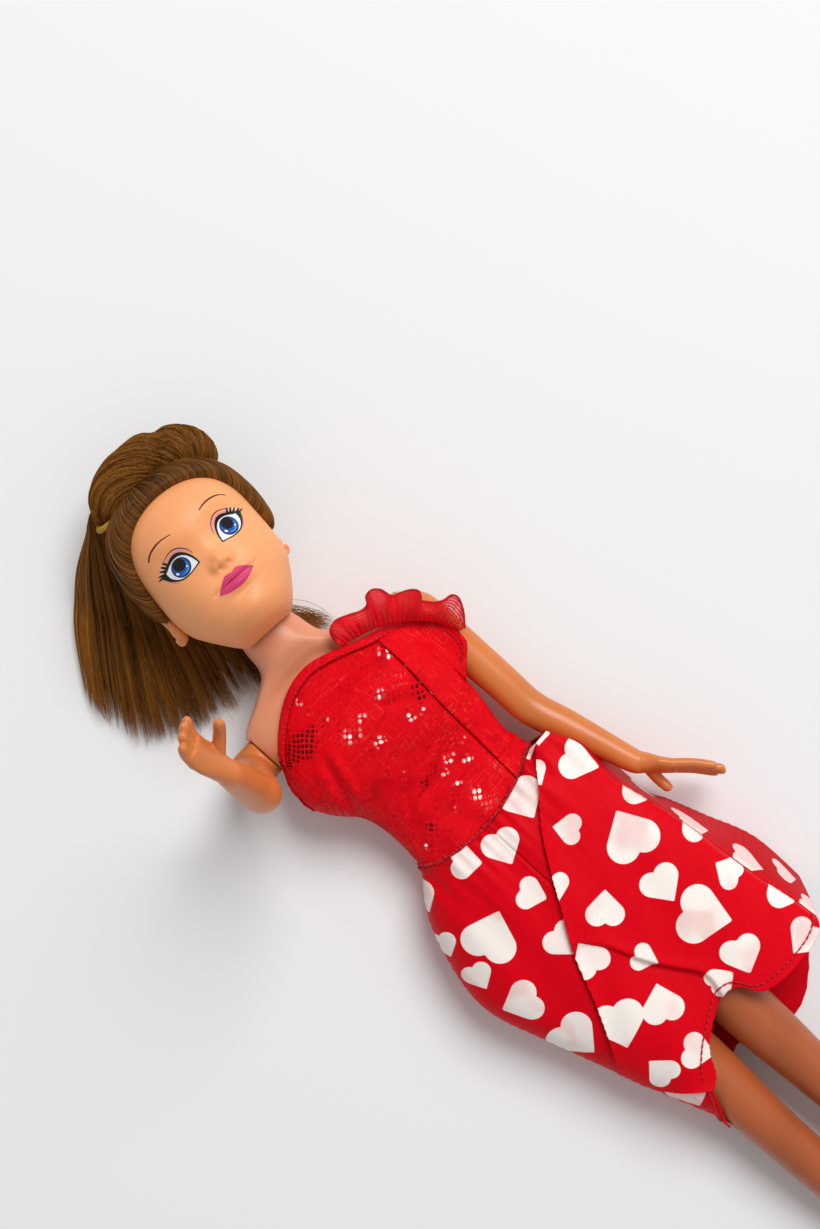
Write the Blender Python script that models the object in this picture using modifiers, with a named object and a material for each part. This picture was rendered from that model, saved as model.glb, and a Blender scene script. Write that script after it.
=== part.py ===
"""A jointed fashion doll that lies on its back in a one-shouldered dress.

The frame: the floor is z = 0, the head points to +Y, the face to +Z, and the doll's right is -X.
The origin is on the flat placket of the dress, under the middle of the waist.
"""

import math

import bmesh
import bpy
from mathutils import Matrix, Vector

# Fits
GAP = 0.0003
PLUG_GAP = 0.00025
CLOTH = 0.0006
OVERCUT = 0.020

# Torso: stations from the crotch up to the neck
JOINT_HEIGHT = 0.0120
SHOULDER_Y = 0.0468
HIP_Y = -0.0280
UPPER_LEAN = -0.0010
SHOULDER_HALF = 0.0243
HIP_HALF = 0.0185
CROTCH_HALF = 0.0040
CROTCH_Y = -0.0392
WAIST_HALF = 0.0150
BUST_HALF = 0.0205
BUST_Y = 0.0330
BUST_FRONT = 0.0242
BUST_SWELL = 0.0034
BUST_SPACING = 0.0100
BUST_SPREAD = 0.0085
CHEST_FRONT = 0.0215
WAIST_FRONT = 0.0190
WAIST_BACK = 0.0052
BELLY_FRONT = 0.0215
SEAT_BACK = 0.0016
BLADE_BACK = 0.0046
COLLAR_Y = 0.0575
NECK_BASE_Y = 0.0610
NECK_RADIUS = 0.0078
NECK_Z = 0.0150
NECK_TOP_Y = 0.0670

# Limb sockets and plugs
SHOULDER_CAP_RADIUS = 0.0060
SHOULDER_RECESS = 0.0014
PLUG_RADIUS = 0.0022
PLUG_HEAD_RADIUS = 0.0034
PLUG_HEAD_LENGTH = 0.0016
PLUG_REACH_IN = 0.0065
PLUG_REACH_OUT = 0.0050
HIP_CAP_RADIUS = 0.0102
HIP_PLUG_REACH_OUT = 0.0060
HIP_PLUG_REACH_IN = 0.0034

# Arms
UPPER_ARM_RADIUS = 0.0049
ELBOW_RADIUS = 0.0045
FOREARM_RADIUS = 0.0042
WRIST_RADIUS = 0.0030
ARM_CENTRE = 0.0292
ARM_CAP_OUT = 0.0341
LEFT_ELBOW = (0.0286, 0.0056, 0.0100)
LEFT_WRIST = (0.0360, -0.0225, 0.0128)
LEFT_PALM = (0.0402, -0.0285, 0.0132)
LEFT_TIPS = (0.0500, -0.0408, 0.0135)
LEFT_ACROSS = (-0.0025, -0.0016, -0.0095)
LEFT_THUMB = (0.0368, -0.0342, 0.0100)
RIGHT_ELBOW = (-0.0272, 0.0413, 0.0520)
RIGHT_WRIST = (-0.0255, 0.0500, 0.0765)
RIGHT_PALM = (-0.0257, 0.0570, 0.0838)
RIGHT_TIPS = (-0.0230, 0.0625, 0.0905)
RIGHT_ACROSS = (0.0067, 0.0049, -0.0056)
RIGHT_THUMB = (-0.0175, 0.0585, 0.0850)
PALM_HALF_WIDTH = 0.0038
PALM_HALF_DEPTH = 0.0020
FINGER_RADIUS = 0.00118
THUMB_RADIUS = 0.00135

# Legs
LEG_X = 0.0087
THIGH_HALF = 0.0075
THIGH_DEPTH = 0.0088
KNEE_HALF = 0.0061
KNEE_DEPTH = 0.0066
CALF_HALF = 0.0056
CALF_DEPTH = 0.0064
ANKLE_HALF = 0.0037
ANKLE_DEPTH = 0.0042
KNEE_Y = -0.1100
CALF_Y = -0.1290
ANKLE_Y = -0.1590
HEEL_Y = -0.1670
BALL_Y = -0.1815
TOES_Y = -0.1850
FOOT_HALF = 0.0058
HEEL_BACK = 0.0010
BALL_Z = 0.0118
TOE_RADIUS = 0.0014

# Head: sizes in its own frame, whose origin is the pivot at the top of the neck
HEAD_HALF = 0.0167
HEAD_HEIGHT = 0.0445
FACE_FRONT = 0.0258
SKULL_BACK = 0.0092
HEAD_TURN = math.radians(10)
HEAD_LEAN = math.radians(5.7)
NOSE_Y = 0.0182
NOSE_HEIGHT = 0.0036
MOUTH_Y = 0.0131
LIP_HEIGHT = 0.0011
CHIN_Y = 0.0050
CHIN_HEIGHT = 0.0013
EYE_X = 0.0078
EYE_Y = 0.0240
EYE_HOLLOW = 0.0010
CHEEK_HEIGHT = 0.0007
EAR_Y = 0.0148
EAR_Z = 0.0022
EAR_HEIGHT = 0.0085
EAR_DEPTH = 0.0050
EAR_THICKNESS = 0.0036
EAR_TILT = math.radians(12)
EAR_FLARE = math.radians(16)
NECK_SOCKET = 0.0088
KNOB_NECK_RADIUS = 0.0030
KNOB_RADIUS = 0.0056
KNOB_LENGTH = 0.0120

# Hair
HAIR_THICKNESS = 0.0034
HAIRLINE_TOP_Y = 0.0393
HAIRLINE_TOP_Z = 0.0190
HAIRLINE_EAR_Y = 0.0150
HAIRLINE_EAR_Z = 0.0066
BUN_RADIUS = 0.0058
BUN_ABOVE_CROWN = 0.0069
BUN_RISE = HEAD_HEIGHT + BUN_ABOVE_CROWN
BUN_SHIFT = 0.0027
BUN_HALF_LENGTH = 0.0143
BAND_RADIUS = 0.0034
BAND_WIRE = 0.0008
TAIL_LENGTH = 0.0470
TAIL_THICKNESS = 0.0110
TAIL_UNDER = 0.0036

# Dress
WAIST_SEAM_Y = -0.0005
BODICE_HALF = 0.0234
BODICE_WAIST_HALF = 0.0208
BODICE_WAIST_FRONT = 0.0212
BODICE_BUST_FRONT = 0.0292
PLACKET_HALF = 0.0050
PLACKET_BOTTOM = -0.0130
TAPE_THICKNESS = 0.0006
SEAM_RADIUS = 0.0009
HEM_RADIUS = 0.0009
SKIRT_START_Y = -0.0030
SKIRT_WAIST_FRONT = 0.0205
SKIRT_FRONT = 0.0255
SKIRT_DROOP = 0.0040
SKIRT_HALF = 0.0358
SKIRT_LENGTH = 0.0960
SKIRT_FOLD = 0.0012
SKIRT_SIDE_HIGH = 0.0205
SKIRT_SIDE_LOW = 0.0070
SKIRT_FOOT_SHARE = 0.97
SKIRT_RISE_SHARE = 0.06
CREASE_START_SHARE = 0.42
RUFFLE_WIDTH = 0.0085
RUFFLE_WAVE = 0.0022

# Facets
ROUND_COUNT = 18
FINE_COUNT = 28
THIN_COUNT = 8

PARTS = "fashion_doll"
CUTTERS = "cutters"

MATERIALS = {
    "body_plastic": ((0.72, 0.27, 0.15, 1.0), 0.42),
    "head_vinyl": ((0.93, 0.36, 0.13, 1.0), 0.48),
    "limb_plastic": ((0.62, 0.20, 0.06, 1.0), 0.36),
    "plug_plastic": ((0.70, 0.66, 0.58, 1.0), 0.50),
    "hair_fibre": ((0.10, 0.040, 0.008, 1.0), 0.45),
    "elastic": ((0.50, 0.24, 0.02, 1.0), 0.60),
    "bodice_knit": ((0.72, 0.005, 0.010, 1.0), 0.55),
    "skirt_satin": ((0.80, 0.004, 0.012, 1.0), 0.38),
    "ruffle_net": ((0.75, 0.010, 0.020, 1.0), 0.60),
    "closure_tape": ((0.70, 0.010, 0.015, 1.0), 0.80),
}


def clear_scene():
    for thing in list(bpy.data.objects):
        bpy.data.objects.remove(thing, do_unlink=True)


def make_collection(name, helper):
    group = bpy.data.collections.new(name)
    bpy.context.scene.collection.children.link(group)
    group.hide_render = helper
    return group


def make_material(name):
    colour, roughness = MATERIALS[name]
    material = bpy.data.materials.new(name)
    material.use_nodes = True
    shader = material.node_tree.nodes["Principled BSDF"]
    shader.inputs["Base Color"].default_value = colour
    shader.inputs["Roughness"].default_value = roughness
    material.diffuse_color = colour
    return material


def own_material(thing, name):
    """Each sub-part gets a material of its own, made from the shared look."""
    material = make_material(name)
    material.name = thing.name + "_" + name
    thing.data.materials.append(material)


def link(thing, helper):
    if helper:
        bpy.data.collections[CUTTERS].objects.link(thing)
        thing.hide_render = True
        thing.display_type = "WIRE"
    else:
        bpy.data.collections[PARTS].objects.link(thing)
    return thing


def mesh_object(name, points, faces, helper=False, smooth=True):
    mesh = bpy.data.meshes.new(name)
    mesh.from_pydata([tuple(p) for p in points], [], faces)
    built = bmesh.new()
    built.from_mesh(mesh)
    bmesh.ops.recalc_face_normals(built, faces=built.faces)
    if built.calc_volume(signed=True) < 0:
        bmesh.ops.reverse_faces(built, faces=built.faces)
    built.to_mesh(mesh)
    built.free()
    for face in mesh.polygons:
        face.use_smooth = smooth
    return link(bpy.data.objects.new(name, mesh), helper)


def loft(name, rings, helper=False):
    """A closed solid through rings of equal count, with flat ends."""
    count = len(rings[0])
    points = [p for ring in rings for p in ring]
    faces = [list(range(count))]
    for row in range(len(rings) - 1):
        for step in range(count):
            after = (step + 1) % count
            low = row * count
            faces.append([low + step, low + after, low + count + after, low + count + step])
    last = (len(rings) - 1) * count
    faces.append([last + step for step in reversed(range(count))])
    return mesh_object(name, points, faces, helper)


def box(name, low, high, helper=True):
    """A box between two corners, by default a cutter."""
    corners = [(x, y, z) for x in (low[0], high[0]) for y in (low[1], high[1]) for z in (low[2], high[2])]
    faces = [(0, 1, 3, 2), (4, 6, 7, 5), (0, 4, 5, 1), (2, 3, 7, 6), (0, 2, 6, 4), (1, 5, 7, 3)]
    return mesh_object(name, corners, faces, helper, smooth=False)


def boolean(thing, other, operation):
    modifier = thing.modifiers.new(operation.lower() + "_" + other.name, "BOOLEAN")
    modifier.operation = operation
    modifier.solver = "EXACT"
    modifier.object = other


def cut(thing, other):
    boolean(thing, other, "DIFFERENCE")


def keep_common(thing, other):
    boolean(thing, other, "INTERSECT")


def unite(thing, other):
    boolean(thing, other, "UNION")


def keep_piece(whole, name):
    """A visible copy of a helper form, to be cut down to one piece of it."""
    piece = whole.copy()
    piece.data = whole.data.copy()
    piece.name = name
    piece.hide_render = False
    piece.display_type = "TEXTURED"
    return link(piece, helper=False)


def lerp(a, b, share):
    return a + (b - a) * share


def smooth_rows(rows, steps):
    """Rows of numbers made denser by a curve that goes through each of them."""
    out = []
    for i in range(len(rows) - 1):
        before = rows[max(i - 1, 0)]
        start = rows[i]
        end = rows[i + 1]
        after = rows[min(i + 2, len(rows) - 1)]
        for k in range(steps):
            t = k / steps
            out.append(tuple(curve_value(*four, t) for four in zip(before, start, end, after)))
    out.append(tuple(rows[-1]))
    return out


def curve_value(a, b, c, d, t):
    """A Catmull-Rom curve through b and c."""
    return b + t / 2 * ((c - a) + t * ((2 * a - 5 * b + 4 * c - d) + t * (3 * b - a - 3 * c + d)))


def flat_ring(x_mid, y, half, back, front, count, squareness=1.0):
    """An oval at one y whose back and front differ: back and front are heights."""
    middle = (back + front) / 2
    points = []
    for step in range(count):
        angle = 2 * math.pi * (step + 0.5) / count
        x = signed_power(math.cos(angle), squareness) * half
        z = signed_power(math.sin(angle), squareness) * (front - back) / 2
        points.append(Vector((x_mid + x, y, middle + z)))
    return points


def signed_power(value, power):
    return math.copysign(abs(value) ** power, value)


def tube_rings(path, radii, count, flat_axis=None, flatness=1.0):
    """Round rings along a path. With a flat axis, each ring is flattened along it."""
    rings = []
    side = None
    for i, here in enumerate(path):
        ahead = path[min(i + 1, len(path) - 1)] - path[max(i - 1, 0)]
        ahead.normalize()
        guide = flat_axis if flat_axis is not None else Vector((1, 0, 0))
        if side is not None and flat_axis is None:
            guide = side
        up = ahead.cross(guide).normalized()
        side = up.cross(ahead).normalized()
        ring = []
        for step in range(count):
            angle = 2 * math.pi * step / count
            spoke = side * math.cos(angle) * flatness + up * math.sin(angle)
            ring.append(here + spoke * radii[i])
        rings.append(ring)
    return rings


def x_rings(sign, centre_y, centre_z, profile, count):
    """Rings round a line along X, from (distance from the middle, radius) pairs."""
    rings = []
    for distance, radius in profile:
        ring = []
        for step in range(count):
            angle = 2 * math.pi * (step + 0.5) / count
            y = centre_y + radius * math.cos(angle)
            z = centre_z + radius * math.sin(angle)
            ring.append(Vector((sign * distance, y, z)))
        rings.append(ring)
    return rings


def ball(name, centre, sizes, helper=True, segments=16, turn=None):
    built = bmesh.new()
    bmesh.ops.create_uvsphere(built, u_segments=segments, v_segments=segments // 2, radius=1)
    matrix = Matrix.Diagonal((*sizes, 1))
    if turn is not None:
        matrix = turn @ matrix
    bmesh.ops.transform(built, matrix=Matrix.Translation(centre) @ matrix, verts=built.verts)
    mesh = bpy.data.meshes.new(name)
    built.to_mesh(mesh)
    built.free()
    for face in mesh.polygons:
        face.use_smooth = True
    return link(bpy.data.objects.new(name, mesh), helper)


# Torso


def lean_at(y):
    return UPPER_LEAN * max(y, 0) / SHOULDER_Y


def torso_rows():
    """(y, half width, back height, front height) from the crotch to the neck."""
    return [
        (CROTCH_Y, CROTCH_HALF * 0.9, JOINT_HEIGHT * 0.62, JOINT_HEIGHT * 1.45),
        (lerp(CROTCH_Y, HIP_Y, 0.35), HIP_HALF * 0.62, SEAT_BACK * 2.0, BELLY_FRONT * 0.93),
        (HIP_Y, HIP_HALF, SEAT_BACK, BELLY_FRONT),
        (HIP_Y * 0.5, HIP_HALF * 0.97, lerp(SEAT_BACK, WAIST_BACK, 0.4), BELLY_FRONT),
        (0, WAIST_HALF, WAIST_BACK, WAIST_FRONT),
        (BUST_Y * 0.5, WAIST_HALF * 1.1, WAIST_BACK, WAIST_FRONT * 1.05),
        (BUST_Y, BUST_HALF, BLADE_BACK, BUST_FRONT),
        (SHOULDER_Y, SHOULDER_HALF, BLADE_BACK, CHEST_FRONT),
        (lerp(SHOULDER_Y, COLLAR_Y, 0.62), SHOULDER_HALF * 0.97, BLADE_BACK * 1.35, CHEST_FRONT * 0.9),
        (COLLAR_Y, SHOULDER_HALF * 0.62, NECK_Z - NECK_RADIUS * 1.02, NECK_Z + NECK_RADIUS * 0.8),
        (NECK_BASE_Y, NECK_RADIUS * 1.18, NECK_Z - NECK_RADIUS, NECK_Z + NECK_RADIUS),
        (NECK_TOP_Y, NECK_RADIUS, NECK_Z - NECK_RADIUS, NECK_Z + NECK_RADIUS),
        *neck_dome(),
    ]


def neck_dome():
    """The rounded top of the neck, which the head turns and nods on."""
    rows = []
    for angle in (28, 52, 70):
        radius = NECK_RADIUS * math.cos(math.radians(angle))
        rise = NECK_RADIUS * math.sin(math.radians(angle))
        rows.append((NECK_TOP_Y + rise, radius, NECK_Z - radius, NECK_Z + radius))
    return rows


def bust_lift(x, y):
    """How far the bust stands out of the chest at a point."""
    lift = 0
    for side in (-1, 1):
        across = (x - lean_at(y) - side * BUST_SPACING) / BUST_SPREAD
        along = (y - BUST_Y) / BUST_SPREAD
        lift += BUST_SWELL * math.exp(-across * across - along * along)
    return lift


def torso_body(name, grow):
    """The torso's outer form, grown outwards so that it can clear room in a neighbour."""
    rings = []
    for y, half, back, front in smooth_rows(torso_rows(), 2):
        ring = flat_ring(lean_at(y), y, half + grow, back - grow, front + grow, FINE_COUNT, 0.9)
        middle = (back + front) / 2
        for point in ring:
            if point.z > middle:
                point.z += bust_lift(point.x, point.y) * (point.z - middle) / (front - middle)
        rings.append(ring)
    return loft(name, rings, helper=True)


def shoulder_line(sign):
    """Where the shoulder socket's face is."""
    return sign * SHOULDER_HALF + UPPER_LEAN - sign * SHOULDER_RECESS


def torso_cutters():
    """Everything that is taken out of the torso: sockets, plug bores and the neck bore."""
    cutters = []
    for side, sign in (("left", 1), ("right", -1)):
        face = abs(shoulder_line(sign))
        recess = SHOULDER_CAP_RADIUS + GAP
        profile = [(face, recess), (face + OVERCUT, recess)]
        rings = x_rings(sign, SHOULDER_Y, JOINT_HEIGHT, profile, ROUND_COUNT)
        cutters.append(loft("socket_" + side, rings, helper=True))
        rings = plug_rings(sign, face, SHOULDER_Y, PLUG_REACH_IN, PLUG_REACH_OUT, PLUG_GAP)
        cutters.append(loft("shoulder_bore_" + side, rings, helper=True))
        recess = HIP_CAP_RADIUS + GAP
        inner = CROTCH_HALF
        profile = [(inner, recess), (inner + OVERCUT, recess)]
        rings = x_rings(sign, HIP_Y, JOINT_HEIGHT, profile, ROUND_COUNT)
        cutters.append(loft("hip_socket_" + side, rings, helper=True))
        rings = plug_rings(sign, CROTCH_HALF + GAP, HIP_Y, HIP_PLUG_REACH_IN, HIP_PLUG_REACH_OUT, PLUG_GAP)
        cutters.append(loft("hip_bore_" + side, rings, helper=True))
        ends = sorted((sign * inner, sign * (inner + OVERCUT)))
        low = (ends[0], CROTCH_Y - OVERCUT, -OVERCUT)
        high = (ends[1], HIP_Y + THIGH_DEPTH + 2 * GAP, 2 * OVERCUT)
        cutters.append(box("thigh_room_" + side, low, high))
    centre = head_pivot()
    bore_radius = KNOB_NECK_RADIUS + GAP
    bore = [(centre.y - KNOB_LENGTH - GAP, bore_radius), (centre.y + OVERCUT, bore_radius)]
    cutters.append(loft("neck_bore", y_rings(centre, bore), helper=True))
    return cutters


def y_rings(centre, profile, count=ROUND_COUNT):
    """Rings round a line along Y through a point, from (y, radius) pairs."""
    rings = []
    for y, radius in profile:
        ring = []
        for step in range(count):
            angle = 2 * math.pi * (step + 0.5) / count
            x = centre.x + radius * math.cos(angle)
            ring.append(Vector((x, y, centre.z + radius * math.sin(angle))))
        rings.append(ring)
    return rings


def make_torso():
    whole = torso_body("torso_whole", 0)
    cutters = torso_cutters()
    for name, low_z, high_z in (
        ("torso_front", JOINT_HEIGHT + GAP / 2, 3 * OVERCUT),
        ("torso_back", -OVERCUT, JOINT_HEIGHT - GAP / 2),
    ):
        half = keep_piece(whole, name)
        low = (-5 * OVERCUT, CROTCH_Y - OVERCUT, low_z)
        room = box(name + "_room", low, (5 * OVERCUT, 5 * OVERCUT, high_z))
        keep_common(half, room)
        for cutter in cutters:
            cut(half, cutter)
        own_material(half, "body_plastic")


def plug_rings(sign, face, centre_y, reach_in, reach_out, grow):
    """A plug along X: a shaft from inside the torso to inside the limb, with a wider head inside."""
    inner = face - reach_in - grow
    step = face - reach_in + PLUG_HEAD_LENGTH + grow
    outer = face + reach_out + grow
    profile = [
        (inner, PLUG_HEAD_RADIUS + grow),
        (step, PLUG_HEAD_RADIUS + grow),
        (step, PLUG_RADIUS + grow),
        (outer, PLUG_RADIUS + grow),
    ]
    return x_rings(sign, centre_y, JOINT_HEIGHT, profile, 16)


def make_plugs():
    for side, sign in (("left", 1), ("right", -1)):
        face = abs(shoulder_line(sign))
        rings = plug_rings(sign, face, SHOULDER_Y, PLUG_REACH_IN, PLUG_REACH_OUT, 0)
        own_material(loft("shoulder_plug_" + side, rings), "plug_plastic")
        rings = plug_rings(sign, CROTCH_HALF + GAP, HIP_Y, HIP_PLUG_REACH_IN, HIP_PLUG_REACH_OUT, 0)
        own_material(loft("hip_plug_" + side, rings), "plug_plastic")


# Arms


def arm_tube(name, sign, elbow, wrist):
    """Upper arm and forearm as one tapering tube from the shoulder cap to the wrist."""
    start = Vector((sign * ARM_CENTRE + UPPER_LEAN, SHOULDER_Y, JOINT_HEIGHT))
    joint = Vector(elbow)
    end = Vector(wrist)
    rows = [
        (*start, UPPER_ARM_RADIUS * 0.98),
        (*start.lerp(joint, 0.3), UPPER_ARM_RADIUS),
        (*start.lerp(joint, 0.75), lerp(UPPER_ARM_RADIUS, ELBOW_RADIUS, 0.7)),
        (*joint, ELBOW_RADIUS),
        (*joint.lerp(end, 0.35), FOREARM_RADIUS),
        (*joint.lerp(end, 0.75), lerp(FOREARM_RADIUS, WRIST_RADIUS, 0.6)),
        (*end, WRIST_RADIUS),
    ]
    dense = smooth_rows(rows, 3)
    path = [Vector(row[:3]) for row in dense]
    return loft(name, tube_rings(path, [row[3] for row in dense], ROUND_COUNT))


def hand_pieces(name, wrist, palm, tips, across, thumb):
    """A palm, four fingers, and a thumb with its own tip. Across points from the little finger to the first."""
    start = Vector(wrist)
    middle = Vector(palm)
    end = Vector(tips)
    along = (end - middle).normalized()
    sideways = Vector(across)
    sideways -= along * sideways.dot(along)
    sideways.normalize()
    pieces = []
    shares = ((0, 0.66, 1.35), (0.35, 0.85, 1.2), (0.75, 1.0, 1.0), (1.0, 1.0, 0.95), (1.15, 0.9, 0.8))
    path = [start.lerp(middle, s[0]) + along * PALM_HALF_DEPTH * max(0, s[0] - 1) * 6 for s in shares]
    rings = []
    for here, share in zip(path, shares):
        flat = lerp(WRIST_RADIUS, PALM_HALF_DEPTH, min(1, share[0] * 1.4)) * share[2]
        wide = lerp(WRIST_RADIUS, PALM_HALF_WIDTH, min(1, share[0] * 1.3)) * share[1] * 1.1
        facing = (middle - start).normalized() if share[0] < 0.5 else along
        side = (sideways - facing * sideways.dot(facing)).normalized()
        up = facing.cross(side)
        ring = []
        for step in range(ROUND_COUNT // 2):
            angle = 4 * math.pi * step / ROUND_COUNT
            ring.append(here + side * math.cos(angle) * wide + up * math.sin(angle) * flat)
        rings.append(ring)
    pieces.append(loft(name + "_palm", rings, helper=True))
    knuckles = path[-1] - along * PALM_HALF_DEPTH
    reach = (end - knuckles).length
    up = along.cross(sideways)
    for number, share in enumerate((0.78, 0.95, 1.0, 0.9)):
        place = (number - 1.5) / 1.5
        root = knuckles + sideways * place * (PALM_HALF_WIDTH - FINGER_RADIUS)
        heading = (along + sideways * place * 0.10).normalized()
        curl = up * FINGER_RADIUS * 0.8
        bend = root + heading * reach * share * 0.5 + curl * 0.4
        points = [root, bend, root + heading * reach * share * 0.92]
        points.append(points[-1] + heading * FINGER_RADIUS * 0.9)
        radii = [FINGER_RADIUS * k for k in (1.05, 1.0, 0.88, 0.35)]
        tag = name + "_finger_" + str(number)
        pieces.append(loft(tag, tube_rings(points, radii, THIN_COUNT), helper=True))
    tip = Vector(thumb)
    root = start.lerp(middle, 0.35) + sideways * PALM_HALF_WIDTH * 0.3
    knuckle = root.lerp(tip, 0.55) + sideways * THUMB_RADIUS * 0.7
    points = [root, knuckle, root.lerp(tip, 0.93), tip]
    radii = [THUMB_RADIUS * k for k in (1.15, 1.1, 0.95, 0.4)]
    pieces.append(loft(name + "_thumb", tube_rings(points, radii, THIN_COUNT), helper=True))
    return pieces


def make_arm(side, sign, elbow, wrist, palm, tips, across, thumb):
    name = "arm_" + side
    arm = arm_tube(name, sign, elbow, wrist)
    face = abs(shoulder_line(sign)) + GAP
    out = ARM_CAP_OUT + sign * UPPER_LEAN
    radius = SHOULDER_CAP_RADIUS
    profile = [
        (face, radius * 0.95),
        (face + radius * 0.1, radius),
        (lerp(face, out, 0.55), radius),
        (lerp(face, out, 0.8), radius * 0.87),
        (lerp(face, out, 0.94), radius * 0.6),
        (out, radius * 0.3),
    ]
    cap = loft(name + "_cap", x_rings(sign, SHOULDER_Y, JOINT_HEIGHT, profile, ROUND_COUNT), helper=True)
    unite(arm, cap)
    for piece in hand_pieces(name, wrist, palm, tips, across, thumb):
        unite(arm, piece)
    cut(arm, bpy.data.objects["shoulder_bore_" + side])
    own_material(arm, "limb_plastic")


# Legs


def leg_rows():
    """(y, half width, back height, front height) from the hip to the toes."""
    middle = JOINT_HEIGHT
    heel = HEEL_BACK
    return [
        (HIP_Y, THIGH_HALF * 1.06, middle - THIGH_DEPTH, middle + THIGH_DEPTH),
        (lerp(HIP_Y, KNEE_Y, 0.3), THIGH_HALF * 1.04, middle - THIGH_DEPTH, middle + THIGH_DEPTH),
        (lerp(HIP_Y, KNEE_Y, 0.72), THIGH_HALF * 0.97, middle - THIGH_DEPTH * 0.86, middle + THIGH_DEPTH * 0.9),
        (KNEE_Y, KNEE_HALF, middle - KNEE_DEPTH, middle + KNEE_DEPTH),
        (CALF_Y, CALF_HALF, middle - CALF_DEPTH * 1.25, middle + CALF_DEPTH * 0.72),
        (lerp(CALF_Y, ANKLE_Y, 0.6), CALF_HALF * 0.78, heel * 4.2, heel * 4.2 + CALF_DEPTH * 1.5),
        (ANKLE_Y, ANKLE_HALF, heel * 3.4, heel * 3.4 + ANKLE_DEPTH * 2),
        (HEEL_Y, ANKLE_HALF * 1.02, heel, heel + ANKLE_DEPTH * 2.7),
        (lerp(HEEL_Y, BALL_Y, 0.45), ANKLE_HALF * 1.12, heel * 4.6, heel * 4 + ANKLE_DEPTH * 2.35),
        (BALL_Y, FOOT_HALF, BALL_Z - ANKLE_DEPTH * 0.55, BALL_Z + ANKLE_DEPTH * 0.62),
        (TOES_Y, FOOT_HALF * 0.9, BALL_Z - ANKLE_DEPTH * 0.30, BALL_Z + ANKLE_DEPTH * 0.42),
    ]


def make_leg(side, sign):
    name = "leg_" + side
    rings = []
    for y, half, back, front in smooth_rows(leg_rows(), 2):
        rings.append(flat_ring(sign * LEG_X, y, half, back, front, ROUND_COUNT))
    leg = loft(name, rings)
    inner = CROTCH_HALF + 2 * GAP
    radius = HIP_CAP_RADIUS
    profile = [
        (inner, radius * 0.97),
        (inner + GAP, radius),
        (lerp(inner, HIP_HALF, 0.5), radius),
        (lerp(inner, HIP_HALF, 0.8), radius * 0.9),
        (lerp(inner, HIP_HALF, 0.95), radius * 0.66),
        (HIP_HALF, radius * 0.4),
    ]
    cap = loft(name + "_cap", x_rings(sign, HIP_Y, JOINT_HEIGHT, profile, ROUND_COUNT), helper=True)
    room = THIGH_DEPTH + BELLY_FRONT - JOINT_HEIGHT
    rings = x_rings(sign, HIP_Y, JOINT_HEIGHT, [(-inner, room), (inner, room)], ROUND_COUNT)
    crotch = loft(name + "_crotch", rings, helper=True)
    cut(leg, crotch)
    unite(leg, cap)
    for number in range(5):
        share = (number - 2) / 2
        size = TOE_RADIUS * (1.15 - 0.12 * number)
        x = sign * (LEG_X - share * FOOT_HALF * 0.78)
        centre = Vector((x, TOES_Y - size * (1.2 - 0.25 * number), BALL_Z))
        unite(leg, ball(name + "_toe_" + str(number), centre, (size, size * 1.9, size * 1.05), segments=8))
    cut(leg, bpy.data.objects["hip_bore_" + side])
    own_material(leg, "limb_plastic")


# Head


def head_pivot():
    return Vector((UPPER_LEAN, NECK_TOP_Y, NECK_Z))


def head_matrix():
    turn = Matrix.Rotation(HEAD_TURN, 4, "Y")
    lean = Matrix.Rotation(-HEAD_LEAN, 4, "Z")
    return Matrix.Translation(head_pivot()) @ lean @ turn


def head_rows():
    """(share of the height, share of the half width, back share, front share) from the jaw to the crown."""
    return [
        (-0.012, 0.41, 0.10, 0.52),
        (0.010, 0.475, 0.34, 0.70),
        (0.045, 0.565, 0.52, 0.83),
        (0.110, 0.70, 0.70, 0.93),
        (0.175, 0.82, 0.80, 0.96),
        (0.250, 0.93, 0.87, 0.975),
        (0.360, 0.98, 0.94, 0.985),
        (0.540, 1.000, 1.00, 0.99),
        (0.680, 1.000, 1.00, 1.02),
        (0.810, 0.925, 0.90, 0.95),
        (0.915, 0.720, 0.60, 0.76),
        (0.975, 0.430, 0.14, 0.50),
        (1.000, 0.150, -0.16, 0.27),
    ]


def bell(x, y, at_x, at_y, spread_x, spread_y):
    across = (x - at_x) / spread_x
    along = (y - at_y) / spread_y
    return math.exp(-across * across - along * along)


def face_lift(x, y):
    """How far the face stands out or in at a point of its front: nose, lips, chin, cheeks and eye hollows."""
    unit = HEAD_HALF
    lift = NOSE_HEIGHT * bell(x, y, 0, NOSE_Y, unit * 0.13, unit * 0.15)
    lift += NOSE_HEIGHT * 0.45 * bell(x, y, 0, NOSE_Y + unit * 0.22, unit * 0.10, unit * 0.30)
    for side in (-1, 1):
        lift += NOSE_HEIGHT * 0.30 * bell(x, y, side * unit * 0.14, NOSE_Y - unit * 0.03, unit * 0.09, unit * 0.10)
        lift -= EYE_HOLLOW * bell(x, y, side * EYE_X, EYE_Y, unit * 0.30, unit * 0.24)
        lift += CHEEK_HEIGHT * bell(x, y, side * unit * 0.52, MOUTH_Y + unit * 0.22, unit * 0.30, unit * 0.30)
    lift += LIP_HEIGHT * bell(x, y, 0, MOUTH_Y + unit * 0.045, unit * 0.24, unit * 0.07)
    lift += LIP_HEIGHT * bell(x, y, 0, MOUTH_Y - unit * 0.10, unit * 0.20, unit * 0.08)
    lift += CHIN_HEIGHT * bell(x, y, 0, CHIN_Y, unit * 0.30, unit * 0.22)
    return lift


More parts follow.
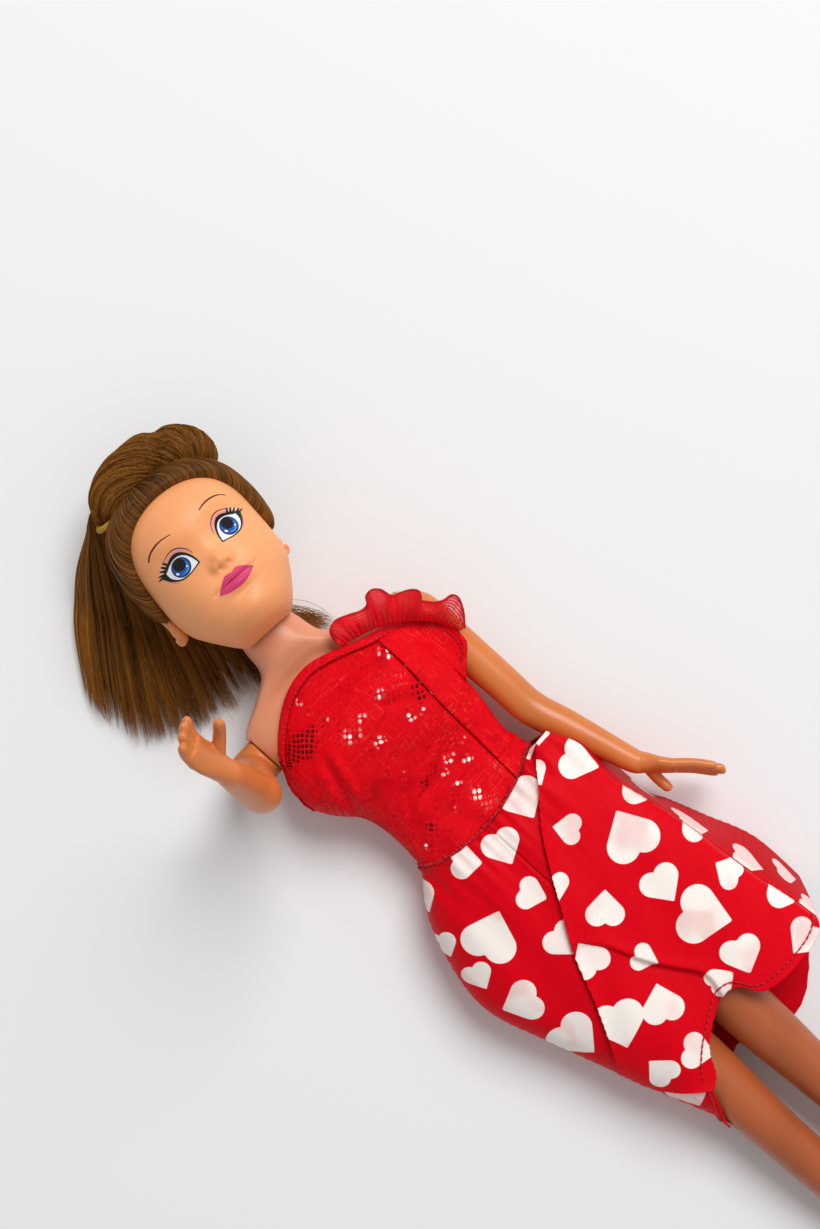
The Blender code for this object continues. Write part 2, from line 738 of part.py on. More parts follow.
def head_rings(grow, count, steps, face):
    """The head's rings in its own frame, grown outwards, with or without the face's forms."""
    rings = []
    middle_z = (FACE_FRONT - SKULL_BACK) / 2
    for share, wide, back, front in smooth_rows(head_rows(), steps):
        height = share * HEAD_HEIGHT
        centre = HEAD_HEIGHT * 0.55
        y = centre + (height - centre) * (1 + grow / centre)
        low = -SKULL_BACK * back - grow
        high = FACE_FRONT * front + grow
        ring = flat_ring(0, y, wide * HEAD_HALF + grow, low, high, count)
        for point in ring:
            if face and point.z > middle_z:
                ahead = min(1, (point.z - middle_z) / (FACE_FRONT - middle_z) * 1.6)
                point.z += face_lift(point.x, point.y) * ahead
        rings.append(ring)
    return rings


def placed(thing):
    """Moves a shape from the head's frame to its place on the doll."""
    thing.data.transform(head_matrix())
    return thing


def ear_place(sign):
    """The middle of one ear and the way it is turned, in the head's frame."""
    turn = Matrix.Rotation(EAR_TILT, 4, "X") @ Matrix.Rotation(sign * EAR_FLARE, 4, "Y")
    return Vector((sign * HEAD_HALF * 0.97, EAR_Y, EAR_Z)), turn


def make_head():
    head = loft("head_shell", head_rings(0, FINE_COUNT + 8, 2, True))
    for tag, sign in (("left", 1), ("right", -1)):
        centre, turn = ear_place(sign)
        sizes = (EAR_THICKNESS / 2, EAR_HEIGHT / 2, EAR_DEPTH / 2)
        ear = ball("ear_" + tag, centre, sizes, turn=turn)
        unite(head, ear)
        hollow = centre + Vector((sign * EAR_THICKNESS * 0.55, EAR_HEIGHT * 0.04, EAR_DEPTH * 0.16))
        sizes = (EAR_THICKNESS * 0.24, EAR_HEIGHT * 0.26, EAR_DEPTH * 0.24)
        cut(head, ball("ear_hollow_" + tag, hollow, sizes, segments=12))
    cut(head, ball("neck_socket", Vector((0, 0, 0)), (NECK_SOCKET,) * 3, segments=FINE_COUNT))
    for name in ("head_shell", "ear_left", "ear_right", "ear_hollow_left", "ear_hollow_right", "neck_socket"):
        placed(bpy.data.objects[name])
    room = knob_solid("knob_room", GAP, True)
    room.data.transform(Matrix.Translation(head_pivot()))
    cut(head, room)
    own_material(head, "head_vinyl")


def knob_solid(name, grow, helper):
    """The neck knob: a shaft in the neck and a mushroom head inside the head."""
    reach = NECK_SOCKET + KNOB_RADIUS * 0.45
    profile = [
        (-KNOB_LENGTH - grow, KNOB_NECK_RADIUS + grow),
        (reach - grow, KNOB_NECK_RADIUS + grow),
        (reach - grow, KNOB_RADIUS + grow),
        (reach + KNOB_RADIUS * 0.35, KNOB_RADIUS + grow),
        (reach + KNOB_RADIUS * 0.8 + grow, KNOB_RADIUS * 0.55 + grow),
    ]
    return loft(name, y_rings(Vector((0, 0, 0)), profile), helper)


def make_knob():
    knob = knob_solid("neck_knob", 0, False)
    knob.data.transform(Matrix.Translation(head_pivot()))
    own_material(knob, "plug_plastic")


# Hair


def hairline_cutter():
    """The half-space in front of the hairline, in the head's frame."""
    top = Vector((0, HAIRLINE_TOP_Y, HAIRLINE_TOP_Z))
    ear = Vector((0, HAIRLINE_EAR_Y, HAIRLINE_EAR_Z))
    up = (top - ear).normalized()
    out = Vector((1, 0, 0)).cross(up).normalized()
    if out.z < 0:
        out.negate()
    size = 4 * HEAD_HEIGHT
    corners = []
    for depth in (0, size):
        for across, along in ((-1, -1), (1, -1), (1, 1), (-1, 1)):
            corners.append(ear + Vector((across * size, 0, 0)) + up * along * size + out * depth)
    faces = [(0, 3, 2, 1), (4, 5, 6, 7), (0, 1, 5, 4), (1, 2, 6, 5), (2, 3, 7, 6), (3, 0, 4, 7)]
    return mesh_object("before_hairline", corners, faces, helper=True, smooth=False)


def make_scalp():
    scalp = loft("scalp_hair", head_rings(HAIR_THICKNESS, FINE_COUNT, 2, False))
    inner = loft("scalp_room", head_rings(GAP, FINE_COUNT, 2, False), helper=True)
    front = hairline_cutter()
    size = 3 * HEAD_HEIGHT
    nape = box("nape_room", (-size, -size, -size), (size, HAIRLINE_EAR_Y * 0.72, size))
    for cutter in (inner, front, nape):
        placed(cutter)
        cut(scalp, cutter)
    for tag, sign in (("left", 1), ("right", -1)):
        centre, turn = ear_place(sign)
        sizes = (EAR_THICKNESS, EAR_HEIGHT / 2 + GAP * 2, EAR_DEPTH / 2 + GAP * 2)
        cut(scalp, placed(ball("ear_room_" + tag, centre, sizes, turn=turn)))
    cut(scalp, band_room("scalp_band_room"))
    placed(scalp)
    own_material(scalp, "hair_fibre")


def bun_rings(grow):
    """The bun: a roll bent over the crown. Its rows are shares of its length, rise, depth and radius."""
    shares = [
        (-0.94, 0.885, 0.12, 0.55),
        (-0.88, 0.925, 0.15, 0.80),
        (-0.66, 0.975, 0.20, 0.93),
        (-0.30, 1.0, 0.23, 1.0),
        (0.08, 0.997, 0.24, 1.02),
        (0.46, 0.968, 0.24, 1.05),
        (0.78, 0.915, 0.23, 1.06),
        (0.93, 0.852, 0.21, 0.90),
        (0.98, 0.800, 0.20, 0.60),
        (0.98, 0.765, 0.19, 0.28),
    ]
    dense = smooth_rows(shares, 2)
    path = []
    for along, rise, ahead, _ in dense:
        path.append(Vector((BUN_SHIFT + BUN_HALF_LENGTH * along, BUN_RISE * rise, FACE_FRONT * ahead)))
    return tube_rings(path, [BUN_RADIUS * row[3] + grow for row in dense], ROUND_COUNT)


def make_bun():
    bun = placed(loft("hair_bun", bun_rings(0)))
    room = placed(loft("bun_room", head_rings(HAIR_THICKNESS + GAP, FINE_COUNT, 3, False), helper=True))
    cut(bun, room)
    cut(bun, band_room("bun_band_room"))
    own_material(bun, "hair_fibre")


def band_place():
    """The band's centre and the direction in which the hair leaves it, in the head's frame."""
    centre = Vector((BUN_SHIFT - BUN_HALF_LENGTH * 1.03, BUN_RISE * 0.883, FACE_FRONT * 0.06))
    heading = Vector((-0.75, -0.55, -0.30)).normalized()
    return centre, heading


def band_solid(name, grow, helper):
    """The elastic ring round the hair at the foot of the bun."""
    centre, heading = band_place()
    wire = BAND_WIRE + grow
    side = heading.orthogonal().normalized()
    up = heading.cross(side)
    rings = []
    for turn in range(ROUND_COUNT):
        angle = 2 * math.pi * turn / ROUND_COUNT
        out = side * math.cos(angle) + up * math.sin(angle)
        ring = []
        for step in range(THIN_COUNT):
            small = 2 * math.pi * step / THIN_COUNT
            spoke = out * (BAND_RADIUS + wire * math.cos(small))
            ring.append(centre + spoke + heading * wire * math.sin(small))
        rings.append(ring)
    count = THIN_COUNT
    points = [p for ring in rings for p in ring]
    faces = []
    for row in range(ROUND_COUNT):
        for step in range(count):
            low = row * count
            high = ((row + 1) % ROUND_COUNT) * count
            after = (step + 1) % count
            faces.append([low + step, low + after, high + after, high + step])
    return placed(mesh_object(name, points, faces, helper))


def make_band():
    own_material(band_solid("hair_band", 0, False), "elastic")


def band_room(name):
    """Room round the band, taken out of the hair on the head."""
    return placed(ball(name, band_place()[0], (BAND_RADIUS + BAND_WIRE + GAP,) * 3))


def tail_plan(across, along):
    """Where a share across and along the fan of loose hair lies on the floor."""
    centre, heading = band_place()
    root = head_matrix() @ (centre + heading * BAND_RADIUS * 1.3)
    spread = lerp(-1, 1, across)
    outer = Vector((root.x - TAIL_LENGTH * 0.68, root.y - TAIL_LENGTH * 0.64))
    middle = Vector((root.x - TAIL_LENGTH * 0.31, root.y - TAIL_LENGTH * 1.00))
    inner = Vector((root.x + TAIL_LENGTH * 0.36, root.y - TAIL_LENGTH * 1.14))
    low = (1 - across) * (1 - across)
    high = across * across
    tip = outer * low + (middle * 2 - (outer + inner) / 2) * 2 * across * (1 - across) + inner * high
    start = Vector((root.x - BAND_RADIUS * 0.5, root.y)) + Vector((0.55, -0.8)) * spread * BAND_RADIUS * 0.8
    bow = Vector((-0.9, 0.35)) * TAIL_LENGTH * 0.13 * math.sin(math.pi * along) * (1 - across * 0.7)
    return start.lerp(tip, along) + bow, root.z


def tail_solid(name, columns=12, rows=10):
    top = []
    bottom = []
    for row in range(rows + 1):
        along = row / rows
        for column in range(columns + 1):
            across = column / columns
            place, root_z = tail_plan(across, along)
            edge = math.sqrt(max(0, 1 - (2 * across - 1) ** 2))
            thick = lerp(BAND_RADIUS * 1.6, lerp(TAIL_THICKNESS, TAIL_UNDER, across), min(1, along * 1.6))
            thick *= lerp(1, 0.55, along) * lerp(0.35, 1, edge)
            low = lerp(root_z - BAND_RADIUS * 0.8 * edge, 0, min(1, along * 1.9) ** 0.8)
            top.append(Vector((place.x, place.y, low + thick)))
            bottom.append(Vector((place.x, place.y, low)))
    count = len(top)
    width = columns + 1
    faces = []
    for row in range(rows):
        for column in range(columns):
            a = row * width + column
            faces.append([a, a + 1, a + width + 1, a + width])
            faces.append([count + a, count + a + width, count + a + width + 1, count + a + 1])
    border = [c for c in range(width)]
    border += [r * width + columns for r in range(1, rows + 1)]
    border += [rows * width + c for c in reversed(range(columns))]
    border += [r * width for r in reversed(range(1, rows))]
    for i, a in enumerate(border):
        b = border[(i + 1) % len(border)]
        faces.append([a, count + a, count + b, b])
    return mesh_object(name, top + bottom, faces)


def make_tail():
    tail = tail_solid("ponytail")
    centre, heading = band_place()
    path = [centre + heading * reach for reach in (-BAND_WIRE * 1.5, 0, BAND_RADIUS, BAND_RADIUS * 2)]
    inside = BAND_RADIUS - BAND_WIRE - GAP
    rings = tube_rings(path, [inside, inside, inside * 1.1, inside], ROUND_COUNT)
    root = placed(loft("tail_root", rings, helper=True))
    unite(tail, root)
    cut(tail, bpy.data.objects["bun_room"])
    grown = y_rings(head_pivot(), [(0, NECK_RADIUS + 2 * GAP), (NECK_TOP_Y, NECK_RADIUS + 2 * GAP)])
    cut(tail, loft("neck_room", grown, helper=True))
    cut(tail, placed(loft("tail_bun_room", bun_rings(GAP), helper=True)))
    cut(tail, band_solid("tail_band_room", GAP, True))
    own_material(tail, "hair_fibre")


# Dress


def bodice_rows():
    """(y, half width, back height, front height) of the bodice's outer face."""
    return [
        (WAIST_SEAM_Y * 4, BODICE_WAIST_HALF, CLOTH, BODICE_WAIST_FRONT),
        (BUST_Y * 0.2, BODICE_WAIST_HALF * 0.975, CLOTH, BODICE_WAIST_FRONT * 0.99),
        (BUST_Y * 0.45, BODICE_WAIST_HALF * 0.985, CLOTH, BODICE_WAIST_FRONT * 1.08),
        (BUST_Y * 0.72, BODICE_HALF * 0.95, CLOTH, BODICE_BUST_FRONT * 0.92),
        (BUST_Y, BODICE_HALF, CLOTH, BODICE_BUST_FRONT),
        (lerp(BUST_Y, SHOULDER_Y, 0.5), BODICE_HALF, CLOTH, BODICE_BUST_FRONT * 0.94),
        (SHOULDER_Y, SHOULDER_HALF + GAP + CLOTH, CLOTH, CHEST_FRONT + CLOTH * 2.6),
        (COLLAR_Y, SHOULDER_HALF * 0.9, CLOTH, CHEST_FRONT),
    ]


def bodice_shell(name, inset, count=FINE_COUNT + 8):
    rings = []
    rows = smooth_rows(bodice_rows(), 3)
    if inset:
        first = rows[0]
        last = rows[-1]
        rows = [(first[0] - OVERCUT, *first[1:])] + rows + [(last[0] + OVERCUT, *last[1:])]
    for y, half, back, front in rows:
        rings.append(flat_ring(lean_at(y), y, half - inset, back + inset, front - inset, count, 0.82))
    return loft(name, rings, helper=True)


def outline_prism(name, outline, low, high):
    """A cutter with a flat outline in X and Y, between two heights."""
    count = len(outline)
    points = [Vector((x, y, low)) for x, y in outline] + [Vector((x, y, high)) for x, y in outline]
    faces = [list(reversed(range(count))), [count + i for i in range(count)]]
    for i in range(count):
        after = (i + 1) % count
        faces.append([i, after, count + after, count + i])
    return mesh_object(name, points, faces, helper=True, smooth=False)


def neckline():
    """Points of the slanting neckline, from the doll's right armhole to the left shoulder."""
    outs = (-1.12, -1.10, -0.99, -0.76, -0.40, -0.05, 0.28, 0.58, 0.86, 1.12)
    ups = (0.60, 0.72, 0.90, 1.02, 1.125, 1.15, 1.10, 1.03, 0.985, 0.93)
    return smooth_rows([(BODICE_HALF * x, SHOULDER_Y * y) for x, y in zip(outs, ups)], 3)


def seam_line():
    """The princess seam from the waist up: (x, y) points."""
    shares = ((0.56, -0.2), (0.58, 0.1), (0.62, 0.5), (0.67, 0.80), (0.66, 1.3))
    return [(BODICE_HALF * x, SHOULDER_Y * y) for x, y in shares]


def make_bodice():
    outer = bodice_shell("bodice_outer", 0)
    inner = bodice_shell("bodice_inner", CLOTH)
    wide = 2 * BODICE_HALF
    bottom = WAIST_SEAM_Y
    top = neckline()
    split = [(x, max(y, bottom)) for x, y in seam_line()]
    seam_top = split[-1][0]
    meet = min(top, key=lambda point: abs(point[0] - seam_top))[1]
    front_outline = [(-wide, bottom), *[(x - GAP / 2, y) for x, y in split[:-1]], (seam_top - GAP / 2, meet)]
    front_outline += [point for point in reversed(top) if point[0] < seam_top - 2 * GAP]
    front_outline += [(-wide, top[0][1])]
    side_outline = [(x + GAP / 2, y) for x, y in split[:-1]] + [(seam_top + GAP / 2, meet)]
    side_outline += [point for point in top if point[0] > seam_top + 2 * GAP]
    side_outline += [(wide, top[-1][1]), (wide, bottom)]
    side_outline.reverse()
    middle = JOINT_HEIGHT * 0.75
    high = 2 * BODICE_BUST_FRONT
    rooms = shoulder_room() + [torso_body("torso_room", GAP)]
    for name, outline in (("bodice_front", front_outline), ("bodice_side", side_outline)):
        piece = keep_piece(outer, name)
        cut(piece, inner)
        for room in rooms:
            cut(piece, room)
        keep_common(piece, outline_prism(name + "_outline", outline, middle + GAP / 2, high))
        own_material(piece, "bodice_knit")
    back_top = SHOULDER_Y * 0.62
    for side, sign in (("left", 1), ("right", -1)):
        name = "bodice_back_" + side
        piece = keep_piece(outer, name)
        cut(piece, inner)
        near = PLACKET_HALF if side == "right" else PLACKET_HALF + GAP
        ends = sorted((near, sign * wide))
        room = box(name + "_room", (ends[0], bottom, -OVERCUT), (ends[1], back_top, middle - GAP / 2))
        keep_common(piece, room)
        if side == "left":
            lap_top = lap_height(3) + CLOTH
            start = PLACKET_HALF + GAP
            high = (start + 4 * CLOTH, back_top, lap_top)
            unite(piece, box(name + "_lap", (-PLACKET_HALF, bottom, lap_height(3)), high))
            low = (start, bottom, CLOTH * 0.9)
            unite(piece, box(name + "_riser", low, (start + CLOTH, back_top, lap_top)))
        else:
            low = (-PLACKET_HALF, PLACKET_BOTTOM, 0)
            unite(piece, box(name + "_placket", low, (PLACKET_HALF, back_top, CLOTH * 2)))
        cut(piece, rooms[-1])
        own_material(piece, "bodice_knit")


def lap_height(layer):
    """The height at which a layer of the closure starts: 1 the hooks, 2 the loops, 3 the inner lap."""
    height = CLOTH * 2 + GAP
    for _ in range(layer - 1):
        height += TAPE_THICKNESS + GAP
    return height


def shoulder_room():
    """The space that each arm turns in, taken out of the bodice."""
    rooms = []
    for side, sign in (("left", 1), ("right", -1)):
        face = abs(shoulder_line(sign)) - 2 * GAP
        room = SHOULDER_CAP_RADIUS + 4 * GAP
        profile = [(face, room), (face + OVERCUT, room)]
        rings = x_rings(sign, SHOULDER_Y, JOINT_HEIGHT, profile, ROUND_COUNT)
        rooms.append(loft("armhole_" + side, rings, helper=True))
    return rooms


def make_closure():
    for name, layer in (("hook_tape", 1), ("loop_tape", 2)):
        low = (-PLACKET_HALF + GAP, WAIST_SEAM_Y + 2 * CLOTH, lap_height(layer))
        high = (PLACKET_HALF - GAP, SHOULDER_Y * 0.60, lap_height(layer) + TAPE_THICKNESS)
        own_material(box(name, low, high, helper=False), "closure_tape")


# Skirt


def table_at(rows, where):
    """A value read from (place, value) rows, which run from high places to low ones."""
    if where >= rows[0][0]:
        return rows[0][1]
    for (start, first), (end, last) in zip(rows, rows[1:]):
        if where >= end:
            share = (start - where) / (start - end)
            share = share * share * (3 - 2 * share)
            return lerp(first, last, share)
    return rows[-1][1]


def skirt_edges(side):
    """(y, x) rows of the skirt's silhouette on one side, and of the foot of the cloth below it."""
    downs = (0.02, 0.12, 0.28, 0.40, 0.55, 0.70, 0.80, 1)
    outs = (0.214, 0.617, 0.908, 0.954, 0.745, 0.516, 0.362, 0.014)
    if side == "right":
        top = [(y, -x) for y, x in edge_rows(downs, outs)]
        return top, [(y, x * SKIRT_FOOT_SHARE) for y, x in top]
    downs = (0.02, 0.06, 0.12, 0.32, 0.38, 0.49, 0.63, 0.82)
    outs = (0.324, 0.635, 0.817, 0.836, 0.945, 1.128, 1.347, 1.347)
    foot_outs = (0.251, 0.379, 0.525, 0.763, 0.927, 1.128, 1.329, 1.311)
    return edge_rows(downs, outs), edge_rows(downs, foot_outs)


def edge_rows(downs, outs):
    """(y, x) rows from shares of the skirt's length and of the cloth's reach beyond the thigh."""
    thigh = LEG_X + THIGH_HALF
    return [(-SKIRT_LENGTH * down, lerp(thigh, SKIRT_HALF, out)) for down, out in zip(downs, outs)]


def front_hem(x):
    """Where the front hem lies along Y, at an x."""
    acrosses = (1.2, 0.94, 0.47, 0.33, 0.19, -0.26, -0.33, -0.46)
    downs = (0.78, 0.868, 0.858, 0.795, 0.785, 0.885, 0.93, 1.05)
    return table_at([(SKIRT_HALF * a, -SKIRT_LENGTH * b) for a, b in zip(acrosses, downs)], x)


def back_hem(x):
    """Where the back hem lies along Y, at an x."""
    shares = ((1.2, 0.78), (0.80, 0.95), (0.44, 1.02), (0.0, 0.96), (-0.46, 1.05))
    return table_at([(SKIRT_HALF * a, -SKIRT_LENGTH * b) for a, b in shares], x)


def overlap_line(y):
    """The x of the wrapped edge that runs from the left of the waist down to the right of the hem."""
    shares = ((0, 0.64), (0.20, 0.15), (0.40, -0.21), (0.56, -0.39), (0.74, -0.53), (1.05, -0.62))
    return table_at([(-SKIRT_LENGTH * a, SKIRT_HALF * b) for a, b in shares], y)


def crease_line(y):
    """The x of the crease that leaves the wrapped edge and runs down to the front hem."""
    shares = ((0.40, -0.21), (0.57, 0.02), (0.72, 0.24), (0.82, 0.16))
    return table_at([(-SKIRT_LENGTH * a, SKIRT_HALF * b) for a, b in shares], y)


def slope(value, width):
    """A smooth step from 0 to 1."""
    return 0.5 + 0.5 * math.tanh(value / width)


def skirt_lift(x, y):
    """The folds: how far the front of the skirt stands above its plain form."""
    fold = SKIRT_FOLD
    down = min(1, max(0, -y / SKIRT_LENGTH))
    lift = fold * 1.1 * slope(x - overlap_line(y), fold)
    lift += fold * 0.9 * bell(x, 0, overlap_line(y) + 2 * fold, 0, 2.6 * fold, 1)
    if down > CREASE_START_SHARE:
        strength = fold * min(1, (down - CREASE_START_SHARE) * 5)
        lift -= strength * slope(crease_line(y) - x, 1.6 * fold) * slope(x - overlap_line(y), fold)
    gather = math.exp(-down * 7)
    lift += fold * 0.9 * gather * math.sin(x / SKIRT_HALF * 16)
    lift += fold * 0.7 * math.sin(x / SKIRT_HALF * 7 + down * 5) * down
    return lift


def skirt_top(y):
    """How high the skirt's front lies."""
    down = -y / SKIRT_LENGTH
    rise = slope(down - SKIRT_RISE_SHARE, SKIRT_RISE_SHARE * 0.83)
    return lerp(SKIRT_WAIST_FRONT, SKIRT_FRONT, rise) - SKIRT_DROOP * max(0, down - 0.35)


def skirt_point(side, around, down):
    """A point of the cloth. Around runs from the front's middle (0) over the side to the back's middle (3)."""
    top, foot = skirt_edges(side)
    sign = 1 if side == "left" else -1
    middle = sign * GAP / 2
    front_part = min(around, 1)
    turn = math.pi / 2 * (1 - front_part)
    guess = middle
    y = 0
    for _ in range(4):
        if around <= 1:
            y = lerp(SKIRT_START_Y, front_hem(guess), down)
            edge = table_at(top, y)
            guess = middle + (edge - middle) * math.cos(turn) ** 0.85
        else:
            back_x = lerp(table_at(foot, y), middle, max(0, around - 2))
            hem = lerp(front_hem(guess), back_hem(back_x), min(1, around - 1))
            y = lerp(SKIRT_START_Y, hem, down)
            edge = table_at(top, y)
            guess = edge
    low = lerp(SKIRT_SIDE_HIGH, SKIRT_SIDE_LOW, min(1, down * 1.25)) if side == "left" else SKIRT_SIDE_LOW
    if around <= 1:
        z = low + (skirt_top(y) - low) * math.sin(turn) ** 0.62
        lifted = skirt_lift(guess, y) * math.sin(turn) ** 0.5
        return Vector((guess, y, z + lifted))
    bottom = CLOTH
    if around <= 2:
        share = around - 1
        x = lerp(edge, table_at(foot, y), min(1, share * 3.5))
        return Vector((x, y, lerp(low, bottom, share)))
    x = lerp(table_at(foot, y), middle, around - 2)
    return Vector((x, y, bottom))


def make_skirt(side):
    name = "skirt_" + side
    stations = [k / 13 for k in range(13)]
    stations += [1 + k / 3 for k in range(3)]
    stations += [2 + k / 6 for k in range(7)]
    rows = 13
    points = []
    for row in range(rows + 1):
        down = row / rows
        points += [skirt_point(side, around, down) for around in stations]
    width = len(stations)
    faces = []
    for row in range(rows):
        for column in range(width - 1):
            a = row * width + column
            faces.append([a, a + 1, a + width + 1, a + width])
    mesh = bpy.data.meshes.new(name)
    mesh.from_pydata([tuple(p) for p in points], [], faces)
    for face in mesh.polygons:
        face.use_smooth = True
    skirt = link(bpy.data.objects.new(name, mesh), False)
    shell = skirt.modifiers.new("cloth", "SOLIDIFY")
    shell.thickness = CLOTH
    shell.offset = -1 if side == "right" else 1
    shell.use_rim = True
    low = (-PLACKET_HALF - GAP, PLACKET_BOTTOM - GAP, -OVERCUT)
    cut(skirt, box(name + "_placket_room", low, (PLACKET_HALF + GAP, OVERCUT, CLOTH * 2 + GAP)))
    own_material(skirt, "skirt_satin")


# Trim


def edge_tube(name, path, radius):
    """A cord along a path that stays at one y, with flat ends."""
    rings = []
    for i, here in enumerate(path):
        ahead = (path[min(i + 1, len(path) - 1)] - path[max(i - 1, 0)]).normalized()
        side = ahead.cross(Vector((0, 1, 0))).normalized()
        up = side.cross(ahead).normalized()
        ring = []
        for step in range(THIN_COUNT):
            angle = 2 * math.pi * step / THIN_COUNT
            ring.append(here + side * radius * math.cos(angle) + up * radius * math.sin(angle))
        rings.append(ring)
    return loft(name, rings)


def make_waist_seam():
    """The gathered seam round the waist, open at the back where the dress opens."""
    y = WAIST_SEAM_Y - GAP - SEAM_RADIUS
    half = BODICE_WAIST_HALF - SEAM_RADIUS
    low = GAP + SEAM_RADIUS
    high = BODICE_WAIST_FRONT - SEAM_RADIUS
    ring = flat_ring(0, y, half, low, high, FINE_COUNT + 12, 0.82)
    first = 3 * len(ring) // 4
    ring = ring[first:] + ring[:first]
    clear = PLACKET_HALF + 2 * SEAM_RADIUS
    path = [point for point in ring if abs(point.x) > clear or point.z > JOINT_HEIGHT]
    own_material(edge_tube("waist_seam", path, SEAM_RADIUS), "bodice_knit")


def bodice_front_height(x, y):
    """The height of the bodice's outer face at a point of its front."""
    rows = sorted(smooth_rows(bodice_rows(), 3))
    below = rows[0]
    for row in rows:
        if row[0] > y:
            share = (y - below[0]) / (row[0] - below[0])
            below = tuple(lerp(a, b, share) for a, b in zip(below, row))
            break
        below = row
    _, half, back, front = below
    across = min(0.999, abs(x - lean_at(y)) / half)
    angle = math.acos(across ** (1 / 0.82))
    return (back + front) / 2 + (front - back) / 2 * math.sin(angle) ** 0.82


def make_neckline_hem():
    line = [Vector(point) for point in neckline()[7:25]]
    path = []
    for i, here in enumerate(line):
        ahead = (line[min(i + 1, len(line) - 1)] - line[max(i - 1, 0)]).normalized()
        spot = here + Vector((-ahead.y, ahead.x)) * (GAP + HEM_RADIUS)
        path.append(Vector((spot.x, spot.y, bodice_front_height(here.x, here.y) - CLOTH / 2)))
    hem = loft("neckline_hem", tube_rings(path, [HEM_RADIUS] * len(path), THIN_COUNT))
    cut(hem, bpy.data.objects["torso_room"])
    for side in ("left", "right"):
        cut(hem, bpy.data.objects["armhole_" + side])
    own_material(hem, "bodice_knit")


def ruffle_path():
    """The seam that the ruffle hangs from, from the neckline over the shoulder."""
    half = SHOULDER_HALF
    high = CHEST_FRONT
    rows = [
        (half * 0.50, SHOULDER_Y * 1.113, high * 1.01),
        (half * 0.72, SHOULDER_Y * 1.075, high * 1.035),
        (half * 0.95, SHOULDER_Y * 0.99, high * 1.03),
        (half * 1.13, SHOULDER_Y * 0.89, high * 0.98),
        (half * 1.22, SHOULDER_Y * 0.76, high * 0.90),
    ]
    return [Vector(row) for row in smooth_rows(rows, 8)]


def make_ruffle():
    path = ruffle_path()
    columns = 5
    points = []
    for i, here in enumerate(path):
        ahead = (path[min(i + 1, len(path) - 1)] - path[max(i - 1, 0)]).normalized()
        out = ahead.cross(Vector((0, 0, 1))).normalized()
        if out.y < 0 and out.x < 0:
            out.negate()
        share = i / (len(path) - 1)
        width = RUFFLE_WIDTH * (0.72 + 0.28 * math.sin(math.pi * share))
        for column in range(columns + 1):
            reach = column / columns
            wave = RUFFLE_WAVE * math.sin(share * 4.5 * 2 * math.pi) * reach
            fall = -RUFFLE_WIDTH * 0.30 * reach * reach * (0.3 + share)
            sway = ahead * RUFFLE_WAVE * 0.7 * math.cos(share * 4.5 * 2 * math.pi) * reach
            points.append(here + out * width * reach + Vector((0, 0, wave + fall)) + sway)
    width = columns + 1
    faces = []
    for row in range(len(path) - 1):
        for column in range(columns):
            a = row * width + column
            faces.append([a, a + 1, a + width + 1, a + width])
    mesh = bpy.data.meshes.new("shoulder_ruffle")
    mesh.from_pydata([tuple(p) for p in points], [], faces)
    for face in mesh.polygons:
        face.use_smooth = True
    ruffle = link(bpy.data.objects.new("shoulder_ruffle", mesh), False)
    shell = ruffle.modifiers.new("cloth", "SOLIDIFY")
    shell.thickness = CLOTH
    shell.offset = 0
    own_material(ruffle, "ruffle_net")


def main():
    clear_scene()
    make_collection(PARTS, helper=False)
    make_collection(CUTTERS, helper=True)
    make_torso()
    make_plugs()
    make_arm("left", 1, LEFT_ELBOW, LEFT_WRIST, LEFT_PALM, LEFT_TIPS, LEFT_ACROSS, LEFT_THUMB)
    make_arm("right", -1, RIGHT_ELBOW, RIGHT_WRIST, RIGHT_PALM, RIGHT_TIPS, RIGHT_ACROSS, RIGHT_THUMB)
    make_leg("left", 1)
    make_leg("right", -1)
    make_head()
    make_knob()
    make_scalp()
    make_bun()
    make_band()
    make_tail()
    make_bodice()
    make_closure()
    make_waist_seam()
    make_neckline_hem()
    make_ruffle()
    make_skirt("left")
    make_skirt("right")


if __name__ == "__main__":
    main()
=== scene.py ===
"""The looks of a jointed fashion doll that lies on its back in a one-shouldered dress.

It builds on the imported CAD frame: the floor is z = 0, the head points to +Y, the face to +Z and the
doll's right is -X. The forms of the head, hair, limbs and dress follow the CAD's and are finer.
"""

import math

import bpy
import numpy as np
from bpy.props import FloatProperty, FloatVectorProperty, IntProperty, PointerProperty
from bpy.types import Operator, Panel, PropertyGroup
from mathutils import Matrix, Vector
from mathutils.bvhtree import BVHTree
from mathutils.geometry import delaunay_2d_cdt


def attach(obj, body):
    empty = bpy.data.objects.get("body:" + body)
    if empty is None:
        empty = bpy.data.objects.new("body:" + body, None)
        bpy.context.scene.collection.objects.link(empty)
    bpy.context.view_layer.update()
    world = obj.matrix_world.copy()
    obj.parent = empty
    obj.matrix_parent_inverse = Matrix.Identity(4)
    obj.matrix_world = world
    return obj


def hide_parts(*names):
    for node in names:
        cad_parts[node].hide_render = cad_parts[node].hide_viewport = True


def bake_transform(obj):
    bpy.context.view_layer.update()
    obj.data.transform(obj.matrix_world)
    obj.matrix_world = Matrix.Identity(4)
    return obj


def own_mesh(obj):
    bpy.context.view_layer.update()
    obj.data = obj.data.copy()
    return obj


bl_info = {
    "name": "Fashion doll",
    "version": (1, 0, 0),
    "blender": (4, 5, 0),
    "location": "3D View > Sidebar > Doll",
    "description": "Builds a jointed fashion doll in a dress with a skirt of scattered hearts",
    "category": "Object",
}

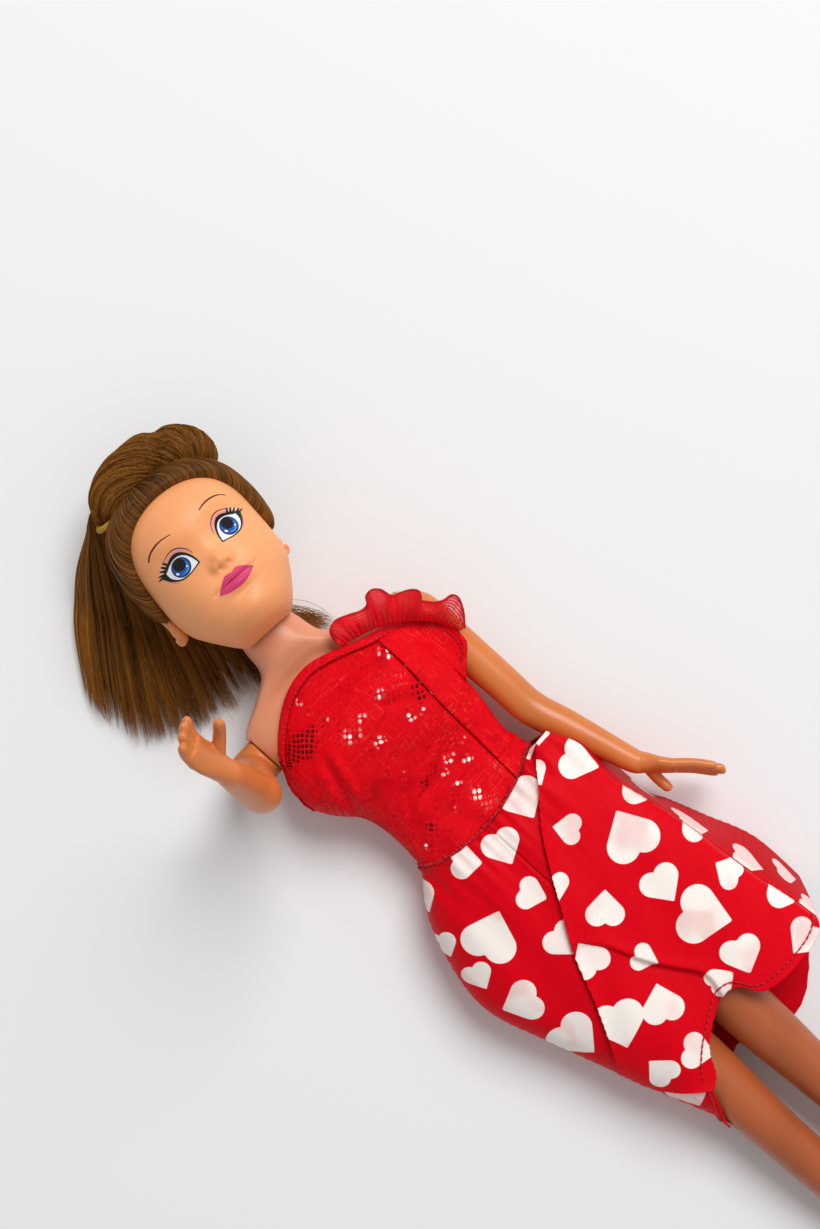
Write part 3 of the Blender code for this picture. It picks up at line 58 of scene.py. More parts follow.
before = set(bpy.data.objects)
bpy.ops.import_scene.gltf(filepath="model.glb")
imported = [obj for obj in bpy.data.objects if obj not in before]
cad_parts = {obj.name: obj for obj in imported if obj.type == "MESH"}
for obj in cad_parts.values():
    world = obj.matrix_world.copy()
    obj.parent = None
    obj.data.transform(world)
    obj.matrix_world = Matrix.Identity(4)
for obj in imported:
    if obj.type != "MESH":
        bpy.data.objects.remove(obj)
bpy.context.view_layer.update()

MM = 0.001

# The CAD's own sizes, in metres, but for SHOULDER_DROP, which the photograph gives
GAP = 0.0003
JOINT_HEIGHT = 0.0120
SHOULDER_Y = 0.0468
HIP_Y = -0.0280
UPPER_LEAN = -0.0010
SHOULDER_HALF = 0.0243
SHOULDER_RECESS = 0.0014
HIP_HALF = 0.0185
CROTCH_HALF = 0.0040
CROTCH_Y = -0.0392
WAIST_HALF = 0.0150
BUST_HALF = 0.0205
BUST_Y = 0.0330
BUST_FRONT = 0.0242
BUST_SWELL = 0.0034
BUST_SPACING = 0.0100
BUST_SPREAD = 0.0085
CHEST_FRONT = 0.0215
WAIST_FRONT = 0.0190
WAIST_BACK = 0.0052
BELLY_FRONT = 0.0215
SEAT_BACK = 0.0016
BLADE_BACK = 0.0046
COLLAR_Y = 0.0575
NECK_BASE_Y = 0.0610
NECK_RADIUS = 0.0078
NECK_Z = 0.0150
NECK_TOP_Y = 0.0670
SHOULDER_CAP_RADIUS = 0.0060
HIP_CAP_RADIUS = 0.0102
UPPER_ARM_RADIUS = 0.0049
SHOULDER_DROP = 0.0044
ELBOW_RADIUS = 0.0045
FOREARM_RADIUS = 0.0042
WRIST_RADIUS = 0.0030
ARM_CENTRE = 0.0292
ARM_CAP_OUT = 0.0341
LEFT_ARM = ((0.0286, 0.0056, 0.0100), (0.0360, -0.0225, 0.0128), (0.0402, -0.0285, 0.0132), (0.0500, -0.0408, 0.0135))
RIGHT_ARM = ((-0.0272, 0.0413, 0.0520), (-0.0255, 0.0500, 0.0765), (-0.0257, 0.0570, 0.0838), (-0.0230, 0.0625, 0.0905))
LEFT_ACROSS = (-0.0025, -0.0016, -0.0095)
RIGHT_ACROSS = (0.0067, 0.0049, -0.0056)
LEFT_THUMB = (0.0368, -0.0342, 0.0100)
RIGHT_THUMB = (-0.0175, 0.0585, 0.0850)
PALM_HALF_WIDTH = 0.0038
PALM_HALF_DEPTH = 0.0020
FINGER_RADIUS = 0.00118
THUMB_RADIUS = 0.00135
LEG_X = 0.0087
THIGH_HALF = 0.0075
THIGH_DEPTH = 0.0088
KNEE_HALF = 0.0061
KNEE_DEPTH = 0.0066
CALF_HALF = 0.0056
CALF_DEPTH = 0.0064
ANKLE_HALF = 0.0037
ANKLE_DEPTH = 0.0042
KNEE_Y = -0.1100
CALF_Y = -0.1290
ANKLE_Y = -0.1590
HEEL_Y = -0.1670
BALL_Y = -0.1815
TOES_Y = -0.1850
FOOT_HALF = 0.0058
HEEL_BACK = 0.0010
BALL_Z = 0.0118
TOE_RADIUS = 0.0014
HEAD_HALF = 0.0167
HEAD_HEIGHT = 0.0445
FACE_FRONT = 0.0258
SKULL_BACK = 0.0092
HEAD_TURN = math.radians(10)
HEAD_LEAN = math.radians(5.7)
EAR_Y = 0.0148
EAR_Z = 0.0022
EAR_HEIGHT = 0.0085
EAR_DEPTH = 0.0050
EAR_THICKNESS = 0.0036
NECK_SOCKET = 0.0088
HAIR_THICKNESS = 0.0034
BUN_RADIUS = 0.0058
BUN_RISE = 0.0514
BUN_SHIFT = 0.0027
BUN_HALF_LENGTH = 0.0143
BAND_RADIUS = 0.0034
BAND_WIRE = 0.0008
TAIL_THICKNESS = 0.0110
TAIL_UNDER = 0.0036
CLOTH = 0.0006
WAIST_SEAM_Y = -0.0005
BODICE_HALF = 0.0234
BODICE_WAIST_HALF = 0.0208
BODICE_WAIST_FRONT = 0.0212
BODICE_BUST_FRONT = 0.0292
PLACKET_HALF = 0.0050
SEAM_RADIUS = 0.0009
SKIRT_WAIST_FRONT = 0.0205
SKIRT_FRONT = 0.0255
SKIRT_DROOP = 0.0040
SKIRT_HALF = 0.0358
SKIRT_LENGTH = 0.0960
SKIRT_FOLD = 0.0012
SKIRT_SIDE_LOW = 0.0070

# The camera, straight down over the upper body, and the key light
CAMERA_PLACE = (0.0257, 0.0436, 0.4620)
CAMERA_RIGHT = (0.669, -0.743, 0.0)
CAMERA_UP = (0.743, 0.669, 0.0)
CAMERA_LENS = 52.8
FLOOR_SIZE = 6.0
KEY_FROM = (0.927, 0.375, 1.35)
KEY_DISTANCE = 1.6
KEY_SIZE = 0.9

# Painted face, in millimetres of the head's own frame, for the doll's left eye
EYE_OPENING = (
    (3.5, 21.5), (3.75, 23.6), (4.7, 25.7), (6.1, 26.9), (7.6, 27.1), (9.1, 26.6), (10.6, 25.8), (12.3, 24.8)
)
EYE_LOWER = ((12.3, 24.8), (11.5, 23.2), (10.3, 21.9), (8.9, 21.1), (7.0, 20.9), (5.1, 21.2), (3.5, 21.5))
WHITE_UPPER = ((3.85, 21.8), (4.1, 23.7), (4.95, 25.45), (6.2, 26.4), (7.7, 26.55), (9.2, 26.1), (10.9, 25.2))
WHITE_LOWER = ((10.9, 25.2), (10.8, 23.5), (9.95, 22.2), (8.8, 21.45), (7.0, 21.2), (5.3, 21.45), (3.85, 21.8))
IRIS_CENTRE = (7.45, 23.65)
IRIS_RADIUS = 2.35
IRIS_RIM = 0.28
PUPIL_CENTRE = (7.45, 24.35)
PUPIL_RADIUS = 1.48
LID_LINE = ((3.35, 24.3), (3.7, 25.6), (4.7, 27.0), (6.2, 27.9), (7.8, 28.0), (9.4, 27.5), (10.9, 26.7))
LID_BAND = ((3.6, 24.6), (4.4, 26.2), (6.0, 27.25), (7.7, 27.45), (9.4, 27.0))
LASHES = (
    ((9.5, 26.5), (10.2, 27.6)),
    ((10.2, 26.1), (11.1, 27.2)),
    ((10.8, 25.7), (12.0, 26.6)),
    ((11.4, 25.2), (12.9, 25.9)),
    ((11.6, 24.9), (13.6, 25.1)),
)
LASH_GLINTS = (((9.9, 26.5), (10.5, 27.2)), ((10.6, 26.1), (11.4, 26.75)), ((11.2, 25.6), (12.2, 26.0)))
UNDER_LID = ((11.9, 23.6), (10.9, 22.0), (9.9, 21.1))
BROW = ((4.4, 30.8), (6.7, 31.35), (8.9, 31.35), (10.9, 30.8), (12.2, 29.8))
LIP_UPPER = (
    (-5.6, 12.5),
    (-3.9, 13.8),
    (-1.9, 15.05),
    (-0.6, 14.95),
    (0.1, 14.75),
    (0.8, 14.95),
    (2.1, 15.0),
    (3.8, 13.9),
    (5.3, 12.7),
)
LIP_LOWER = ((5.3, 12.7), (3.4, 11.7), (1.6, 11.15), (-0.1, 11.0), (-1.9, 11.15), (-3.8, 11.6), (-5.6, 12.5))
LIP_PARTING = ((-5.4, 12.6), (-3.2, 13.25), (-1.2, 13.45), (0.1, 13.3), (1.4, 13.35), (3.2, 13.1), (5.1, 12.75))

# One coat of paint, in metres
PAINT_LAYER = 0.00003

# The scattered hearts, in millimetres: (layer, x, y, width, direction of the point in degrees).
# Layer 1 is the panel that wraps over, 0 the one below it and 2 the side that turns under at the doll's left.
HEARTS = (
    (1, 27.2, -11.0, 10.6, -70), (1, 12.6, -19.3, 7.6, 125), (1, 21.8, -31.5, 13.8, 71),
    (1, 17.9, -45.9, 10.3, -102), (1, 4.5, -39.0, 9.7, 42), (1, 31.1, -55.8, 8.1, 99),
    (1, 19.3, -58.5, 14.5, -58), (1, 18.2, -71.8, 10.3, -115),
    (1, 31.3, -81.0, 9.7, -178), (0, -1.3, -11.1, 9.7, -109), (0, -9.9, -6.9, 8.4, -48),
    (0, -4.8, -23.8, 8.1, -64), (0, -19.1, -23.3, 13.8, 25), (0, -8.1, -37.2, 9.7, -93),
    (1, 0.0, -26.5, 7.7, -125), (1, 17.3, -5.0, 6.4, -111), (0, 10.6, -7.0, 10.9, -107),
    (0, -24.9, -5.6, 8.4, -106), (0, -29.1, -28.4, 7.7, -105), (0, -26.7, -40.1, 10.9, 159),
    (1, -7.2, -44.2, 9.7, 76), (1, 1.9, -54.6, 7.1, -66), (1, 10.3, -72.2, 7.7, -11),
    (1, -3.5, -65.0, 10.6, 57), (1, -14.4, -61.1, 13.2, -119), (0, -24.4, -56.2, 12.9, -86),
    (1, -6.3, -79.7, 9.0, -57), (1, -16.1, -76.5, 8.4, 92), (0, -15.2, -85.6, 10.9, -106),
    (1, 24.9, 0.7, 5.8, -138), (0, 20.0, 0.7, 6.4, -111), (1, 32.1, -9.7, 7.7, -82),
    (1, 32.3, -27.0, 9.7, -78), (1, 35.8, -43.5, 10.3, -62), (1, 37.8, -70.5, 10.8, -75),
    (0, -29.4, -17.4, 7.1, -108), (2, 40.0, -13.0, 8.0, -60), (2, 36.6, -43.0, 11.5, -62), (2, 38.2, -59.5, 10.0, -80),
    (2, 47.0, -30.0, 8.5, -100), (2, 47.5, -70.5, 8.5, -60), (2, 40.0, -79.5, 9.0, -95),
)


def linear(red, green, blue):
    """A colour written as 0 to 255, as the shader wants it."""
    values = [channel / 255 for channel in (red, green, blue)]
    return tuple(v / 12.92 if v < 0.04045 else ((v + 0.055) / 1.055) ** 2.4 for v in values)


def colour_setting(name, description, red, green, blue):
    return FloatVectorProperty(
        name=name, description=description, subtype="COLOR", size=3, min=0, max=1, default=linear(red, green, blue)
    )


class DollColours(PropertyGroup):
    """Colours that a user may change."""

    face: colour_setting("Face", "Soft vinyl of the head", 252, 168, 108)
    body: colour_setting("Body", "Hard plastic of the torso and neck", 228, 150, 112)
    limb: colour_setting("Arms", "Hard plastic of the arms", 218, 124, 60)
    leg: colour_setting("Legs", "Hard plastic of the legs, a shade darker", 182, 92, 48)
    hair_dark: colour_setting("Hair, dark", "Hair in its own shade", 58, 30, 8)
    hair_light: colour_setting("Hair, light", "Hair where it catches the light", 172, 108, 42)
    red: colour_setting("Dress red", "Satin, net and thread", 228, 2, 24)
    heart: colour_setting("Hearts", "Printed hearts", 255, 246, 238)
    lips: colour_setting("Lips", "Painted lips", 214, 52, 112)
    iris: colour_setting("Iris", "Painted iris", 22, 84, 178)
    lid: colour_setting("Lid", "Painted band over each eye", 240, 150, 190)
    brow: colour_setting("Brows", "Painted brows", 92, 16, 20)
    elastic: colour_setting("Elastic", "Hair band", 200, 148, 34)
    floor: colour_setting("Floor", "Plain pale floor", 240, 240, 240)


class DollSizes(PropertyGroup):
    """Sizes and counts that a user may change."""

    strand_radius: FloatProperty(
        name="Strand radius", description="Half the thickness of a hair", default=0.00006, unit="LENGTH"
    )
    tail_strands: IntProperty(name="Loose hairs", description="Hairs in the loose fan", default=2600, min=10)
    scalp_strands: IntProperty(name="Scalp hairs", description="Hairs laid over the scalp", default=1500, min=10)
    bun_strands: IntProperty(name="Bun hairs", description="Hairs laid over the bun", default=900, min=10)
    stitch: FloatProperty(name="Stitch", description="Length of one machine stitch", default=0.0016, unit="LENGTH")
    dot_pitch: FloatProperty(name="Glitter spacing", description="Distance between the glitter dots", default=1.45)
    key_power: FloatProperty(name="Key light", description="Power of the large soft light", default=1.95)
    fill_strength: FloatProperty(name="Fill light", description="Strength of the even light all round", default=0.40)


# Small sums


def lerp(a, b, share):
    return a + (b - a) * share


def curve_value(a, b, c, d, t):
    """A Catmull-Rom curve through b and c."""
    return b + t / 2 * ((c - a) + t * ((2 * a - 5 * b + 4 * c - d) + t * (3 * b - a - 3 * c + d)))


def smooth_rows(rows, steps):
    """Rows of numbers made denser by a curve that goes through each of them."""
    out = []
    for i in range(len(rows) - 1):
        four = (rows[max(i - 1, 0)], rows[i], rows[i + 1], rows[min(i + 2, len(rows) - 1)])
        for k in range(steps):
            out.append(tuple(curve_value(*values, k / steps) for values in zip(*four)))
    out.append(tuple(rows[-1]))
    return out


def signed_power(value, power):
    return math.copysign(abs(value) ** power, value)


def bell(x, y, at_x, at_y, spread_x, spread_y):
    across = (x - at_x) / spread_x
    along = (y - at_y) / spread_y
    return math.exp(-across * across - along * along)


def slope(value, width):
    """A smooth step from 0 to 1."""
    return 0.5 + 0.5 * math.tanh(value / width)


def table_at(rows, where):
    """A value read from (place, value) rows, which run from high places to low ones."""
    if where >= rows[0][0]:
        return rows[0][1]
    for (start, first), (end, last) in zip(rows, rows[1:]):
        if where >= end:
            share = (start - where) / (start - end)
            return lerp(first, last, share * share * (3 - 2 * share))
    return rows[-1][1]


def dice(seed):
    return np.random.default_rng(seed)


# Meshes


def new_piece(name, mesh):
    piece = bpy.data.objects.new(name, mesh)
    bpy.context.scene.collection.objects.link(piece)
    return piece


def mesh_of(name, points, faces, uv=None, smooth=True):
    """A mesh from points and faces, with one UV pair for each point."""
    mesh = bpy.data.meshes.new(name)
    mesh.from_pydata([tuple(p) for p in points], [], faces)
    if uv is not None:
        index = np.zeros(len(mesh.loops), np.int32)
        mesh.loops.foreach_get("vertex_index", index)
        layer = mesh.uv_layers.new(name="cloth")
        layer.data.foreach_set("uv", np.array(uv, np.float32)[index].ravel())
    mesh.polygons.foreach_set("use_smooth", np.full(len(mesh.polygons), smooth))
    mesh.update()
    return mesh


def grid_faces(rows, columns, closed=False):
    """Quads between rows of points. Closed joins the last column to the first."""
    faces = []
    for row in range(rows - 1):
        for column in range(columns if closed else columns - 1):
            after = (column + 1) % columns
            low = row * columns
            faces.append((low + column, low + after, low + columns + after, low + columns + column))
    return faces


def ring_mesh(name, rings):
    """A closed mesh through rings of equal count, with flat ends, UVs in millimetres."""
    count = len(rings[0])
    points = [p for ring in rings for p in ring]
    faces = grid_faces(len(rings), count, closed=True)
    last = (len(rings) - 1) * count
    faces.append(tuple(reversed(range(count))))
    faces.append(tuple(last + step for step in range(count)))
    middle = sum((Vector(p) for p in rings[0]), Vector()) / count
    ahead = sum((Vector(p) for p in rings[-1]), Vector()) / count - middle
    turn = Vector()
    for step, point in enumerate(rings[0]):
        turn += (Vector(point) - middle).cross(Vector(rings[0][(step + 1) % count]) - middle)
    if turn.dot(ahead) < 0:
        faces = [tuple(reversed(face)) for face in faces]
    uv = []
    along = 0
    for i, ring in enumerate(rings):
        if i:
            along += (Vector(ring[0]) - Vector(rings[i - 1][0])).length
        around = 0
        for j, point in enumerate(ring):
            uv.append((around * 1000.0, along * 1000.0))
            around += (Vector(ring[(j + 1) % count]) - Vector(point)).length
    return mesh_of(name, points, faces, uv)


def tube_rings(path, radii, count):
    """Round rings along a path."""
    rings = []
    side = Vector((1, 0, 0))
    for i, here in enumerate(path):
        ahead = (path[min(i + 1, len(path) - 1)] - path[max(i - 1, 0)]).normalized()
        up = ahead.cross(side).normalized()
        side = up.cross(ahead).normalized()
        ring = []
        for step in range(count):
            angle = 2 * math.pi * step / count
            ring.append(here + side * math.cos(angle) * radii[i] + up * math.sin(angle) * radii[i])
        rings.append(ring)
    return rings


def x_rings(sign, centre_y, centre_z, profile, count):
    """Rings round a line along X, from (distance from the middle, radius) pairs."""
    rings = []
    for distance, radius in profile:
        ring = []
        for step in range(count):
            angle = 2 * math.pi * (step + 0.5) / count
            ring.append(
                Vector((sign * distance, centre_y + radius * math.cos(angle), centre_z + radius * math.sin(angle)))
            )
        rings.append(ring)
    return rings


def flat_ring(x_mid, y, half, back, front, count, squareness=1.0):
    middle = (back + front) / 2
    points = []
    for step in range(count):
        angle = 2 * math.pi * (step + 0.5) / count
        x = signed_power(math.cos(angle), squareness) * half
        z = signed_power(math.sin(angle), squareness) * (front - back) / 2
        points.append(Vector((x_mid + x, y, middle + z)))
    return points


def settle(piece):
    """Applies the piece's modifiers to its mesh."""
    graph = bpy.context.evaluated_depsgraph_get()
    mesh = bpy.data.meshes.new_from_object(piece.evaluated_get(graph))
    piece.modifiers.clear()
    piece.data = mesh
    mesh.polygons.foreach_set("use_smooth", np.full(len(mesh.polygons), True))
    return piece


def join_meshes(name, meshes):
    """One mesh that holds several, with their UVs."""
    pieces = [new_piece(f"{name}_bit_{i}", mesh) for i, mesh in enumerate(meshes)]
    with bpy.context.temp_override(
        active_object=pieces[0], object=pieces[0], selected_objects=pieces, selected_editable_objects=pieces
    ):
        bpy.ops.object.join()
    whole = pieces[0]
    whole.name = name
    return whole


def cut_with(piece, mesh, operation="DIFFERENCE"):
    """Cuts a piece at once with a closed mesh."""
    tool = new_piece(piece.name + "_tool", mesh)
    modifier = piece.modifiers.new("cut", "BOOLEAN")
    modifier.operation = operation
    modifier.solver = "EXACT"
    modifier.object = tool
    bpy.context.view_layer.update()
    settle(piece)
    bpy.data.objects.remove(tool)


def box_mesh(name, low, high):
    corners = [(x, y, z) for x in (low[0], high[0]) for y in (low[1], high[1]) for z in (low[2], high[2])]
    faces = [(0, 1, 3, 2), (4, 6, 7, 5), (0, 4, 5, 1), (2, 3, 7, 6), (0, 2, 6, 4), (1, 5, 7, 3)]
    return mesh_of(name, corners, faces, smooth=False)


def melt_together(piece, voxel, rounds):
    """Fuses overlapping closed forms into one skin and smooths it."""
    remesh = piece.modifiers.new("fuse", "REMESH")
    remesh.mode = "VOXEL"
    remesh.voxel_size = voxel
    smooth = piece.modifiers.new("smooth", "SMOOTH")
    smooth.factor = 0.5
    smooth.iterations = rounds
    bpy.context.view_layer.update()
    return settle(piece)


def strand_mesh(name, paths, radius, shades):
    """Many thin three-sided hairs. Paths is hairs by points by 3; the UV holds (shade, share of the length)."""
    paths = np.array(paths, float)
    hairs, count, _ = paths.shape
    ahead = np.gradient(paths, axis=1)
    ahead /= np.linalg.norm(ahead, axis=2, keepdims=True) + 1e-12
    side = np.cross(ahead, np.array((0.31, 0.17, 0.93)))
    side /= np.linalg.norm(side, axis=2, keepdims=True) + 1e-12
    up = np.cross(side, ahead)
    share = np.linspace(0, 1, count)
    width = radius * (1 - 0.75 * np.clip(share * 4 - 3, 0, 1))
    corners = []
    for turn in range(3):
        angle = 2 * math.pi * turn / 3
        corners.append(paths + (side * math.cos(angle) + up * math.sin(angle)) * width[None, :, None])
    points = np.stack(corners, axis=2).reshape(-1, 3)
    base = (np.arange(hairs)[:, None] * count + np.arange(count - 1)[None, :]) * 3
    quads = []
    for turn in range(3):
        after = (turn + 1) % 3
        quads.append(np.stack([base + turn, base + after, base + 3 + after, base + 3 + turn], axis=2))
    faces = np.stack(quads, axis=2).reshape(-1, 4)
    uv = np.zeros((hairs, count, 3, 2))
    uv[..., 0] = np.array(shades)[:, None, None]
    uv[..., 1] = share[None, :, None]
    return mesh_of(name, points, faces.tolist(), uv.reshape(-1, 2))


# Materials


class Graph:
    """Short calls for adding shader nodes and joining them."""

    def __init__(self, tree):
        self.tree = tree

    def feed(self, socket, value):
        if isinstance(value, bpy.types.NodeSocket):
            self.tree.links.new(value, socket)
        else:
            socket.default_value = value

    def add(self, kind, values=None, **settings):
        made = self.tree.nodes.new("ShaderNode" + kind)
        for key, value in settings.items():
            setattr(made, key, value)
        for key, value in (values or {}).items():
            self.feed(made.inputs[key], value)
        return made

    def sum(self, operation, *values, clamp=False):
        made = self.add("Math", operation=operation, use_clamp=clamp)
        for i, value in enumerate(values):
            self.feed(made.inputs[i], value)
        return made.outputs[0]

    def times(self, a, b):
        return self.sum("MULTIPLY", a, b)

    def line(self, value, by, plus, clamp=False):
        """The value times one number, plus another."""
        return self.sum("MULTIPLY_ADD", value, by, plus, clamp=clamp)

    def rest(self, share):
        """What is left of 1."""
        return self.sum("SUBTRACT", 1.0, share)

    def mesh_value(self, name):
        return self.add("Attribute", attribute_name=name).outputs["Fac"]

    def cloth_place(self):
        """The place on the piece's UVs, in millimetres."""
        return self.add("UVMap", uv_map="cloth").outputs[0]

    def doll_place(self):
        return self.add("TexCoord").outputs["Object"]

    def vector(self, operation, a, b):
        made = self.add("VectorMath", operation=operation)
        self.feed(made.inputs[0], a)
        self.feed(made.inputs[1], b)
        return made.outputs[0]

    def mix(self, share, first, second, blend="MIX"):
        made = self.add("Mix", data_type="RGBA", blend_type=blend)
        self.feed(made.inputs[0], share)
        self.feed(made.inputs[6], first)
        self.feed(made.inputs[7], second)
        return made.outputs[2]

    def step(self, value, low, high):
        """0 below low, 1 above high, smooth between."""
        made = self.add("MapRange", interpolation_type="SMOOTHSTEP")
        for i, number in enumerate((value, low, high, 0.0, 1.0)):
            self.feed(made.inputs[i], number)
        return made.outputs[0]

    def noise(self, where, scale, detail=3.0, kind="3D"):
        return self.add(
            "TexNoise", {"Vector": where, "Scale": scale, "Detail": detail}, noise_dimensions=kind
        ).outputs[0]

    def scaled(self, where, x, y, z=1.0):
        return self.vector("MULTIPLY", where, (x, y, z))


def shared_group(name, inputs, outputs, fill):
    """A node group with named sockets. Fill gets (graph, input sockets, output sockets)."""
    tree = bpy.data.node_groups.new(name, "ShaderNodeTree")
    for label, kind, default in inputs:
        socket = tree.interface.new_socket(name=label, in_out="INPUT", socket_type="NodeSocket" + kind)
        socket.default_value = default
    for label, kind in outputs:
        tree.interface.new_socket(name=label, in_out="OUTPUT", socket_type="NodeSocket" + kind)
    start = tree.nodes.new("NodeGroupInput")
    end = tree.nodes.new("NodeGroupOutput")
    fill(Graph(tree), start.outputs, end.inputs)
    return tree


def moulded_group():
    """Moulded plastic: a slight mottle in the colour, uneven gloss and a fine grain."""

    def fill(graph, given, out):
        where = graph.doll_place()
        broad = graph.noise(where, given["Mottle"], 2.0)
        fine = graph.noise(where, 2600.0, 2.0)
        speck = graph.noise(where, 900.0, 4.0)
        tint = graph.mix(graph.step(broad, 0.35, 0.65), given["Colour"], given["Second"])
        graph.feed(out["Colour"], tint)
        rough = graph.line(speck, 0.16, given["Roughness"])
        graph.feed(out["Roughness"], graph.sum("SUBTRACT", rough, 0.08))
        graph.feed(out["Height"], graph.line(fine, 0.35, broad))

    inputs = (
        ("Colour", "Color", (0.8, 0.4, 0.2, 1)),
        ("Second", "Color", (0.7, 0.3, 0.2, 1)),
        ("Mottle", "Float", 60.0),
        ("Roughness", "Float", 0.4),
    )
    return shared_group(
        "moulded plastic", inputs, (("Colour", "Color"), ("Roughness", "Float"), ("Height", "Float")), fill
    )


def strand_group():
    """Hair on a solid form: streaks along V, with a light and dark spread across U."""

    def fill(graph, given, out):
        where = graph.cloth_place()
        broad = graph.noise(graph.scaled(where, 0.35, 0.02), 1.0, 3.0, "2D")
        fine = graph.noise(graph.scaled(where, 5.5, 0.09), 1.0, 3.0, "2D")
        share = graph.line(fine, 1.3, graph.times(broad, 0.9))
        share = graph.step(share, 0.75, 1.65)
        graph.feed(out["Colour"], graph.mix(share, given["Dark"], given["Light"]))
        graph.feed(out["Roughness"], graph.line(fine, 0.25, 0.30))
        graph.feed(out["Height"], fine)

    inputs = (("Dark", "Color", (0.05, 0.02, 0.01, 1)), ("Light", "Color", (0.3, 0.15, 0.05, 1)))
    return shared_group(
        "hair streaks", inputs, (("Colour", "Color"), ("Roughness", "Float"), ("Height", "Float")), fill
    )


def weave_group():
    """A fine crossed weave read from UVs in millimetres."""

    def fill(graph, given, out):
        where = graph.cloth_place()
        parts = graph.add("SeparateXYZ", {0: where})
        threads = []
        for axis in ("X", "Y"):
            turn = graph.times(parts.outputs[axis], given["Threads"])
            wave = graph.sum("SINE", graph.times(turn, 2 * math.pi))
            threads.append(graph.line(wave, 0.5, 0.5))
        cross = graph.sum("MAXIMUM", threads[0], threads[1])
        uneven = graph.noise(where, 0.9, 4.0, "2D")
        graph.feed(out["Height"], graph.line(uneven, 0.5, cross))
        graph.feed(out["Threads"], cross)
        graph.feed(out["Holes"], graph.times(graph.rest(threads[0]), graph.rest(threads[1])))
        graph.feed(out["Uneven"], uneven)

    outputs = (("Height", "Float"), ("Threads", "Float"), ("Holes", "Float"), ("Uneven", "Float"))
    return shared_group("crossed weave", (("Threads", "Float", 2.0),), outputs, fill)


def glitter_group():
    """Staggered foil dots: the mask of the dots, a number for each dot and the tilt of each as a height."""

    def fill(graph, given, out):
        where = graph.cloth_place()
        turned = graph.add(
            "VectorRotate", {"Vector": where, "Angle": math.radians(38)}, rotation_type="Z_AXIS"
        ).outputs[0]
        per_mm = graph.sum("DIVIDE", 1.0, given["Pitch"])
        place = graph.add("VectorMath", operation="SCALE")
        graph.feed(place.inputs[0], turned)
        graph.feed(place.inputs[3], per_mm)
        cells = graph.add(
            "TexVoronoi", {"Vector": place.outputs[0], "Scale": 1.0, "Randomness": 0.0}, voronoi_dimensions="2D"
        )
        graph.feed(
            out["Dots"],
            graph.rest(graph.step(cells.outputs["Distance"], given["Radius"], graph.sum("ADD", given["Radius"], 0.07))),
        )
        colours = graph.add("SeparateColor", {0: cells.outputs["Color"]})
        graph.feed(out["Chance"], colours.outputs[0])
        offset = graph.vector("SUBTRACT", place.outputs[0], cells.outputs["Position"])
        lean = graph.vector("SUBTRACT", cells.outputs["Color"], (0.5, 0.5, 0.5))
        tilt = graph.add("VectorMath", operation="DOT_PRODUCT")
        graph.feed(tilt.inputs[0], offset)
        graph.feed(tilt.inputs[1], lean)
        graph.feed(out["Tilt"], tilt.outputs["Value"])
        graph.feed(out["Drift"], graph.noise(where, 0.085, 2.0, "2D"))

    inputs = (("Pitch", "Float", 1.45), ("Radius", "Float", 0.33))
    outputs = (("Dots", "Float"), ("Chance", "Float"), ("Tilt", "Float"), ("Drift", "Float"))
    return shared_group("glitter dots", inputs, outputs, fill)


GROUP_MAKERS = {"moulded": moulded_group, "strands": strand_group, "weave": weave_group, "glitter": glitter_group}
GROUP_NAMES = {
    "moulded": "moulded plastic", "strands": "hair streaks", "weave": "crossed weave", "glitter": "glitter dots"
}


def use_group(graph, key, values):
    tree = bpy.data.node_groups.get(GROUP_NAMES[key]) or GROUP_MAKERS[key]()
    made = graph.tree.nodes.new("ShaderNodeGroup")
    made.node_tree = tree
    for label, value in values.items():
        graph.feed(made.inputs[label], value)
    return made.outputs


def solid(colour):
    return (*colour, 1.0)


def shaded(colour, share):
    """A colour taken towards black."""
    return tuple(channel * share for channel in colour)


def tone(colour, share):
    return solid(shaded(colour, share))


def start_material(name, **plain):
    """A material, its graph and its Principled shader with plain values set on its own sockets."""
    material = bpy.data.materials.new(name)
    material.use_nodes = True
    graph = Graph(material.node_tree)
    shader = material.node_tree.nodes["Principled BSDF"]
    for label, value in plain.items():
        shader.inputs[label.replace("_", " ")].default_value = value
    return material, graph, shader


def bump(graph, shader, height, distance, strength=1.0):
    made = graph.add("Bump", {"Strength": strength, "Distance": distance, "Height": height})
    graph.feed(shader.inputs["Normal"], made.outputs[0])


def moulded_material(name, colour, second, roughness, soft=0.0, grain=0.00002):
    found = bpy.data.materials.get(name)
    if found:
        return found
    material, graph, shader = start_material(name)
    if soft:
        shader.inputs["Subsurface Weight"].default_value = soft
        shader.inputs["Subsurface Radius"].default_value = (1.0, 0.45, 0.25)
        shader.inputs["Subsurface Scale"].default_value = 0.0012
    looks = use_group(graph, "moulded", {"Colour": solid(colour), "Second": solid(second), "Roughness": roughness})
    graph.feed(shader.inputs["Base Color"], looks["Colour"])
    graph.feed(shader.inputs["Roughness"], looks["Roughness"])
    bump(graph, shader, looks["Height"], grain, 0.4)
    return material


def body_material(colours):
    return moulded_material("torso plastic", colours.body, shaded(colours.body, 0.90), 0.42)


def limb_material(colours):
    return moulded_material("limb plastic", colours.limb, shaded(colours.limb, 0.88), 0.36)


def leg_material(colours):
    return moulded_material("leg plastic", colours.leg, shaded(colours.leg, 0.86), 0.40)


def face_material(colours):
    return moulded_material("head vinyl", colours.face, shaded(colours.face, 0.93), 0.50, soft=0.12)


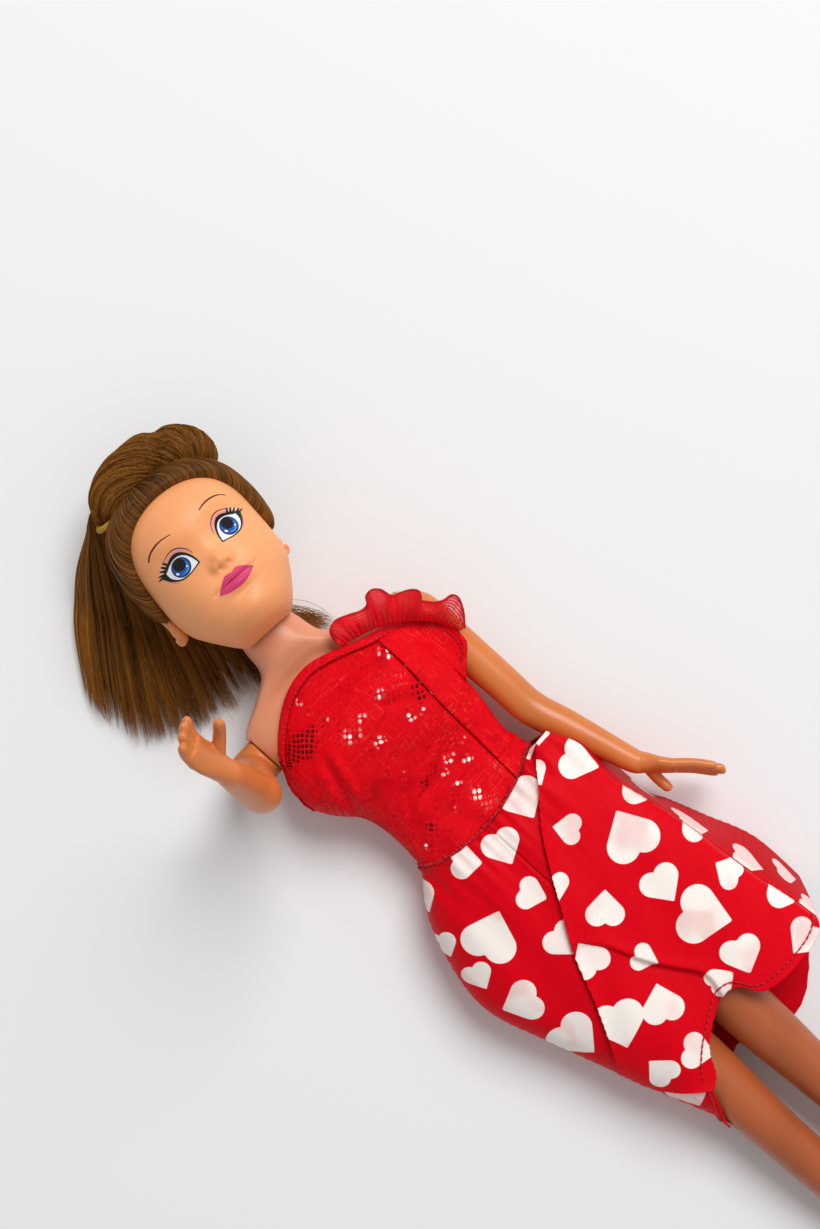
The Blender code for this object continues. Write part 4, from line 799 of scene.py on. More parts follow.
def hair_material(colours):
    """Hair on solid forms, read across and along by its UVs, with painted shade in the gaps between bundles."""
    found = bpy.data.materials.get("combed hair")
    if found:
        return found
    material, graph, shader = start_material("combed hair")
    shader.inputs["Specular IOR Level"].default_value = 0.12
    looks = use_group(graph, "strands", {"Dark": tone(colours.hair_dark, 0.7), "Light": tone(colours.hair_light, 0.62)})
    # Painted shade: where the mesh's gap value is high, between bundles of hair, the colour goes towards near black.
    gap = graph.mesh_value("gap")
    graph.feed(
        shader.inputs["Base Color"], graph.mix(graph.times(gap, 0.9), looks["Colour"], solid((0.010, 0.004, 0.001)))
    )
    graph.feed(shader.inputs["Roughness"], looks["Roughness"])
    bump(graph, shader, looks["Height"], 0.00012, 0.8)
    return material


def strand_material(colours):
    """Single hairs: the UV holds a shade for each and the share along it."""
    found = bpy.data.materials.get("single hairs")
    if found:
        return found
    material, graph, shader = start_material("single hairs")
    shader.inputs["Specular IOR Level"].default_value = 0.20
    shader.inputs["Specular Tint"].default_value = (1.0, 0.80, 0.50, 1.0)
    parts = graph.add("SeparateXYZ", {0: graph.cloth_place()})
    along = graph.noise(graph.scaled(graph.cloth_place(), 40.0, 3.0), 1.0, 2.0, "2D")
    share = graph.line(along, 0.35, graph.sum("SUBTRACT", parts.outputs["X"], 0.16), clamp=True)
    graph.feed(shader.inputs["Base Color"], graph.mix(share, solid(colours.hair_dark), solid(colours.hair_light)))
    graph.feed(shader.inputs["Roughness"], graph.line(along, 0.2, 0.28))
    return material


def paint_material(name, colour, roughness):
    """Opaque printed paint, with a slight unevenness."""
    material, graph, shader = start_material(name)
    where = graph.doll_place()
    uneven = graph.noise(where, 1400.0, 3.0)
    graph.feed(shader.inputs["Base Color"], graph.mix(graph.times(uneven, 0.24), solid(colour), tone(colour, 0.72)))
    graph.feed(shader.inputs["Roughness"], graph.line(uneven, 0.2, roughness - 0.1))
    return material


def bodice_material(colours, sizes):
    """Red net knit with foil dots, with painted dark reflections in some and painted glints in others."""
    found = bpy.data.materials.get("glitter knit")
    if found:
        return found
    material, graph, shader = start_material("glitter knit")
    shader.inputs["Specular IOR Level"].default_value = 0.05
    plain = graph.mesh_value("plain")
    weave = use_group(graph, "weave", {"Threads": 2.1})
    dots = use_group(graph, "glitter", {"Pitch": sizes.dot_pitch})
    # Painted glints and painted dark reflections in the foil dots, placed by values on the mesh.
    glint = graph.mesh_value("glint")
    dark_reflection_mask = graph.mesh_value("dark_foil")
    ground = graph.mix(weave["Threads"], tone(colours.red, 0.70), tone(colours.red, 1.08))
    ground = graph.mix(graph.times(weave["Uneven"], 0.30), ground, solid((1.0, 0.010, 0.012)))
    where = graph.doll_place()
    warp = graph.noise(graph.scaled(where, 3200.0, 160.0, 900.0), 1.0, 1.0)
    weft = graph.noise(graph.scaled(where, 160.0, 3200.0, 900.0), 1.0, 1.0)
    hatch = graph.step(graph.sum("MAXIMUM", warp, weft), 0.60, 0.74)
    patch = graph.step(graph.noise(where, 130.0, 2.0), 0.42, 0.60)
    ground = graph.mix(graph.times(hatch, graph.line(patch, 0.35, 0.12)), ground, solid((1.0, 0.085, 0.05)))
    ground = graph.mix(
        graph.times(graph.step(graph.noise(where, 210.0, 3.0), 0.50, 0.72), 0.45), ground, tone(colours.red, 0.62)
    )
    shown = graph.rest(graph.times(plain, 0.9))
    shown = graph.times(dots["Dots"], graph.times(shown, graph.line(graph.step(dots["Drift"], 0.38, 0.60), 0.75, 0.25)))
    shown = graph.sum("MAXIMUM", shown, graph.times(dots["Dots"], graph.sum("MAXIMUM", glint, dark_reflection_mask)))
    # Painted light: white glints and softer pink ones in the dots, and painted dark reflections.
    flash = graph.times(graph.step(dots["Chance"], 0.50, 0.56), glint)
    soft = graph.times(graph.step(dots["Chance"], 0.25, 0.50), glint)
    dark = graph.times(graph.step(dots["Chance"], 0.02, 0.06), dark_reflection_mask)
    foil = graph.mix(graph.step(dots["Chance"], 0.1, 0.6), tone(colours.red, 0.74), tone(colours.red, 1.0))
    foil = graph.mix(dark, foil, tone(colours.red, 0.13))
    foil = graph.mix(graph.times(soft, 0.35), foil, solid((1.0, 0.30, 0.24)))
    foil = graph.mix(flash, foil, solid((1.0, 0.88, 0.84)))
    graph.feed(shader.inputs["Base Color"], graph.mix(shown, ground, foil))
    graph.feed(shader.inputs["Roughness"], graph.sum("SUBTRACT", 0.66, graph.times(shown, 0.34)))
    graph.feed(shader.inputs["Coat Weight"], graph.times(shown, 0.10))
    height = graph.line(graph.times(dots["Tilt"], dots["Dots"]), 2.0, graph.times(weave["Height"], 0.5))
    bump(graph, shader, height, 0.00014, 0.9)
    return material


def satin_material(colours):
    """Red satin with printed hearts, whose signed distance is a value on the mesh."""
    found = bpy.data.materials.get("heart satin")
    if found:
        return found
    material, graph, shader = start_material("heart satin")
    shader.inputs["Specular IOR Level"].default_value = 0.06
    place = graph.doll_place()
    # Painted red bounce light: loose patches where the printed hearts turn pink.
    bounce_patches = graph.step(graph.noise(place, 95.0, 1.5), 0.46, 0.66)
    shade = graph.mesh_value("fold_shade")
    distance = graph.mesh_value("heart_distance")
    inside = graph.rest(graph.step(distance, -0.10, 0.10))
    weave = use_group(graph, "weave", {"Threads": 4.2})
    red = graph.mix(graph.times(weave["Uneven"], 0.5), tone(colours.red, 1.0), tone(colours.red, 0.78))
    white = graph.mix(graph.times(weave["Uneven"], 0.3), solid(colours.heart), solid((0.95, 0.84, 0.80)))
    # Painted light and shade: hearts turn pink with the bounce patches and the fold shade, and the red darkens with the
    # fold shade.
    pink = graph.sum("MAXIMUM", graph.times(bounce_patches, 0.55), graph.times(shade, 0.85))
    white = graph.mix(pink, white, solid((0.90, 0.50, 0.48)))
    red = graph.mix(graph.times(shade, 0.6), red, tone(colours.red, 0.45))
    tint = graph.mix(inside, red, white)
    behind = graph.add("NewGeometry").outputs["Backfacing"]
    wrong_side = graph.mix(0.35, tint, tone(colours.red, 0.7))
    graph.feed(shader.inputs["Base Color"], graph.mix(behind, tint, wrong_side))
    graph.feed(shader.inputs["Roughness"], graph.line(weave["Threads"], 0.14, 0.40))
    bump(graph, shader, weave["Height"], 0.00002, 0.6)
    return material


def net_material(colours):
    """Sheer red net: open between its threads."""
    found = bpy.data.materials.get("ruffle net")
    if found:
        return found
    material, graph, shader = start_material("ruffle net", Roughness=0.55)
    weave = use_group(graph, "weave", {"Threads": 1.35})
    edge = graph.mesh_value("close_weave")
    hole = graph.step(weave["Holes"], 0.22, 0.34)
    shader.inputs["Specular IOR Level"].default_value = 0.12
    open_share = graph.times(hole, graph.rest(edge))
    graph.feed(shader.inputs["Alpha"], graph.rest(graph.times(open_share, 0.85)))
    tint = graph.mix(
        weave["Uneven"], tone(colours.red, 0.85), solid(tuple(min(1, c * 1.1 + 0.01) for c in colours.red))
    )
    graph.feed(shader.inputs["Base Color"], tint)
    graph.feed(shader.inputs["Roughness"], graph.line(weave["Threads"], 0.2, 0.4))
    bump(graph, shader, weave["Height"], 0.00008, 0.7)
    return material


def thread_material(colours):
    """Twisted sewing thread and turned hems of the same red."""
    found = bpy.data.materials.get("red thread")
    if found:
        return found
    material, graph, shader = start_material("red thread")
    weave = use_group(graph, "weave", {"Threads": 3.0})
    graph.feed(shader.inputs["Base Color"], graph.mix(weave["Uneven"], tone(colours.red, 0.55), solid(colours.red)))
    graph.feed(shader.inputs["Roughness"], graph.line(weave["Uneven"], 0.3, 0.5))
    bump(graph, shader, weave["Height"], 0.00012, 0.9)
    return material


def elastic_material(colours):
    found = bpy.data.materials.get("hair elastic")
    if found:
        return found
    material, graph, shader = start_material("hair elastic")
    where = graph.cloth_place()
    ridge = graph.sum("SINE", graph.times(graph.add("SeparateXYZ", {0: where}).outputs["Y"], 14.0))
    uneven = graph.noise(where, 1.4, 3.0, "2D")
    graph.feed(shader.inputs["Base Color"], graph.mix(uneven, tone(colours.elastic, 0.6), solid(colours.elastic)))
    graph.feed(shader.inputs["Roughness"], graph.line(uneven, 0.2, 0.45))
    bump(graph, shader, ridge, 0.00006, 0.8)
    return material


def dress(piece, material, body, *nodes, slot=None):
    """Gives a piece its material, its body and the CAD nodes that it stands for."""
    piece.data.materials.clear()
    piece.data.materials.append(material)
    if body:
        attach(piece, body)
    if nodes:
        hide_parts(*nodes)
    return piece


# Head


def head_pivot():
    return Vector((UPPER_LEAN, NECK_TOP_Y, NECK_Z))


def head_matrix():
    turn = Matrix.Rotation(HEAD_TURN, 4, "Y")
    lean = Matrix.Rotation(-HEAD_LEAN, 4, "Z")
    return Matrix.Translation(head_pivot()) @ lean @ turn


def head_rows():
    """(share of the height, share of the half width, back share, front share) from the jaw to the crown."""
    return [
        (-0.012, 0.41, 0.10, 0.52),
        (0.010, 0.475, 0.34, 0.70),
        (0.045, 0.565, 0.52, 0.83),
        (0.110, 0.70, 0.70, 0.93),
        (0.175, 0.82, 0.80, 0.96),
        (0.250, 0.93, 0.87, 0.975),
        (0.360, 0.98, 0.94, 0.985),
        (0.540, 1.000, 1.00, 0.99),
        (0.680, 1.000, 1.00, 1.02),
        (0.810, 0.925, 0.90, 0.95),
        (0.915, 0.720, 0.60, 0.76),
        (0.975, 0.430, 0.14, 0.50),
        (1.000, 0.150, -0.16, 0.27),
    ]


def face_lift(x, y):
    """How far the face stands out at a point of its front, all in millimetres."""
    lift = 2.4 * bell(x, y, 0, 18.8, 2.0, 2.0) + 0.45 * bell(x, y, 0, 22.4, 2.2, 3.6)
    lift -= 0.25 * bell(x, y, 0, 16.1, 0.9, 1.0)
    lift += 1.0 * bell(x, y, 0, 14.3, 4.2, 1.05) + 1.15 * bell(x, y, 0, 12.0, 3.6, 1.15)
    lift -= 0.75 * bell(x, y, 0, 13.25, 5.0, 0.30)
    lift -= 0.45 * bell(x, y, 0, 9.6, 3.4, 1.0)
    lift += 0.9 * bell(x, y, 0, 5.2, 5.2, 3.6)
    for side in (-1, 1):
        lift += 0.95 * bell(x, y, side * 2.2, 18.1, 1.10, 1.15)
        lift -= 0.8 * bell(x, y, side * 1.2, 17.1, 0.55, 0.42)
        lift -= 0.15 * bell(x, y, side * 5.9, 12.9, 1.0, 1.0)
        lift += 0.9 * bell(x, y, side * 8.5, 14.8, 5.0, 5.0)
        lift -= 1.3 * bell(x, y, side * 7.8, 24.6, 5.0, 3.9)
        lift += 0.75 * bell(x, y, side * 7.6, 23.8, 3.6, 2.4)
        lift += 0.35 * bell(x, y, side * 8.6, 30.6, 4.2, 1.4)
    return lift


def head_rings(grow, count, steps, face):
    """The head's rings in its own frame, grown outwards, with or without the face's forms."""
    rings = []
    middle_z = (FACE_FRONT - SKULL_BACK) / 2
    for share, wide, back, front in smooth_rows(head_rows(), steps):
        height = share * HEAD_HEIGHT
        centre = HEAD_HEIGHT * 0.55
        y = centre + (height - centre) * (1 + grow / centre)
        ring = flat_ring(0, y, wide * HEAD_HALF + grow, -SKULL_BACK * back - grow, FACE_FRONT * front + grow, count)
        for point in ring:
            if face and point.z > middle_z:
                ahead = min(1, (point.z - middle_z) / (FACE_FRONT - middle_z) * 1.6)
                point.z += face_lift(point.x / MM, point.y / MM) * MM * ahead
        rings.append(ring)
    return rings


def ball_mesh(name, centre, sizes, segments):
    rings = []
    for i in range(1, segments // 2):
        angle = math.pi * i / (segments // 2)
        ring = []
        for j in range(segments):
            around = 2 * math.pi * j / segments
            ring.append(
                Vector((math.cos(around) * math.sin(angle), math.sin(around) * math.sin(angle), math.cos(angle)))
            )
        rings.append(ring)
    mesh = ring_mesh(name, rings)
    mesh.transform(Matrix.Translation(centre) @ Matrix.Diagonal((*sizes, 1)))
    return mesh


def to_head(piece):
    """Moves a shape from the head's own frame to its place on the doll."""
    piece.data.transform(head_matrix())
    piece.data.update()
    return piece


def ear_mesh(sign):
    """One ear: a shell with a rolled rim and a lobe."""
    turn = Matrix.Rotation(math.radians(12), 4, "X") @ Matrix.Rotation(sign * math.radians(16), 4, "Y")
    centre = Vector((sign * HEAD_HALF * (0.985 if sign < 0 else 0.93), EAR_Y, EAR_Z))
    shell = ball_mesh("ear_shell", (0, 0, 0), (EAR_THICKNESS * 0.34, EAR_HEIGHT * 0.44, EAR_DEPTH * 0.42), 20)
    rim = []
    for i in range(19):
        angle = math.radians(-150 + 250 * i / 18)
        high = EAR_HEIGHT * 0.43 * math.sin(angle) + EAR_HEIGHT * 0.04
        rim.append(Vector((sign * EAR_THICKNESS * 0.42, high, -EAR_DEPTH * 0.40 * math.cos(angle))))
    radii = [EAR_THICKNESS * 0.20 * (0.7 + 0.3 * math.sin(math.pi * i / 18)) for i in range(19)]
    edge = ring_mesh("ear_rim", tube_rings(rim, radii, 10))
    lobe = ball_mesh(
        "ear_lobe", (sign * EAR_THICKNESS * 0.26, -EAR_HEIGHT * 0.36, EAR_DEPTH * 0.10), (EAR_THICKNESS * 0.28,) * 3, 16
    )
    fold = ball_mesh(
        "ear_fold",
        (sign * EAR_THICKNESS * 0.30, 0, EAR_DEPTH * 0.26),
        (EAR_THICKNESS * 0.16, EAR_HEIGHT * 0.13, EAR_DEPTH * 0.12),
        14,
    )
    ear = join_meshes("ear", [shell, edge, lobe, fold])
    melt_together(ear, 0.00022, 4)
    ear.data.transform(Matrix.Translation(centre) @ turn)
    return ear


class Make_head(Operator):
    """Moulds the soft head with its face and ears"""

    bl_idname = "doll.make_head"
    bl_label = "Head"

    def execute(self, context):
        colours = context.scene.doll_colours
        head = new_piece("head_skin", ring_mesh("head_skin", head_rings(0, 300, 22, True)))
        cut_with(head, ball_mesh("neck_socket", (0, 0, 0), (NECK_SOCKET,) * 3, 48))
        dress(to_head(head), face_material(colours), "head", "head_shell", slot="head_vinyl")
        for sign, side in ((1, "left"), (-1, "right")):
            ear = ear_mesh(sign)
            ear.name = "ear_" + side
            dress(to_head(ear), face_material(colours), "head")
        return {"FINISHED"}


class FaceCanvas:
    """Lays flat painted shapes, given in millimetres of the head's own frame, onto the moulded face."""

    def __init__(self):
        mesh = ring_mesh("face_guide", head_rings(0, 300, 22, True))
        self.tree = BVHTree.FromPolygons([v.co for v in mesh.vertices], [tuple(p.vertices) for p in mesh.polygons])
        bpy.data.meshes.remove(mesh)

    def onto(self, x, y, lift):
        spot, normal, _, _ = self.tree.ray_cast(Vector((x * MM, y * MM, 0.06)), Vector((0, 0, -1)))
        if spot is None:
            raise RuntimeError(f"the paint at {x}, {y} mm misses the face")
        return spot + normal * (lift if normal.z > 0 else -lift)

    def shape(self, outline, lift, spacing=0.28):
        """A closed outline filled with a fine net of faces that follows the face."""
        dense = []
        for i, (x, y) in enumerate(outline):
            after = outline[(i + 1) % len(outline)]
            steps = max(1, int(math.dist((x, y), after) / spacing))
            dense += [Vector((lerp(x, after[0], k / steps), lerp(y, after[1], k / steps))) for k in range(steps)]
        count = len(dense)
        edges = [(i, (i + 1) % count) for i in range(count)]
        low = [min(p[k] for p in dense) for k in (0, 1)]
        high = [max(p[k] for p in dense) for k in (0, 1)]
        inner = []
        for i in range(1, int((high[0] - low[0]) / spacing) + 1):
            for j in range(1, int((high[1] - low[1]) / spacing) + 1):
                inner.append(Vector((low[0] + i * spacing, low[1] + j * spacing)))
        made = delaunay_2d_cdt(dense + inner, edges, [], 1, 1e-5)
        points = [self.onto(p[0], p[1], lift) for p in made[0]]
        used = sorted({i for face in made[2] for i in face})
        number = {old: new for new, old in enumerate(used)}
        faces = [tuple(number[i] for i in face) for face in made[2]]
        return mesh_of("paint", [points[i] for i in used], faces)

    def stroke(self, line, widths, lift):
        """A tapering painted line. Widths holds (start, middle, end) in millimetres."""
        path = smooth_rows(list(line), 6)
        left = []
        right = []
        for i, (x, y) in enumerate(path):
            share = i / (len(path) - 1)
            wide = lerp(widths[0], widths[1], share * 2) if share < 0.5 else lerp(widths[1], widths[2], share * 2 - 1)
            a, b = path[max(i - 1, 0)], path[min(i + 1, len(path) - 1)]
            size = math.dist(a, b) or 1
            nx, ny = -(b[1] - a[1]) / size * wide / 2, (b[0] - a[0]) / size * wide / 2
            left.append((x + nx, y + ny))
            right.append((x - nx, y - ny))
        return self.shape(left + right[::-1], lift)

    def disc(self, centre, radius, lift, squash=1.0):
        outline = []
        for step in range(40):
            angle = 2 * math.pi * step / 40
            outline.append((centre[0] + radius * math.cos(angle), centre[1] + radius * squash * math.sin(angle)))
        return self.shape(outline, lift)


def mirrored(outline, side):
    """The outline for one eye, kept in the same turning sense."""
    return list(outline) if side > 0 else [(-x, y) for x, y in reversed(outline)]


def other_side(point, side):
    return (point[0] * side, point[1])


class Paint_face(Operator):
    """Paints eyes, lashes, brows and lips on the face"""

    bl_idname = "doll.paint_face"
    bl_label = "Painted face"

    def execute(self, context):
        colours = context.scene.doll_colours
        canvas = FaceCanvas()
        layer = PAINT_LAYER
        paints = {
            key: []
            for key in (
                "lid", "black", "white", "rim", "iris", "ring", "pupil", "glint", "brow", "pink", "lips", "parting"
            )
        }
        for side in (-1, 1):
            opening = smooth_rows(EYE_OPENING, 5) + smooth_rows(EYE_LOWER, 5)[1:-1]
            white = smooth_rows(WHITE_UPPER, 5) + smooth_rows(WHITE_LOWER, 5)[1:-1]
            paints["lid"].append(canvas.stroke(mirrored(LID_BAND, side), (0.22, 0.40, 0.22), layer))
            paints["black"].append(canvas.shape(mirrored(opening, side), 2 * layer))
            paints["white"].append(canvas.shape(mirrored(white, side), 3 * layer))
            iris = other_side(IRIS_CENTRE, side)
            paints["rim"].append(canvas.disc(iris, IRIS_RADIUS, 4 * layer))
            paints["iris"].append(canvas.disc(iris, IRIS_RADIUS - IRIS_RIM, 5 * layer))
            arc = [
                (iris[0] + 1.62 * math.cos(a), iris[1] + 1.62 * math.sin(a))
                for a in np.radians(np.linspace(-125, 10, 9))
            ]
            paints["ring"].append(canvas.stroke(arc, (0.1, 0.55, 0.1), 6 * layer))
            paints["pupil"].append(canvas.disc(other_side(PUPIL_CENTRE, side), PUPIL_RADIUS, 7 * layer))
            shade_line = [(x, y - 0.30) for x, y in reversed(smooth_rows(WHITE_UPPER, 5))]
            cover = smooth_rows(EYE_OPENING, 5) + shade_line[2:-3]
            paints["pupil"].append(canvas.shape(mirrored(cover, side), 8 * layer))
            paints["glint"].append(
                canvas.stroke(
                    [(iris[0] - 1.75, iris[1] - 0.35), (iris[0] - 1.30, iris[1] - 0.95)], (0.34, 0.46, 0.30), 9 * layer
                )
            )
            paints["glint"].append(canvas.disc((iris[0] + 1.15, iris[1] - 0.75), 0.20, 9 * layer))
            paints["brow"].append(canvas.stroke(mirrored(LID_LINE, side), (0.10, 0.26, 0.12), 2 * layer))
            for line in LASHES:
                ends = [other_side(p, side) for p in line]
                ends[1] = (lerp(ends[0][0], ends[1][0], 0.82), lerp(ends[0][1], ends[1][1], 0.82))
                paints["black"].append(canvas.stroke(ends, (0.62, 0.46, 0.16), 2.5 * layer))
            for line in LASH_GLINTS:
                ends = [other_side(p, side) for p in line]
                paints["glint"].append(canvas.stroke(ends, (0.06, 0.14, 0.06), 3.5 * layer))
            paints["pink"].append(canvas.stroke(mirrored(UNDER_LID, side), (0.1, 0.3, 0.1), layer))
            paints["brow"].append(canvas.stroke(mirrored(BROW, side), (0.40, 0.46, 0.16), layer))
        lips = smooth_rows(LIP_UPPER, 4) + smooth_rows(LIP_LOWER, 4)[1:-1]
        paints["lips"].append(canvas.shape(lips, layer))
        paints["parting"].append(canvas.stroke(LIP_PARTING, (0.08, 0.22, 0.08), 2 * layer))
        looks = {
            "lid": ("lid paint", colours.lid, 0.4),
            "black": ("black paint", (0.004, 0.003, 0.004), 0.25),
            "white": ("eye white", (0.90, 0.90, 0.92), 0.25),
            "rim": ("iris rim", (0.003, 0.006, 0.02), 0.25),
            "iris": ("iris paint", colours.iris, 0.25),
            "ring": ("iris light", (0.06, 0.30, 0.62), 0.25),
            "pupil": ("pupil paint", (0.004, 0.003, 0.004), 0.22),
            "glint": ("glint paint", (1.0, 1.0, 1.0), 0.25),
            "brow": ("brow paint", colours.brow, 0.45),
            "pink": ("lash line paint", (0.80, 0.25, 0.30), 0.45),
            "lips": ("lip paint", colours.lips, 0.62),
            "parting": ("lip line", shaded(colours.lips, 0.55), 0.60),
        }
        for key, meshes in paints.items():
            title, colour, roughness = looks[key]
            piece = join_meshes("face_" + key, meshes)
            dress(to_head(piece), paint_material(title, tuple(colour), roughness), "head")
        return {"FINISHED"}


# Hair

HAIRLINE = (
    (0, 38.5, 19), (8, 36.8, 18), (13, 31, 15), (15.6, 24, 11.4), (16, 18.5, 8.2), (16, 17.5, 2),
    (15, 13, -1), (10, 10.5, -5.5), (0, 9.5, -8.2),
)
HAIR_CORE = Vector((0, 24, 6)) * MM
HAIR_CROWN = Vector((-1, 44, 4)) * MM


class Scalp:
    """Follows the hair from the hairline over the head to the crown."""

    def __init__(self):
        half = [Vector(p) * MM for p in HAIRLINE]
        other = [Vector((-p.x, p.y, p.z)) for p in half[1:-1]]
        loop = half + other[::-1]
        four = [tuple(p) for p in (loop[-1:] + loop + loop[:2])]
        line = smooth_rows(four, 24)[24:-24]
        self.line = [Vector(p) for p in line]
        mesh = ring_mesh("scalp_guide", head_rings(0, 120, 6, True))
        self.tree = BVHTree.FromPolygons([v.co for v in mesh.vertices], [tuple(p.vertices) for p in mesh.polygons])
        bpy.data.meshes.remove(mesh)
        random = dice(11)
        edges = np.sort((np.arange(118) + random.uniform(0.15, 0.85, 118)) / 118)
        self.edges = np.concatenate(([0], edges, [1]))
        self.high = random.uniform(0.45, 1.0, 120)

    def hairline(self, around):
        place = (around % 1) * (len(self.line) - 1)
        low = int(place)
        return self.line[low].lerp(self.line[min(low + 1, len(self.line) - 1)], place - low)

    def bundle(self, around):
        """0 in a gap between two bundles of hair, up to 1 on top of one."""
        around = around % 1
        index = int(np.searchsorted(self.edges, around, side="right")) - 1
        index = min(index, len(self.edges) - 2)
        share = (around - self.edges[index]) / max(1e-6, self.edges[index + 1] - self.edges[index])
        return self.high[index] * math.sqrt(max(0, 4 * share * (1 - share)))

    def point(self, around, share, extra=0.0):
        start = (self.hairline(around) - HAIR_CORE).normalized()
        end = (HAIR_CROWN - HAIR_CORE).normalized()
        heading = start.slerp(end, min(1, max(0, share)))
        hit, _, _, _ = self.tree.ray_cast(HAIR_CORE, heading)
        reach = (hit - HAIR_CORE).length
        rise = min(1, share / 0.17)
        thick = HAIR_THICKNESS * (0.05 + 0.95 * math.sqrt(max(0, 1 - (1 - rise) ** 2)))
        relief = 0.00115 * (1 - min(1, share * 1.2) * 0.55) * rise
        thick += (self.bundle(around) - 0.9) * relief
        return HAIR_CORE + heading * (reach + thick + extra)


BUN_SHARES = (
    (-0.90, 0.890, 0.12, 0.50), (-0.84, 0.925, 0.15, 0.74), (-0.66, 0.972, 0.20, 0.90), (-0.30, 1.0, 0.23, 1.0),
    (0.08, 0.997, 0.24, 1.02), (0.46, 0.968, 0.24, 1.05), (0.78, 0.915, 0.23, 1.06), (0.93, 0.852, 0.21, 0.90),
    (0.98, 0.800, 0.20, 0.60), (0.98, 0.765, 0.19, 0.28),
)
BUN_TWIST = 5.2


class Bun:
    """The thick roll bent over the crown. Its hair runs along it at the band and more and more across it."""

    def __init__(self, count, steps, grow=0.0, bumps=0.0):
        self.rows = []
        dense = smooth_rows(list(BUN_SHARES), steps)
        path = []
        for along, rise, ahead, _ in dense:
            path.append(Vector((BUN_SHIFT + BUN_HALF_LENGTH * along, BUN_RISE * rise, FACE_FRONT * ahead)))
        for i, here in enumerate(path):
            share = i / (len(path) - 1)
            heading = (path[min(i + 1, len(path) - 1)] - path[max(i - 1, 0)]).normalized()
            ahead = (Vector((0, 0, 1)) - heading * heading.z).normalized()
            up = ahead.cross(heading)
            ring = []
            for j in range(count):
                column = 2 * math.pi * j / count
                angle = column + BUN_TWIST * share**1.5
                lump = math.sin(column * 11 + 3 * math.sin(column * 2)) * 0.5 + math.sin(column * 29 + 1.3) * 0.35
                fold = 0.16 * bell(share, 0, 0.50 + 0.06 * math.sin(angle + 0.8), 0, 0.030, 1)
                fold -= 0.05 * bell(share, 0, 0.43 + 0.06 * math.sin(angle + 0.8), 0, 0.045, 1)
                radius = BUN_RADIUS * dense[i][3] * (1 - fold) + grow + lump * bumps
                ring.append(here + (up * math.cos(angle) + ahead * math.sin(angle)) * radius)
            self.rows.append(ring)


def band_place():
    """The band's centre and the direction in which the hair leaves it, in the head's frame."""
    centre = Vector((BUN_SHIFT - BUN_HALF_LENGTH * 0.97, BUN_RISE * 0.885, FACE_FRONT * 0.21))
    return centre, Vector((-0.02, -0.95, -0.30)).normalized()


# Millimetres: five locks across the fan, each from the band to its tips, as they lie on the floor.
TAIL_LOCKS = (
    ((-10.6, 116.6), (-22.5, 113.0), (-33.0, 106.0), (-44.0, 92.5)),
    ((-9.7, 116.7), (-21.5, 107.5), (-32.5, 96.5), (-44.8, 82.0)),
    ((-8.6, 116.8), (-18.0, 102.0), (-28.5, 88.0), (-41.2, 71.5)),
    ((-7.3, 116.8), (-12.0, 98.0), (-17.0, 80.0), (-23.5, 62.5)),
    ((-6.0, 116.8), (-3.0, 96.0), (-2.0, 76.0), (-3.5, 57.0)),
)

# How far the loose tips may stray to the doll's right.
TAIL_REACH = -0.0462


def tail_table():
    along = [smooth_rows([tuple(v * MM for v in spot) for spot in lock], 11) for lock in TAIL_LOCKS]
    columns = [smooth_rows([tuple(lock[k]) for lock in along], 8) for k in range(len(along[0]))]
    return np.array(columns)


TAIL_TABLE = tail_table()


def tail_plan(across, along):
    """Where a share across and along the fan of loose hair lies on the floor."""
    centre, heading = band_place()
    root = head_matrix() @ (centre + heading * BAND_RADIUS * 0.25)
    rows, columns = TAIL_TABLE.shape[:2]
    place = min(rows - 1.001, max(0, along * (rows - 1)))
    column = min(columns - 1.001, max(0, across * (columns - 1)))
    i, j = int(place), int(column)
    a = TAIL_TABLE[i, j] * (1 - column + j) + TAIL_TABLE[i, j + 1] * (column - j)
    b = TAIL_TABLE[i + 1, j] * (1 - column + j) + TAIL_TABLE[i + 1, j + 1] * (column - j)
    spot = a + (b - a) * (along * (rows - 1) - i)
    side = (TAIL_TABLE[i, -1] - TAIL_TABLE[i, 0]) * (across - min(1, max(0, across)))
    return Vector((float(spot[0] + side[0]), float(spot[1] + side[1]))), root.z


def tail_point(across, along, layer):
    """A point in the loose hair: layer 0 is its underside, 1 its top."""
    place, root_z = tail_plan(across, along)
    edge = math.sqrt(max(0, 1 - (2 * across - 1) ** 2))
    down = max(0, along)
    thick = lerp(BAND_RADIUS * 1.6, lerp(TAIL_THICKNESS, TAIL_UNDER, across), min(1, down * 1.6))
    thick *= lerp(1, 0.55, down) * lerp(0.35, 1, edge)
    low = lerp(root_z - BAND_RADIUS * 0.8 * edge, 0, min(1, down * 1.9) ** 0.8)
    return Vector((place.x, place.y, max(0.0001, low + thick * layer)))


